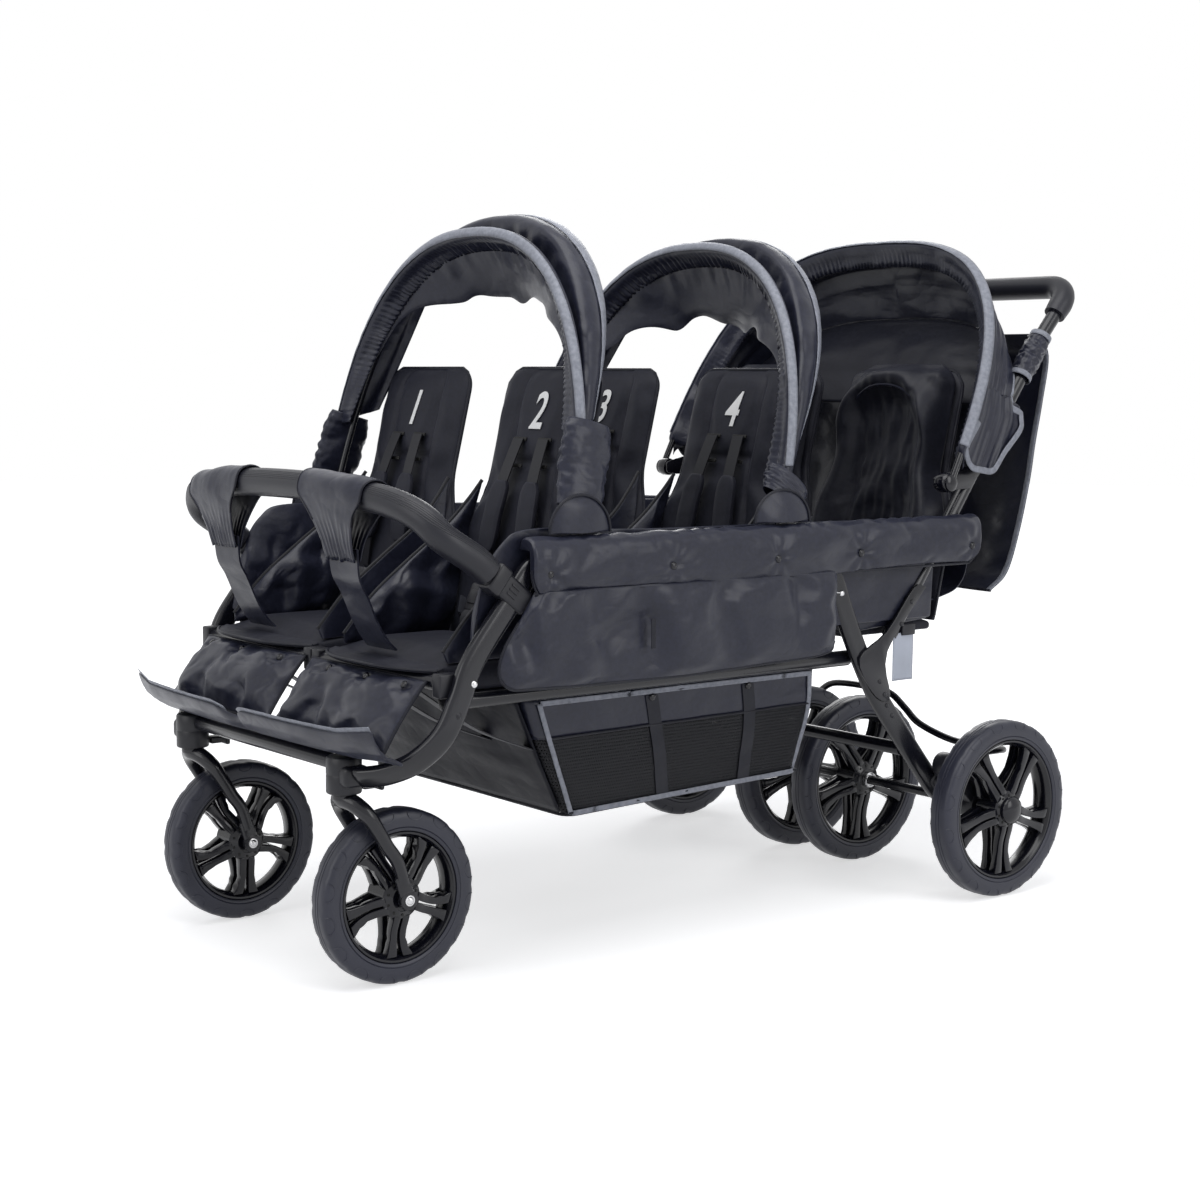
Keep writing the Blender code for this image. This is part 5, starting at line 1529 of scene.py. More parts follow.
# %% [markdown]
# ## Seats
# Each child has a crowned pan with a rounded lip in front, and a quilted back
# with a sewn centre panel. In rows 1 and 2 a back also has harness slots,
# shoulder pads, a printed number and a gathered wing at each side. Every row
# repeats the first, one pitch further back.

# %% Seat pans
PAN_FRONT, PAN_REAR = -1.036, -0.836
ROW_PITCH = 0.387
PAN_LIP = 0.30
LIP_REACH = 0.050
SEAT_X = 0.169


def seat_place(number):
    """A seat's row and its middle across the stroller."""
    return (number + 1) // 2, SEAT_X if number % 2 == 0 else -SEAT_X


def lip_reach(s):
    """How far the pan's rounded front stands out at a place across it."""
    return LIP_REACH * (1 - 0.75 * abs(s) ** 3)


def seat_pan(number):
    row, centre = seat_place(number)
    shift = ROW_PITCH * (row - 1)
    under = 0.4232 if row < 3 else 0.4440

    def place(u, v, face):
        s = 2 * u - 1
        x = centre + s * (0.146 if row < 3 else 0.144)
        lip = max(0.0, PAN_LIP - v) / PAN_LIP
        back = (v - PAN_LIP) / 0.70
        y = PAN_FRONT - lip_reach(s) * lip
        if lip == 0:
            y = PAN_FRONT + back * (PAN_REAR - PAN_FRONT)
        crown = (1 - abs(s) ** 5) * (1 - abs(2 * max(v - PAN_LIP, 0) / 0.7 - 1) ** 6)
        if face > 0:
            z = 0.4575 + 0.0150 * crown if lip == 0 else 0.4600 - 0.004 * lip
            z -= 0.0030 * (v == 0)
        else:
            z = under if lip == 0 else 0.4516
        held = seam(u, v, face) or 0.26 < v < 0.34
        return at(x, y + shift, z), float(held)

    bm = form(40, 40, place, closed=True)
    pad(f"seat_pad_{number}", bm, SEAT_CLOTH, "chassis", 0.5, f"seat_row_{row}",
        pressure=3.0, grow=0.05, cap=0.006, frames=12)
    rim = [
        at(centre + s * 0.146, PAN_FRONT - lip_reach(s) + shift, 0.4550)
        for s in spread(-1, 1, 30)
    ]
    tube(f"seat_binding_{number}", rim, 0.0024, NYLON_TRIM_AND_SHADE, "chassis", sides=2)


# %% Seat backs
BACK_LENGTH = 0.430
BACK_TILT = math.radians(13.5)
BACK_UP = Vector((0, math.sin(BACK_TILT), math.cos(BACK_TILT)))
BACK_FRONT = Vector((0, -math.cos(BACK_TILT), math.sin(BACK_TILT)))


def back_half_width(v):
    wide = 0.146 + (0.117 - 0.146) * ease((v - 0.38) / 0.24)
    return wide - 0.024 * max(0.0, (v - 0.92) / 0.08) ** 2.2


def back_point(row, centre, u, v, depth):
    """A place on the back: u across from -1 to 1, v up it, depth off its plane."""
    hinge_y = PAN_REAR + ROW_PITCH * (row - 1) + 0.0006
    base = at(centre + u * back_half_width(v), hinge_y, 0.454)
    return base + BACK_UP * (v * BACK_LENGTH) + BACK_FRONT * (depth - 0.0043)


def groove(value, place, width):
    return math.exp(-(((value - place) / width) ** 2))


def seat_back(number):
    row, centre = seat_place(number)
    body = "chassis" if row < 3 else "rear_backs"

    def place(u, v, face):
        s = 2 * u - 1
        edge = (1 - abs(s) ** 6) * (1 - abs(2 * v - 1) ** 9)
        upright = groove(abs(s), 0.50, 0.025) * (0.03 < v < 0.97)
        seams = max(upright, groove(v, 0.655, 0.010) * (abs(s) < 0.5))
        panel = 0.0025 if abs(s) < 0.5 else 0.0
        if row == 3:
            edge *= ease(v / 0.22)
        depth = 0.0045 + 0.0150 * edge * (1 - 0.55 * seams) - panel if face > 0 else -0.004
        held = seam(u, v, face) or seams > 0.7
        return back_point(row, centre, s, max(v, 0.012), depth), float(held)

    bm = form(44, 56, place, closed=True)
    pad(f"back_pad_{number}", bm, SEAT_CLOTH, body, 0.45, f"seat_back_{number}",
        pressure=3.0, grow=0.05, cap=0.005, frames=12)
    rim = [back_point(row, centre, -1, v, 0.002) for v in spread(0.03, 0.985, 24)]
    rim += [back_point(row, centre, s, 1.0, 0.002) for s in spread(-0.94, 0.94, 12)]
    rim += [back_point(row, centre, 1, v, 0.002) for v in reversed(spread(0.03, 0.985, 24))]
    tube(f"back_binding_{number}", rim, 0.0027, NYLON_TRIM_AND_SHADE, body, sides=2)


# %% Harness
def ribbon(path, across, width, thickness, taper=None):
    """A flat strap along a path, with its width along the given directions."""
    count = len(path) - 1

    def place(u, v, face):
        spot = u * count
        index = min(int(spot), count - 1)
        here = path[index].lerp(path[index + 1], spot - index)
        along = (path[index + 1] - path[index]).normalized()
        side = across if isinstance(across, Vector) else across(u)
        lift = along.cross(side).normalized()
        wide = width * (taper(u) if taper else 1)
        return here + side * wide * (v - 0.5) + lift * (thickness / 2 * face)

    return form(count * 2, 4, place, closed=True)


ACROSS = Vector((1, 0, 0))
BELT_WIDTH, BELT_THICKNESS = 0.025, 0.0018
SLOT_HIGH, SLOT_LOW, BELT_FOOT = 0.735, 0.640, 0.22


def harness(number):
    row, centre = seat_place(number)
    span = SLOT_HIGH - BELT_FOOT
    straps, pads, dark = [], [], []
    for side in (-1, 1):
        low_x = centre + side * 0.052
        high_x = centre + side * 0.031
        path = []
        for v in spread(BELT_FOOT, SLOT_HIGH, 10):
            down = (SLOT_HIGH - v) / span
            x = high_x + (low_x - high_x) * down
            depth = 0.0262 + 0.012 * math.sin(math.pi * down)
            path.append(back_point(row, centre, (x - centre) / back_half_width(v), v, depth))
        straps.append(ribbon(path, ACROSS, BELT_WIDTH, BELT_THICKNESS))
        soft = smooth_path(path[2:8], 3)
        pads.append(ribbon(soft, ACROSS, 0.044, 0.0100, lambda u: 1 - 0.5 * abs(2 * u - 1) ** 6))
        # Each slot is a thin near-black strip on the back, painted shade for the opening.
        for v in (SLOT_HIGH, SLOT_LOW):
            slot = soft_block((0.032, 0.003, 0.0055), 0.001)
            spot = back_point(row, centre, (high_x - centre) / back_half_width(v), v, 0.0228)
            dark.append(moved(slot, Matrix.Translation(spot) @ Matrix.Rotation(-BACK_TILT, 4, "X")))
        hip = [
            back_point(row, centre, side * 0.66, 0.10, 0.018),
            back_point(row, centre, side * 0.50, 0.13, 0.045),
            back_point(row, centre, side * 0.22, 0.12, 0.062),
        ]
        upright = Vector((0, 0.2, 1)).normalized()
        straps.append(ribbon(smooth_path(hip, 5), upright, BELT_WIDTH, BELT_THICKNESS))
    crotch = [
        back_point(row, centre, 0, 0.045, 0.078), back_point(row, centre, 0, 0.085, 0.080),
        back_point(row, centre, 0, 0.125, 0.070),
    ]
    straps.append(ribbon(smooth_path(crotch, 4), ACROSS, 0.026, 0.0020))
    finish(f"harness_{number}", gather(*straps), WEBBING, "chassis", 60)
    pad(f"shoulder_pads_{number}", gather(*pads), SEAT_CLOTH, "chassis", 0.4)
    finish(f"harness_slots_{number}", gather(*dark), HOLE_SHADE, "chassis")
    buckle = soft_block((0.040, 0.013, 0.046), 0.005)
    button = soft_block((0.020, 0.004, 0.022), 0.0018)
    spot = back_point(row, centre, 0, 0.155, 0.066)
    turn = Matrix.Rotation(math.radians(-25), 4, "X")
    bm = gather(
        moved(buckle, Matrix.Translation(spot) @ turn),
        moved(button, Matrix.Translation(spot + Vector((0, -0.0075, 0.003))) @ turn),
    )
    finish(f"buckle_{number}", bm, BLACK_PLASTIC, "chassis")


# %% Printed numbers
def numeral(number):
    """A plain slanted figure, printed on the back's head panel."""
    row, centre = seat_place(number)
    words = bpy.data.curves.new("numeral", "FONT")
    words.body = str(number)
    words.size = 0.080
    words.shear = 0.22
    words.align_x = "CENTER"
    words.extrude = 0.0004
    words.offset = 0.0012
    holder = bpy.data.objects.new("numeral", words)
    bpy.context.scene.collection.objects.link(holder)
    bm = applied(holder)
    bpy.data.objects.remove(holder)
    bmesh.ops.remove_doubles(bm, verts=bm.verts, dist=1e-6)
    slim = Matrix.Diagonal((0.80, 1.0, 1.0, 1))
    spot = back_point(row, centre, 0, 0.775, 0.0196)
    axes = Matrix((ACROSS, BACK_UP, BACK_FRONT)).transposed().to_4x4()
    bm.transform(Matrix.Translation(spot) @ axes @ slim)
    graph = bpy.context.evaluated_depsgraph_get()
    cushion = BVHTree.FromObject(bpy.data.objects[f"back_pad_{number}"], graph)
    for vert in bm.verts:
        lift = (vert.co - spot).dot(BACK_FRONT)
        flat = vert.co - BACK_FRONT * lift
        hit = cushion.ray_cast(flat + BACK_FRONT * 0.06, -BACK_FRONT)[0]
        if hit:
            vert.co = hit + BACK_FRONT * (lift + 0.0016)
    finish(f"number_{number}", bm, WHITE_PRINT, "chassis")


# %% Gathered wings between a back and its pan
WING_EDGE = profile_path([
    (-1.030, 0.478), (-0.980, 0.533), (-0.915, 0.583), (-0.851, 0.629), (-0.812, 0.668),
    (-0.786, 0.700),
], 8)


def wing_slope(z):
    """How far a wing leans in at a height, to follow the back's narrower top."""
    return 0.010 * ease((z - 0.62) / 0.1)


def seat_wing(number, side):
    row, centre = seat_place(number)
    shift = ROW_PITCH * (row - 1)

    def place(u, v, face):
        top = on_path(WING_EDGE, u)
        low_y = -1.026 + 0.186 * u
        y = low_y + (top.y - low_y) * v
        z = 0.4630 + (top.z - 0.4630) * v
        x = 0.1375 - 0.006 * v - wing_slope(z)
        swell = (1 - abs(2 * v - 1) ** 4) * (1 - abs(2 * u - 1) ** 6)
        pleat = math.sin(26 * u + 4 * v) * 0.0020 * swell
        pleat += worn((0, y, z), number * 1.7 + side, 0.005, 0.004, 0.045) * swell
        thick = 0.004 + 0.013 * swell + pleat if face > 0 else -0.003
        held = seam(u, v, face) or (abs((u * 6) % 1 - 0.5) < 0.04 and v > 0.5)
        return at(centre + side * (x - thick), y + shift, z), float(held)

    name = f"{number}_{'in' if centre * side < 0 else 'out'}"
    pad(f"seat_wing_{name}", form(44, 24, place, closed=True), NYLON, "chassis", 0.4,
        pressure=5.0, grow=0.14, cap=0.009, frames=14)
    line = [at(centre + side * (0.1315 - wing_slope(p.z)), p.y + shift, p.z) for p in WING_EDGE]
    tube(f"wing_piping_{name}", line, 0.0030, WEBBING, "chassis", sides=2)


for number in range(1, 7):
    seat_pan(number)
    seat_back(number)
    if number < 5:
        harness(number)
        numeral(number)
        for side in (-1, 1):
            seat_wing(number, side)
print("seats done:", 6)

# %% [markdown]
# ## Linings, rear cocoons and slings
# Inside the side rolls a gathered lining closes the gap to the seats. The two
# rear seats are for the smallest children: each back carries a soft cocoon
# with a hooded rim, so their harness and number don't show, as in the
# photograph. A pouch under each hangs behind the seat.

# %% Side linings
LINING_STEPS = 160
LINING_EDGE = evenly(profile_path([
    (-1.012, 0.480), (-0.992, 0.575), (-0.960, 0.628), (-0.905, 0.648), (-0.700, 0.640),
    (-0.300, 0.636), (-0.085, 0.630),
], 10), LINING_STEPS)


def side_lining(side_name, side):
    def place(u, v, face):
        top = LINING_EDGE[round(u * LINING_STEPS)]
        low_y = max(top.y, -0.998)
        y = low_y + (top.y - low_y) * v
        z = 0.468 + (top.z - 0.468) * v
        swell = (1 - abs(2 * v - 1) ** 4) * min(1, 14 * u, 14 * (1 - u))
        pleat = worn((0, y, z), side * 7.0, 0.006, 0.004, 0.060) * swell
        x = 0.3425 - (0.003 + 0.012 * swell + pleat if face > 0 else 0)
        x -= 0.008 * (1 - v)
        return at(side * x, y, z), float(seam(u, v, face))

    bm = form(LINING_STEPS, 20, place, closed=True)
    pad(f"side_lining_{side_name}", bm, NYLON, "chassis", 0.35,
        pressure=4.0, grow=0.12, cap=0.007, frames=14)


# %% Rear cocoons
def cocoon(number):
    row, centre = seat_place(number)

    def arched(s):
        """Height of the cocoon's round rim at a place across it."""
        return 1 - abs(s) ** 2.6

    def place(u, v, face):
        s = 2 * u - 1
        rim = groove(v - 0.60 - 0.30 * arched(s), 0, 0.10) * (0.35 + 0.65 * arched(s))
        cheek = groove(abs(s), 0.80, 0.16) * (v < 0.95)
        inside = (1 - cheek) * (1 - rim)
        folds = noise.noise(Vector((s * 3.0, v * 3.4, number)))
        folds += 0.5 * noise.noise(Vector((s * 8, v * 8, number)))
        depth = 0.040 + 0.038 * rim + 0.022 * cheek * (1 - 0.6 * v)
        depth += 0.010 * folds * (0.4 + 0.6 * inside)
        edge = min(1, 9 * (1 - abs(s)), 12 * (1 - v), 7 * v + 0.25)
        depth = 0.020 + (depth - 0.020) * ease(edge)
        return back_point(row, centre, s * 0.985, 0.24 + 0.78 * v, depth if face > 0 else 0.0165)

    bm = form(56, 50, place, closed=True)
    # The cocoon's darker nylon is painted shade; its rim keeps the plain nylon.
    pad(f"cocoon_{number}", bm, NYLON_TRIM_AND_SHADE, "rear_backs", 0.3)
    line = []
    for s in spread(-0.86, 0.86, 40):
        v = 0.60 + 0.30 * arched(s) - 0.045
        line.append(back_point(row, centre, s, 0.24 + 0.78 * v, 0.071 - 0.022 * abs(s) ** 2))
    tube(f"cocoon_edge_{number}", line, 0.0028, NYLON, "rear_backs", sides=2)


def rear_pouch():
    shape = [
        (-0.050, 0.600), (0.030, 0.604), (0.038, 0.540), (0.014, 0.502), (-0.040, 0.486),
        (-0.078, 0.478),
    ]
    rows = 28
    ring = evenly(profile_path(shape, 6), rows)
    hub = Vector((0, -0.028, 0.545))

    def place(u, v, face):
        s = 2 * u - 1
        p = ring[round(v * rows)]
        pull = 1 - 0.16 * abs(s) ** 6 - 0.10 * math.exp(-((s / 0.05) ** 2))
        p = hub + (p - hub) * pull if face > 0 else hub + (p - hub) * 0.80
        wrinkle = 0.0040 * noise.noise(Vector((s * 9, v * 4, 7.0)))
        return at(s * 0.311, p.y, p.z + wrinkle)

    pad("rear_pouch", form(90, rows, place, closed=True), NYLON, "chassis", 0.4)


def row_sling(side_name, side):
    """The padded side that carries the rear seats, under the rail."""
    def place(u, v, face):
        y = -0.262 + 0.180 * u
        low = 0.452 + 0.012 * u
        z = 0.600 + (low - 0.600) * v
        swell = (1 - abs(2 * v - 1) ** 4) * (1 - abs(2 * u - 1) ** 4)
        thick = 0.0015 + 0.0050 * swell
        crease = 0.0012 * noise.noise(Vector((u * 9, v * 9, 3.3)))
        return at(side * (0.3222 + (thick + crease if face > 0 else -0.0035)), y, z)

    bm = form(36, 28, place, closed=True)
    pad(f"rear_sling_{side_name}", bm, NYLON, "chassis", 0.3, "seat_row_3")


for side_name, side in SIDES:
    side_lining(side_name, side)
    row_sling(side_name, side)
for number in (5, 6):
    cocoon(number)
rear_pouch()
print("linings and cocoons done")

# %% [markdown]
# ## Bumper sleeves and crotch straps
# Over the foam bar lie two nylon sleeves. Each narrows into a strap that goes
# down between a child's legs to the seat. The sleeve rides on the bar. The
# strap runs from the seat up to the bar and is fixed in place.

# %% Sleeves and straps
SLEEVES = {"left": (0.145, 0.165), "right": (-0.205, 0.170)}
STRAP_WIDTH = 0.078
BAR_MIDDLES = [
    (0.0, -1.0962, 0.7003), (0.070, -1.096, 0.700), (0.180, -1.094, 0.695),
    (0.270, -1.089, 0.685), (0.322, -1.078, 0.668),
]


def bar_centre(x):
    """The foam bar's middle at a place across the stroller."""
    y = between([(place, y) for place, y, z in BAR_MIDDLES], abs(x))
    z = between([(place, z) for place, y, z in BAR_MIDDLES], abs(x))
    return at(x, y, z)


def bumper_sleeve(side_name):
    middle, width = SLEEVES[side_name]
    loop = [
        (0.0030, -0.098, 0.0), (0.0100, -0.066, 0.10), (0.0205, -0.032, 0.45),
        (0.0252, -0.006, 0.95), (0.0188, 0.0175, 1.0), (0.0, 0.0254, 1.0),
        (-0.0188, 0.0175, 1.0), (-0.0252, -0.006, 0.95), (-0.0215, -0.032, 0.45),
        (-0.0120, -0.066, 0.10), (-0.0030, -0.098, 0.0),
    ]
    path = smooth_path([Vector(p) for p in loop], 5)
    count = len(path) - 1

    def half_at(p):
        """Half the sleeve's width: the strap's at the foot, full over the bar."""
        return (STRAP_WIDTH + (width - STRAP_WIDTH) * min(1, max(0, p.z))) / 2

    def place(u, v, face):
        p = path[round(v * count)]
        half = half_at(p)
        s = 2 * u - 1
        centre = bar_centre(middle + s * half)
        low = ease((-0.03 - p.y) / 0.06)
        straight = bar_centre(middle)
        centre = centre.lerp(Vector((centre.x, straight.y, straight.z)), low)
        crease = 0.0022 * noise.noise(Vector((s * 5, v * 9, middle * 9))) * (0.3 + low)
        gather_in = 0.0016 * math.sin(9 * s * math.pi) * low
        return centre + Vector((0, p.x + math.copysign(abs(crease) + gather_in, p.x), p.y + crease))

    made = finish(f"bumper_sleeve_{side_name}", form(44, count, place), NYLON, "bumper", 80)
    thicken(made, 0.0016)
    for end in (-1, 1):
        hem = []
        for p in path[8:-8]:
            centre = bar_centre(middle + end * (half_at(p) - 0.0015))
            hem.append(centre + Vector((0, p.x * 1.02, p.y)))
        name = f"sleeve_hem_{side_name}_{'in' if end * middle < 0 else 'out'}"
        tube(name, hem, 0.0018, NYLON_TRIM_AND_SHADE, "bumper", sides=1)


def crotch_strap(side_name):
    middle = SLEEVES[side_name][0]
    top = bar_centre(middle) + Vector((0, 0, -0.080))
    seat = at(middle, -1.030, 0.4690)
    points = [
        top, top + Vector((0, 0.004, -0.040)), at(middle, -1.076, 0.548), at(middle, -1.058, 0.508),
        at(middle, -1.042, 0.482), seat,
    ]
    path = smooth_path(points, 6)
    bm = ribbon(path, ACROSS, STRAP_WIDTH, 0.0030, lambda u: 1 - 0.12 * math.sin(math.pi * u))
    made = finish(f"crotch_strap_{side_name}", bm, NYLON, None, 60)
    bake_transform(made)


for side_name, _ in SIDES:
    bumper_sleeve(side_name)
    crotch_strap(side_name)
print("sleeves and straps done")

# %% [markdown]
# ## Sun canopies
# Each of the two front canopies is one sheet gathered between two bows. It
# wraps the front bow with a ruffled hem inside, hangs down between the bows
# as a slack swag, and comes up over the rear bow as a soft sleeve. Here it is
# photographed pushed together. The sheet is laid as one grid: columns run
# along the arch and rows run across it, from the inner hem to the rear edge.

# %% Bows
BOW_RADIUS = 0.006
NYLON_THICKNESS = 0.0014  # of the canopies' and the hood's cloth
FRONT_BOW_X, REAR_BOW_X = 0.3370, 0.3255
ARCH_POWER = 2.4
FINE_ARCH = 720
CANOPIES = {
    1: {
        "pivot": (-0.840, 0.600), "front": (-0.767, 1.076), "rear": (-0.720, 1.096),
        "foot": 0.780, "cuff": 0.795, "base": (0.054, 0.054), "length": 1.10, "area": 0.26,
        "swag": [(-0.33, 0.004), (-0.27, 0.030), (-0.12, 0.098), (0.0, 0.112), (0.03, 0.118),
                 (0.10, 0.108), (0.20, 0.085), (0.29, 0.030), (0.33, 0.004)],
    },
    2: {
        "pivot": (-0.450, 0.600), "front": (-0.319, 1.071), "rear": (-0.262, 1.082),
        "foot": 0.690, "cuff": 0.705, "base": (0.057, 0.050), "length": 1.26, "area": 0.30,
        "swag": [(-0.33, 0.004), (-0.24, 0.070), (-0.13, 0.122), (-0.045, 0.112), (0.03, 0.130),
                 (0.12, 0.130), (0.22, 0.090), (0.30, 0.030), (0.33, 0.004)],
    },
}


def bow_piece(node, half_width, pivot, top, body):
    path = arch(half_width, pivot, top, ARCH_POWER, 96)
    made = tube(f"{node}_tube", evenly(path, 110), BOW_RADIUS, BLACK_TUBE, body, sides=3)
    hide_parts(node)


# %% Cross-section of a canopy
def canopy_section(half, depth, puff):
    """Rows across a canopy: (across from the middle, outward, ruffle, fold)."""
    slack = max(0.0095, 0.50 * half)
    return [
        (-half + 0.012, -0.030, 1.0, 0), (-half + 0.006, -0.022, 0.9, 0),
        (-half + 0.001, -0.013, 0.6, 0), (-half - 0.006, -0.006, 0.25, 0),
        (-half - 0.0095, 0.0010, 0, 0), (-half - 0.0065, 0.0072, 0, 0),
        (-half, 0.0092, 0, 0), (-half + 0.0070, 0.0070, 0, 0),
        (-half + 0.0105, -0.001, 0, 0.3), (-slack, -0.012 - 0.12 * depth, 0, 1.0),
        (-0.0090, -0.42 * depth, 0, 1.0), (-0.0060, -0.62 * depth, 0, 0),
        (-0.0030, -0.86 * depth, 0, 0), (0.0, -depth, 0, 0),
        (0.0030, -0.86 * depth, 0, 0), (0.0060, -0.60 * depth, 0, 0),
        (0.0090, -0.36 * depth, 0, 1.0), (slack, -0.10 * depth, 0, 0.8),
        (half - 0.0100, -0.001, 0, 0.3), (half - 0.0060, 0.0068, 0, 0),
        (half + 0.3 * puff, 0.0094, 0, 0.2), (half + 0.008 + 0.6 * puff, 0.0090, 0, 0.3),
        (half + 0.015 + puff, 0.0045, 0, 0.2), (half + 0.019 + puff, 0.0, 0, 0),
        (half + 0.026 + puff, -0.0025, 0, 0), (half + 0.034 + puff, -0.0045, 0, 0),
    ]


def canopy_frames(number, columns):
    """Places along a canopy: middle, half gap, across, outward, and how high."""
    data = CANOPIES[number]
    front = arch(FRONT_BOW_X, data["pivot"], data["front"], ARCH_POWER, FINE_ARCH)
    rear = arch(REAR_BOW_X, data["pivot"], data["rear"], ARCH_POWER, FINE_ARCH)
    pairs = [(f, r) for f, r in zip(front, rear) if f.z > data["foot"]]
    fronts = evenly([f for f, _ in pairs], columns)
    rears = evenly([r for _, r in pairs], columns)
    frames = []
    for i in range(columns + 1):
        f, r = fronts[i], rears[i]
        across = (r - f).normalized()
        out = heading(fronts, i).cross(across).normalized()
        if out.dot(f - at(0, data["pivot"][0], 0.70)) < 0:
            out = -out
        frames.append(((f + r) / 2, (r - f).length / 2, across, out, i / columns))
    return frames


def canopy_puff(z):
    """How far the rear sleeve stands behind its bow at a height."""
    return 0.020 * math.sin(math.pi * min(max((z - 0.74) / 0.34, 0), 1))


def canopy_cloth(number):
    data = CANOPIES[number]
    columns = 360
    frames = canopy_frames(number, columns)
    rows = 2 * (len(canopy_section(0.02, 0.1, 0)) - 1)
    sections = []
    for middle, half, across, out, share in frames:
        depth = between(data["swag"], middle.x)
        depth *= 1 + 0.07 * noise.noise(Vector((middle.x * 14, number, 0)))
        ripple = share * 700 + 3 * math.sin(share * 61)
        room = min(1.0, max(half - 0.009, 0) / 0.012)
        points = []
        for s, n, ruffle, fold in canopy_section(half, depth, canopy_puff(middle.z)):
            wave = math.sin(ripple) * 0.0022 * ruffle * room
            drape = noise.noise(Vector((middle.x * 22, n * 6, number * 3.1 + (s > 0) * 9)))
            drape += 0.5 * noise.noise(Vector((middle.x * 51, n * 9, number * 5.7)))
            wave += drape * 0.0052 * fold * room
            rise = 0.0012 * math.sin(ripple + 1.2) * ruffle
            points.append(middle + across * (s + wave) + out * (n + rise))
        sections.append(smooth_path(points, 2))

    def place(u, v, face):
        return sections[round(u * columns)][round(v * rows)]

    bm = form(columns, rows, place)
    made = finish(f"canopy_{number}_sheet", bm, NYLON, None, 80)
    thicken(made, NYLON_THICKNESS)
    name = f"canopy_{number}_front"
    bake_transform(made)
    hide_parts(f"canopy_{number}_cloth")
    front_band, rear_band = [], []
    for middle, half, across, out, _ in frames:
        puff = canopy_puff(middle.z)
        if number == 1 or middle.z > 0.724:
            front_band.append((
                middle + across * (-half - 0.0122) + out * 0.0018,
                middle + across * (-half - 0.0010) + out * 0.0122,
            ))
        rear_band.append((
            middle + across * (half + 0.0155 + puff) + out * 0.0068,
            middle + across * (half + 0.0352 + puff) + out * -0.0022,
        ))
    tape(f"canopy_{number}_tape_front", front_band, name, bulge=0.0022)
    tape(f"canopy_{number}_tape_rear", rear_band, "chassis", bulge=0.0012)


# %% Reflective tape along an edge
def tape(name, pairs, body, bulge=0.001):
    """A flat reflective tape between two lines, slightly crowned and uneven."""
    count = len(pairs) - 1
    centre = sum((a + b for a, b in pairs), Vector()) / (2 * len(pairs))

    def place(u, v, face):
        a, b = pairs[round(u * count)]
        here = a.lerp(b, v)
        i = round(u * count)
        along = pairs[min(i + 1, count)][0] - pairs[max(i - 1, 0)][0]
        lift = along.cross(b - a)
        if lift.length < 1e-9:
            return here
        lift.normalize()
        if lift.dot(here - centre) < 0:
            lift = -lift
        uneven = 0.0006 * noise.noise(here * 60)
        return here + lift * (bulge * (1 - (2 * v - 1) ** 2) + uneven)

    return thicken(finish(name, form(count, 4, place), PIPING, body, 80), 0.0012)


# %% Cuffs and padded bases at the bows' feet
def wrinkled_sleeve(name, path, radii, body, seed, flat=1.0, rumple=0.20):
    """A gathered cloth tube laid along a path."""
    steps = len(path) - 1

    def place(u, v, face):
        index = min(int(v * steps), steps - 1)
        here = on_path(path, v)
        along = (path[index + 1] - path[index]).normalized()
        side = Vector((0, 1, 0)).cross(along).normalized()
        front = along.cross(side).normalized()
        radius = radii(v)
        turn = math.tau * u
        round_x, round_y = math.cos(turn), math.sin(turn)
        crease = noise.noise(Vector((round_x, round_y, v * 9 + seed)) * 1.3)
        crease += 0.6 * noise.noise(Vector((round_x * 3, round_y * 3, v * 14 - seed)))
        radius *= 1 + rumple * crease * math.sin(math.pi * v) ** 0.5
        return here + side * radius * flat * math.cos(turn) + front * radius * math.sin(turn)

    bm = form(56, 44, place)
    bmesh.ops.remove_doubles(bm, verts=bm.verts, dist=1e-6)
    bmesh.ops.recalc_face_normals(bm, faces=bm.faces)
    return thicken(finish(name, bm, NYLON, body, 80), NYLON_THICKNESS)


def canopy_base(number, side_name, side):
    """The padded oval over the bows' pivot, with a piped outline."""
    data = CANOPIES[number]
    y, z = data["pivot"][0] + 0.006, 0.6375
    half_y, height = data["base"]

    def place(u, v, face):
        turn = math.pi * u
        reach = 1 - (1 - v) ** 1.6
        yy = y + half_y * math.cos(turn) * reach
        zz = z + 0.002 + height * math.sin(turn) * reach
        swell = 0.0125 * (1 - reach**2.2)
        x = 0.3560 + (swell if face > 0 else -0.010 * (1 - reach**2))
        return at(side * x, yy, max(zz, z)), 1.0 if face < 0 or u in (0, 1) or v == 1 else 0.0

    bm = form(36, 12, place, closed=True)
    bmesh.ops.remove_doubles(bm, verts=bm.verts, dist=1e-5)
    pad(f"canopy_{number}_base_{side_name}", bm, NYLON, "chassis", 0.5)
    rim = []
    for u in spread(0, 1, 28):
        turn = math.pi * u
        high = z + 0.002 + height * math.sin(turn)
        rim.append(at(side * 0.3572, y + half_y * math.cos(turn), high))
    tube(f"canopy_{number}_base_piping_{side_name}", rim, 0.0022, NYLON_TRIM_AND_SHADE, "chassis", sides=2)


def canopy_cuff(number, side_name, side):
    """The gathered cuff that closes the cloth round the rear bow above its foot."""
    data = CANOPIES[number]
    low = at(side * 0.341, data["pivot"][0] + 0.008, 0.672)
    rear = arch(FRONT_BOW_X, data["pivot"], data["rear"], ARCH_POWER, 400)
    high = min(rear, key=lambda p: abs(p.z - data["cuff"]) + (p.x * side < 0))
    path = [
        high.lerp(low, t) + Vector((side * 0.003, 0.004 - 0.006 * (1 - t), 0))
        for t in spread(0, 1, 6)
    ]
    sleeve = wrinkled_sleeve(
        f"canopy_{number}_cuff_{side_name}", path,
        lambda v: between([(0, 0.0350), (0.12, 0.0410), (0.55, 0.0420), (1, 0.0360)], v),
        "chassis", 3 * number + side, flat=0.36, rumple=0.11,
    )


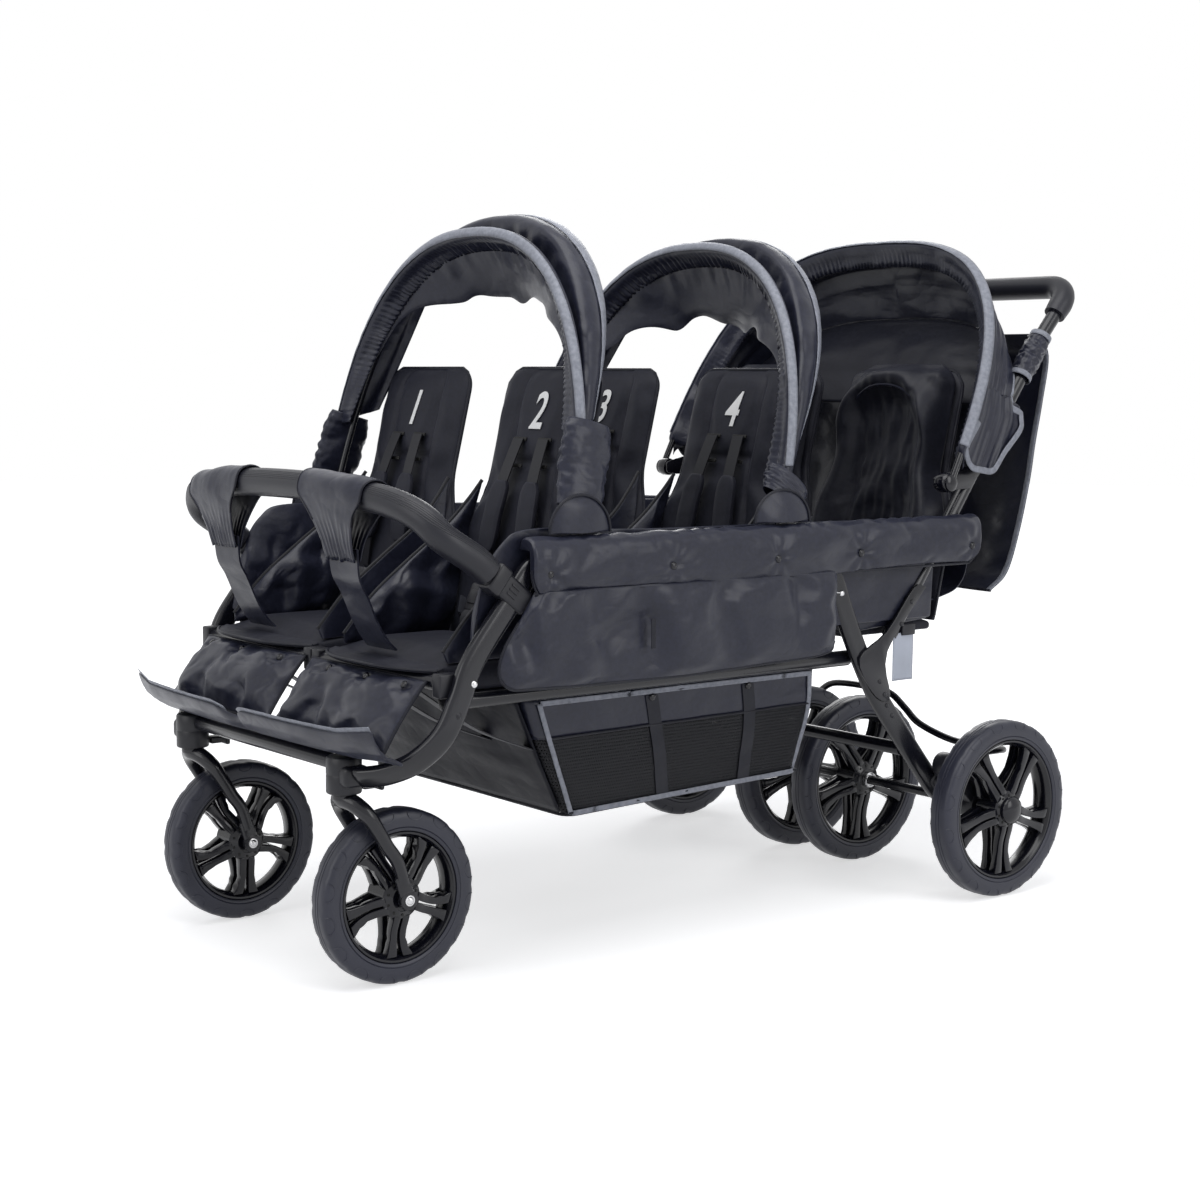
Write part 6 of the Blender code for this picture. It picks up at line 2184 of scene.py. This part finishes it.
for number, data in CANOPIES.items():
    for end, half_width, body in (
        ("front", FRONT_BOW_X, f"canopy_{number}_front"), ("rear", REAR_BOW_X, "chassis"),
    ):
        bow_piece(f"canopy_{number}_bow_{end}", half_width, data["pivot"], data[end], body)
    canopy_cloth(number)
    for side_name, side in SIDES:
        canopy_base(number, side_name, side)
        canopy_cuff(number, side_name, side)
print("canopies done")

# %% [markdown]
# ## Rear hood
# The rear canopy is a deeper hood. Its front hoop turns on two round knobs,
# and its sheet runs back to the push frame, with reflective tape round the
# whole edge of the sheet. The sheet and its side tapes are fixed in place.

# %% Hoop
HOOD_PIVOT = (-0.079, 0.690)
HOOD_TOP = (0.121, 1.093)
HOOD_X = 0.366
HOOD_POWER = 2.8
HOOD_LEAN = math.atan2(HOOD_TOP[0] - HOOD_PIVOT[0], HOOD_TOP[1] - HOOD_PIVOT[1])
HOOD_REARWARD = Vector((0, math.cos(HOOD_LEAN), -math.sin(HOOD_LEAN)))
HOOD_FOOT, HOOD_REAR_TOP = (0, 0.700), (0, 0.965)
HOOD_CORNER = 0.034


def hoop():
    path = evenly(arch(HOOD_X, HOOD_PIVOT, HOOD_TOP, HOOD_POWER, 96), 120)
    parts = [swept(path, BOW_RADIUS, sides=3)]
    for side in (1, -1):
        knob = lathe([
            (0.3441, 0.0), (0.3441, 0.0150), (0.3460, 0.0160), (0.3600, 0.0160), (0.3630, 0.0150),
            (0.3650, 0.0135), (0.3662, 0.0140), (0.3690, 0.0136), (0.3712, 0.0105),
            (0.3722, 0.0050), (0.3724, 0.0),
        ], 48, closed=False)
        mirror = Matrix.Diagonal((side, 1, 1, 1))
        parts.append(moved(knob, Matrix.Translation(at(0, *HOOD_PIVOT)) @ mirror))
    made = finish("hood_hoop", gather(*parts), GLOSS_PLASTIC, "hood_front")
    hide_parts("canopy_3_bow")


# %% Hood sheet
def hood_rear(point):
    y = push_line(point.z) - 0.0168
    if point.z < 0.815:
        y = min(0.100, 0.049 + (point.z - 0.700) * 0.62)
    return at(point.x, y, point.z)


def hood_arch(pivot, top):
    """An arch as wide as the hood's hoop, in fine steps."""
    return arch(HOOD_X, pivot, top, HOOD_POWER, FINE_ARCH)


def hood_lines(columns):
    front = evenly(hood_arch((-0.052, 0.712), (0.128, 1.0975)), columns)
    rear = [hood_rear(p) for p in evenly(hood_arch(HOOD_FOOT, HOOD_REAR_TOP), columns)]
    return front, rear


def hood_side(i, columns):
    """How far a column stands from the nearer lower end of the hood."""
    return min(i, columns - i) / columns * 1.45


def hood_point(front, rear, i, columns, along):
    """A place on the hood sheet, rounded at its two lower corners."""
    a, b = front[i], rear[i]
    lift = 0.070 * 4 * along * (1 - along) * (a.z - front[0].z)
    here = a.lerp(b, along) + Vector((0, 0, lift))
    foot = hood_side(i, columns)
    edge = min(along, 1 - along) * (b - a).length
    corner = HOOD_CORNER * max(0.0, 1 - edge / HOOD_CORNER) ** 2 * max(0.0, 1 - foot / 0.10)
    here.z += corner
    fold = noise.noise(Vector((along * 7.0, foot * 2.0 + (here.x > 0) * 5, 1.7)))
    fold += 0.5 * noise.noise(Vector((along * 17.0, foot * 4.0, here.x * 2)))
    keep = math.sin(math.pi * along) ** 0.7
    out = Vector((math.copysign(min(1, abs(here.x) / 0.30) ** 4, here.x), 0, 0.25)).normalized()
    return here - out * 0.0075 * keep * (0.7 + fold) * min(1, foot / 0.03 + 0.5)


def hood_blend(made):
    """Bakes the piece's place into its mesh; the piece rides on no body."""
    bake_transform(made)


def hood_sheet():
    columns = 340
    front, rear = hood_lines(columns)
    hem = [
        (0.018, -0.030), (0.013, -0.020), (0.004, -0.010), (-0.0075, -0.004), (-0.0100, 0.002),
        (-0.0050, 0.0085),
    ]
    stops = spread(0, 1, 30)
    rows = len(hem) + 30
    line = evenly(hood_arch(HOOD_PIVOT, HOOD_TOP), columns)

    def outward(i):
        out = heading(line, i).cross(HOOD_REARWARD).normalized()
        return -out if out.dot(line[i] - at(0, 0.0, 0.70)) < 0 else out

    def pinched(i):
        """From 0 at the hood's lower ends to 1, where the hem has its full size."""
        return ease(hood_side(i, columns) / 0.07)

    def place(u, v, face):
        i, j = round(u * columns), round(v * rows)
        if j >= len(hem):
            return hood_point(front, rear, i, columns, stops[j - len(hem)])
        s, n = hem[j]
        pinch = pinched(i)
        ruffle = 0.0024 * math.sin(u * 900 + 3 * math.sin(u * 47)) * max(0, 1 - j / 3) * pinch
        start = line[i].lerp(front[i], 1 - pinch)
        rise = outward(i) * (n * pinch + 0.001 * (1 - pinch))
        return start + HOOD_REARWARD * ((s + ruffle) * pinch) + rise

    made = finish("hood_cloth", form(columns, rows, place), NYLON, None, 80)
    thicken(made, NYLON_THICKNESS)
    hood_blend(made)
    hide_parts("canopy_3_cloth")
    band = []
    for i in range(16, columns - 16):
        inner = hood_point(front, rear, i, columns, 0.0)
        pinch = pinched(i)
        out = outward(i)
        start = line[i].lerp(inner, 1 - pinch)
        band.append((
            start - HOOD_REARWARD * 0.0125 * pinch + out * 0.0016,
            start + HOOD_REARWARD * 0.0010 + out * 0.0126,
        ))
    tape("hood_tape_front", band, "hood_front", bulge=0.0020)
    for side_name, side in SIDES:
        hood_corner_tape(side_name, side, front, rear, columns)


def hood_corner_tape(side_name, side, front, rear, columns):
    """Tape under the hood's side, round both lower corners, and up its rear edge."""
    first = 0 if side > 0 else columns
    step = 1 if side > 0 else -1
    spots = [(k, 0.0) for k in range(22, 0, -2)]
    spots += [(0, along) for along in spread(0.0, 1.0, 24)]
    spots += [(k, 1.0) for k in range(2, 62, 2)]
    line = [hood_point(front, rear, first + step * k, columns, along) for k, along in spots]
    path = evenly(smooth_path(line[::2], 4), 90)
    middle = sum(path, Vector()) / len(path)
    pairs = []
    outward = Vector((side * 0.0016, 0, 0))
    for i, here in enumerate(path):
        along = heading(path, i)
        inward = (middle - here) - along * (middle - here).dot(along)
        inward.x = 0
        inward.normalize()
        pairs.append((here - inward * 0.002 + outward, here + inward * 0.0085 + outward))
    made = tape(f"hood_tape_side_{side_name}", pairs, None, bulge=0.0006)
    hood_blend(made)


def hood_valance():
    """Slack cloth inside the hood, from its rear edge down to the cocoons."""
    columns, rows = 120, 26
    edge = [hood_rear(p) for p in hood_arch(HOOD_FOOT, HOOD_REAR_TOP) if p.z > 0.86]
    line = evenly(edge, columns)

    def place(u, v, face):
        top = line[round(u * columns)]
        z = top.z + (0.815 - top.z) * v
        fold = noise.noise(Vector((u * 5.0, v * 1.6, 8.8)))
        fold += 0.5 * noise.noise(Vector((u * 12.0, v * 4.0, 1.2)))
        behind = min(top.y, at(0, push_line(z), 0).y - 0.014)
        y = behind - 0.018 * math.sin(math.pi * v) * (0.6 + fold) - 0.003
        return Vector((top.x * (1 - 0.06 * v), y, z))

    # The valance's darker nylon is painted shade inside the hood.
    made = finish("hood_valance", form(columns, rows, place), NYLON_TRIM_AND_SHADE, "push", 80)
    thicken(made, NYLON_THICKNESS)


hoop()
hood_sheet()
hood_valance()

# %% Sleeves that tie the hood to the push tube
PUSH_WAY = Vector((0, PUSH_SLOPE, 1)).normalized()


def push_band(name, side, z):
    """A narrow tape round the push tube at a height."""
    deep = PUSH_WAY.cross(ACROSS)
    pairs = []
    for i in range(41):
        turn = math.tau * i / 40
        ring = ACROSS * math.cos(turn) + deep * math.sin(turn)
        spot = at(side * LEG_X, push_line(z), z) + ring * 0.0182
        pairs.append((spot - PUSH_WAY * 0.0045, spot + PUSH_WAY * 0.0045))
    tape(name, pairs, "push", bulge=0.0004)


for side_name, side in SIDES:
    line = [at(side * LEG_X, push_line(z), z) for z in spread(0.932, 0.862, 6)]
    sleeve = wrinkled_sleeve(
        f"hood_sleeve_{side_name}", line, lambda v: 0.0165 + 0.003 * math.sin(math.pi * v),
        "push", 7 + side,
    )
    for label, z in (("top", 0.930), ("foot", 0.864)):
        push_band(f"hood_sleeve_tape_{label}_{side_name}", side, z)
print("hood done")

# %% [markdown]
# ## Back cover
# A broad cloth hangs behind the rear row from the push frame. It sags in
# folds between its two bound edges and is drawn in towards its foot.

# %% Back cover
COVER_LINE = profile_path([
    (push_line(0.936) + 0.004, 0.936), (0.214, 0.900), (0.202, 0.823), (0.186, 0.750),
    (0.174, 0.685), (0.151, 0.600), (0.122, 0.530), (0.080, 0.500),
], 6)
COVER_HALF = 0.3175


def cover_point(u, v):
    p = on_path(COVER_LINE, v)
    s = 2 * u - 1
    sag = 0.014 * math.sin(math.pi * v) * (1 - s * s)
    fold = 0.007 * v * (1 - math.cos(math.tau * 3 * u)) * (1 - s**4)
    crease = noise.noise(Vector((s * 4.0, v * 3.0, 2.2)))
    crease += 0.4 * noise.noise(Vector((s * 11, v * 6, 5.0)))
    rumple = 0.005 * crease * (1 - s**4) * math.sin(math.pi * v)
    return at(s * COVER_HALF, p.y + sag + fold + rumple, p.z)


def back_cover():
    bm = form(110, 90, lambda u, v, face: cover_point(u, v))
    made = thicken(finish("back_cloth", bm, NYLON, "push", 80), 0.0016)
    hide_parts("back_cover")
    for side_name, u in (("left", 1.0), ("right", 0.0)):
        inner = u + (0.0105 / 0.635) * (1 if u == 0 else -1)
        pairs = []
        for v in spread(0.05, 1, 70):
            edge = cover_point(u, v) + Vector((0, -0.0014, 0))
            pairs.append((edge, cover_point(inner, v) + Vector((0, -0.0016, 0))))
        tape(f"back_tape_{side_name}", pairs, "push", bulge=-0.0006)
    foot = [cover_point(u, 1.0) for u in spread(0, 1, 60)]
    tube("back_hem", foot, 0.0022, NYLON_TRIM_AND_SHADE, "push", sides=2)


back_cover()
print("back cover done")

# %% [markdown]
# ## Footboard and calf pads
# Below the front seats two quilted pads cover the children's calves, snapped
# along their top edge. At their foot a thin cloth board with a reflective
# edge curls up in front, in two shallow lobes.

# %% Calf pads
CALF_TOP = (-1.0640, 0.440)
CALF_FOOT = (-1.132, 0.348)
CALF_HALF = 0.1525
CALF_SNAP_SHARE = 0.13
CALF_SNAPS = {"left": (0.086, 0.188, 0.289), "right": (-0.056, -0.175, -0.273)}


def calf_place(middle, s, v, thick):
    slope = Vector((0, CALF_FOOT[0] - CALF_TOP[0], CALF_FOOT[1] - CALF_TOP[1]))
    out = Vector((0, slope.z, -slope.y)).normalized()
    drawn = 1 - 0.03 * (1 - (2 * v - 1) ** 2)
    return at(middle + s * CALF_HALF * drawn, *CALF_TOP) + slope * v + out * thick


def calf_pad(side_name, side):
    middle = side * 0.163
    snap_xs = CALF_SNAPS[side_name]

    def place(u, v, face):
        s = 2 * u - 1
        edge = (1 - abs(s) ** 5) * (1 - abs(2 * v - 1) ** 5)
        down = v - CALF_SNAP_SHARE
        near = min(math.hypot((middle + s * CALF_HALF - x) / 0.013, down / 0.09) for x in snap_xs)
        dimple = math.exp(-(near**2))
        spot = calf_place(middle, s, v, 0)
        folds = worn(spot, side * 4.0, 0.0040, 0.0030, 0.065) * edge
        folds += 0.0022 * sum(radiate(spot.x - x, -down * 0.115, 0.026) for x in snap_xs) * edge
        thick = 0.0060 + 0.0185 * edge * (1 - 0.7 * dimple) + folds if face > 0 else 0.0005
        return calf_place(middle, s, v, thick), float(seam(u, v, face) or near < 0.5)

    bm = form(60, 34, place, closed=True)
    pad(f"calf_pad_look_{side_name}", bm, NYLON, "chassis", 0.45, f"calf_pad_{side_name}",
        pressure=4.0, grow=0.09, cap=0.006)
    snaps = []
    for x in snap_xs:
        spot = calf_place(middle, (x - middle) / CALF_HALF, CALF_SNAP_SHARE, 0.0150)
        snaps.append(dome(*SNAP, spot, Vector((0, -0.80, 0.60))))
    finish(f"calf_snaps_{side_name}", gather(*snaps), GLOSS_PLASTIC, "chassis")
    sides = spread(0.02, 0.98, 12)
    ring = [(-1, v) for v in sides] + [(s, 1.0) for s in spread(-1, 1, 16)]
    ring += [(1, v) for v in reversed(sides)] + [(s, 0.0) for s in spread(1, -1, 16)]
    rim = [calf_place(middle, s, v, 0.0040) for s, v in ring]
    tube(f"calf_binding_{side_name}", rim, 0.0024, NYLON_TRIM_AND_SHADE, "chassis", sides=2)


# %% Footboard
BOARD_LOW = 0.3356
BOARD_RISE = [(0.0, 0.0), (0.45, 0.004), (0.70, 0.012), (0.88, 0.024), (1.0, 0.041)]


def board_point(s, v, lift=0.0):
    lobe = 0.020 * math.exp(-((s / 0.055) ** 2))
    front = 1.2060 - 0.030 * abs(s) ** 3 - lobe
    rise = between(BOARD_RISE, v) * (1 - 0.35 * math.exp(-((s / 0.07) ** 2)))
    tip = 0.010 * max(0.0, abs(s) - 0.80) / 0.20 * v
    return at(s * 0.350, -(1.126 + (front - 1.126) * v), BOARD_LOW + rise + tip + lift)


def footboard():
    def place(u, v, face):
        s = 2 * u - 1
        quilt = 0.0022 * (1 - abs(2 * v - 1) ** 6) * (1 - 0.8 * groove(abs(s), 0.5, 0.012))
        wrinkle = 0.0012 * noise.noise(Vector((s * 9, v * 3, 4.0))) * math.sin(math.pi * v)
        return board_point(s, v, 0.0046 + quilt + wrinkle if face > 0 else 0.0)

    bm = form(90, 16, place, closed=True)
    made = finish("footboard_cloth", bm, NYLON, "chassis", 70)
    subdivide(made)
    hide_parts("footboard")
    for side_name, side in SIDES:
        pairs = []
        for s in spread(0.06, 0.985, 60):
            outer = board_point(side * s, 0.998, 0.0078) + Vector((0, -0.0012, 0.0010))
            pairs.append((board_point(side * s, 0.90, 0.0098), outer))
        tape(f"footboard_tape_{side_name}", pairs, "chassis", bulge=-0.0008)


for side_name, side in SIDES:
    calf_pad(side_name, side)
footboard()
print("calf pads and footboard done")

# %% [markdown]
# ## Basket
# Under the seats hangs a deep cloth basket. Its upper band is plain nylon
# with snaps that close over the lower rail, the sides below are net with
# webbing sewn down them, and the front slants back to the floor.

# %% Basket shell
BASKET_TOP, BASKET_FLOOR = 0.3966, 0.208
FLOOR_RISE = 0.018
BAND_SHARE = 0.32
RING_STEPS = 240
TOP_HALF, TOP_FRONT, TOP_REAR = LOWER_RAIL_X, -0.895, -0.312
LOW_HALF, LOW_FRONT, LOW_REAR = 0.270, -0.790, -0.318


def basket_ring(depth):
    """The basket's outline at a depth from 0, its top, to 1, its floor."""
    half = TOP_HALF + (LOW_HALF - TOP_HALF) * depth
    front = TOP_FRONT + (LOW_FRONT - TOP_FRONT) * depth
    rear = TOP_REAR + (LOW_REAR - TOP_REAR) * depth
    places = ((0, rear), (half, rear), (half, front), (-half, front), (-half, rear), (0, rear))
    return evenly(rounded_path([at(x, y, 0) for x, y in places], 0.022, 8), RING_STEPS)


def basket_point(u, depth):
    ring = basket_ring(depth)
    here = ring[round(u * RING_STEPS)]
    out = (here - at(0, -0.60, 0)).normalized()
    rear_share = (here.y - at(0, TOP_FRONT, 0).y) / 0.583
    z = BASKET_TOP + (BASKET_FLOOR + FLOOR_RISE * rear_share - BASKET_TOP) * depth
    sway = 0.0034 * noise.noise(Vector((here.x * 6, here.y * 6, depth * 2)))
    sway += 0.0016 * noise.noise(Vector((here.x * 19, here.y * 19, depth * 5)))
    belly = 0.0060 * math.sin(math.pi * min(1, depth * 1.1))
    return Vector((here.x, here.y, z)) + out * (sway * math.sin(math.pi * depth) + belly - 0.003)


def basket_wall(name, low, high, look, rows, thickness=0.0018):
    def place(u, v, face):
        return basket_point(u, low + (high - low) * v)

    made = finish(name, form(RING_STEPS, rows, place), look, "chassis", 80)
    thicken(made, thickness)
    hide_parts("basket")


def basket_strip(name, spots, width, way, lift=0.0030):
    """A flat strip sewn on the basket along (u, depth) places."""
    pairs = []
    for spot in spots:
        here = basket_point(*spot)
        out = Vector((math.copysign(1, here.x), 0, -0.25)).normalized() * lift
        pairs.append((here + out, here + out + way * width))
    tape(name, pairs, "chassis", bulge=0.0004)


def near_u(side, y):
    """The outline's place on one long side that lies nearest a Y."""
    ring = basket_ring(0.0)
    spots = [i for i in range(RING_STEPS) if ring[i].x * side > 0.300]
    return min(spots, key=lambda i: abs(ring[i].y - at(0, y, 0).y)) / RING_STEPS


def basket_floor():
    def place(u, v, face):
        y = -0.780 + 0.456 * u
        ripple = 0.0020 * noise.noise(Vector((u * 7, v * 7, 3.0)))
        sag = 0.003 * math.sin(math.pi * u) * math.sin(math.pi * v)
        z = BASKET_FLOOR + FLOOR_RISE * (y - TOP_FRONT) / 0.583
        return at((2 * v - 1) * 0.2715, y - 0.006 * (u == 0), z + 0.004 - sag + ripple)

    # The floor's darker nylon is painted shade inside the basket.
    made = finish("basket_floor", form(70, 60, place), NYLON_TRIM_AND_SHADE, "chassis", 80)
    thicken(made, 0.003)
    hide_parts("basket")


def basket_front():
    high_half, foot_half = 0.300, 0.262
    column = near_u(1, -0.600)

    def place(u, v, face):
        depth = 1 - v
        y = TOP_FRONT + (LOW_FRONT - TOP_FRONT) * depth - 0.0075
        bow = 0.006 * math.sin(math.pi * u) * math.sin(math.pi * v)
        crease = 0.0022 * noise.noise(Vector((u * 5, v * 3, 6.0)))
        half = foot_half + (high_half - foot_half) * v
        return at((2 * u - 1) * half, y - bow + crease, basket_point(column, depth).z)

    # The front's darker nylon is painted shade.
    made = finish("basket_front", form(60, 24, place), BASKET_FRONT_SHADE, "chassis", 80)
    thicken(made, 0.0016)


def basket_trim(side_name, side):
    """Tape round one long side, the hem of its band, webbing and snaps."""
    up, back = Vector((0, 0, 1)), Vector((0, 1, 0))
    front_u, rear_u = near_u(side, -0.872), near_u(side, -0.330)
    for label, depth in (("top", 0.0), ("low", 0.955)):
        long = [(u, depth) for u in spread(rear_u, front_u, 60)]
        basket_strip(f"basket_tape_{label}_{side_name}", long, -0.0078, up)
    for label, u in (("front", front_u), ("rear", rear_u)):
        upright = [(u, depth) for depth in spread(0.02, 0.985, 30)]
        basket_strip(f"basket_tape_{label}_{side_name}", upright, -0.0085, back, lift=0.0036)
    hem = [
        basket_point(u, BAND_SHARE) + Vector((side * 0.0020, 0, 0))
        for u in spread(rear_u, front_u, 60)
    ]
    tube(f"basket_hem_{side_name}", hem, 0.0018, NYLON_TRIM_AND_SHADE, "chassis", sides=1)
    straps, snaps = [], []
    for y in (-0.665, -0.470):
        u = near_u(side, y)
        off = Vector((side * 0.0022, 0, 0))
        line = [basket_point(u, depth) + off for depth in spread(0.06, 0.97, 14)]
        straps.append(ribbon(line, back, 0.024, 0.0010))
        spot = basket_point(u, 0.075) + Vector((side * 0.0036, 0, 0))
        snaps.append(dome(*SNAP, spot, Vector((side, 0, 0))))
    finish(f"basket_webbing_{side_name}", gather(*straps), NYLON_TRIM_AND_SHADE, "chassis", 60)
    finish(f"basket_snaps_{side_name}", gather(*snaps), GLOSS_PLASTIC, "chassis")


basket_wall("basket_band", 0.0, BAND_SHARE, NYLON, 8)
basket_wall("basket_net", BAND_SHARE, 1.0, NET, 16, 0.0012)
basket_floor()
basket_front()
base = [basket_point(u, 1.0) for u in spread(0, 1, RING_STEPS)]
tube("basket_base_piping", base, 0.0026, NYLON_TRIM_AND_SHADE, "chassis", sides=2)
for side_name, side in SIDES:
    basket_trim(side_name, side)


# %% Straps from the lower rails to the basket's front
def front_straps():
    ring = basket_ring(0.3)
    for side_name, side in SIDES:
        for number, x in enumerate((0.275, 0.165)):
            goal = at(side * x, -0.86, 0)
            u = min(range(RING_STEPS + 1), key=lambda i: (ring[i] - goal).xy.length) / RING_STEPS
            top = at(side * x, -1.058, 0.425)
            low = basket_point(u, 0.42)
            path = smooth_path([top, top.lerp(low, 0.5) + Vector((0, 0, -0.012)), low], 6)
            strap = ribbon(path, ACROSS, 0.024, 0.0018)
            finish(f"front_strap_{side_name}_{number}", strap, WEBBING, "chassis", 60)


front_straps()
print("basket done")

# %% [markdown]
# ## Small trim
# A pale care tag hangs under the rear seats on a small bracket.

# %% Tag and bracket
def trim():
    bracket = soft_block((0.010, 0.030, 0.018), 0.002)
    spot = at(0.3395, -0.146, 0.4520)
    finish("tag_bracket", moved(bracket, Matrix.Translation(spot)), BLACK_PLASTIC, "chassis")

    def place(u, v, face):
        wave = 0.0016 * math.sin(5 * v) * math.sin(3 * u)
        return at(0.3400 + wave, -0.179 + 0.047 * u, 0.447 - 0.078 * v)

    tag = thicken(finish("care_tag", form(10, 16, place), PALE_FILM, "chassis", 80), 0.0006)


trim()
print("trim done")
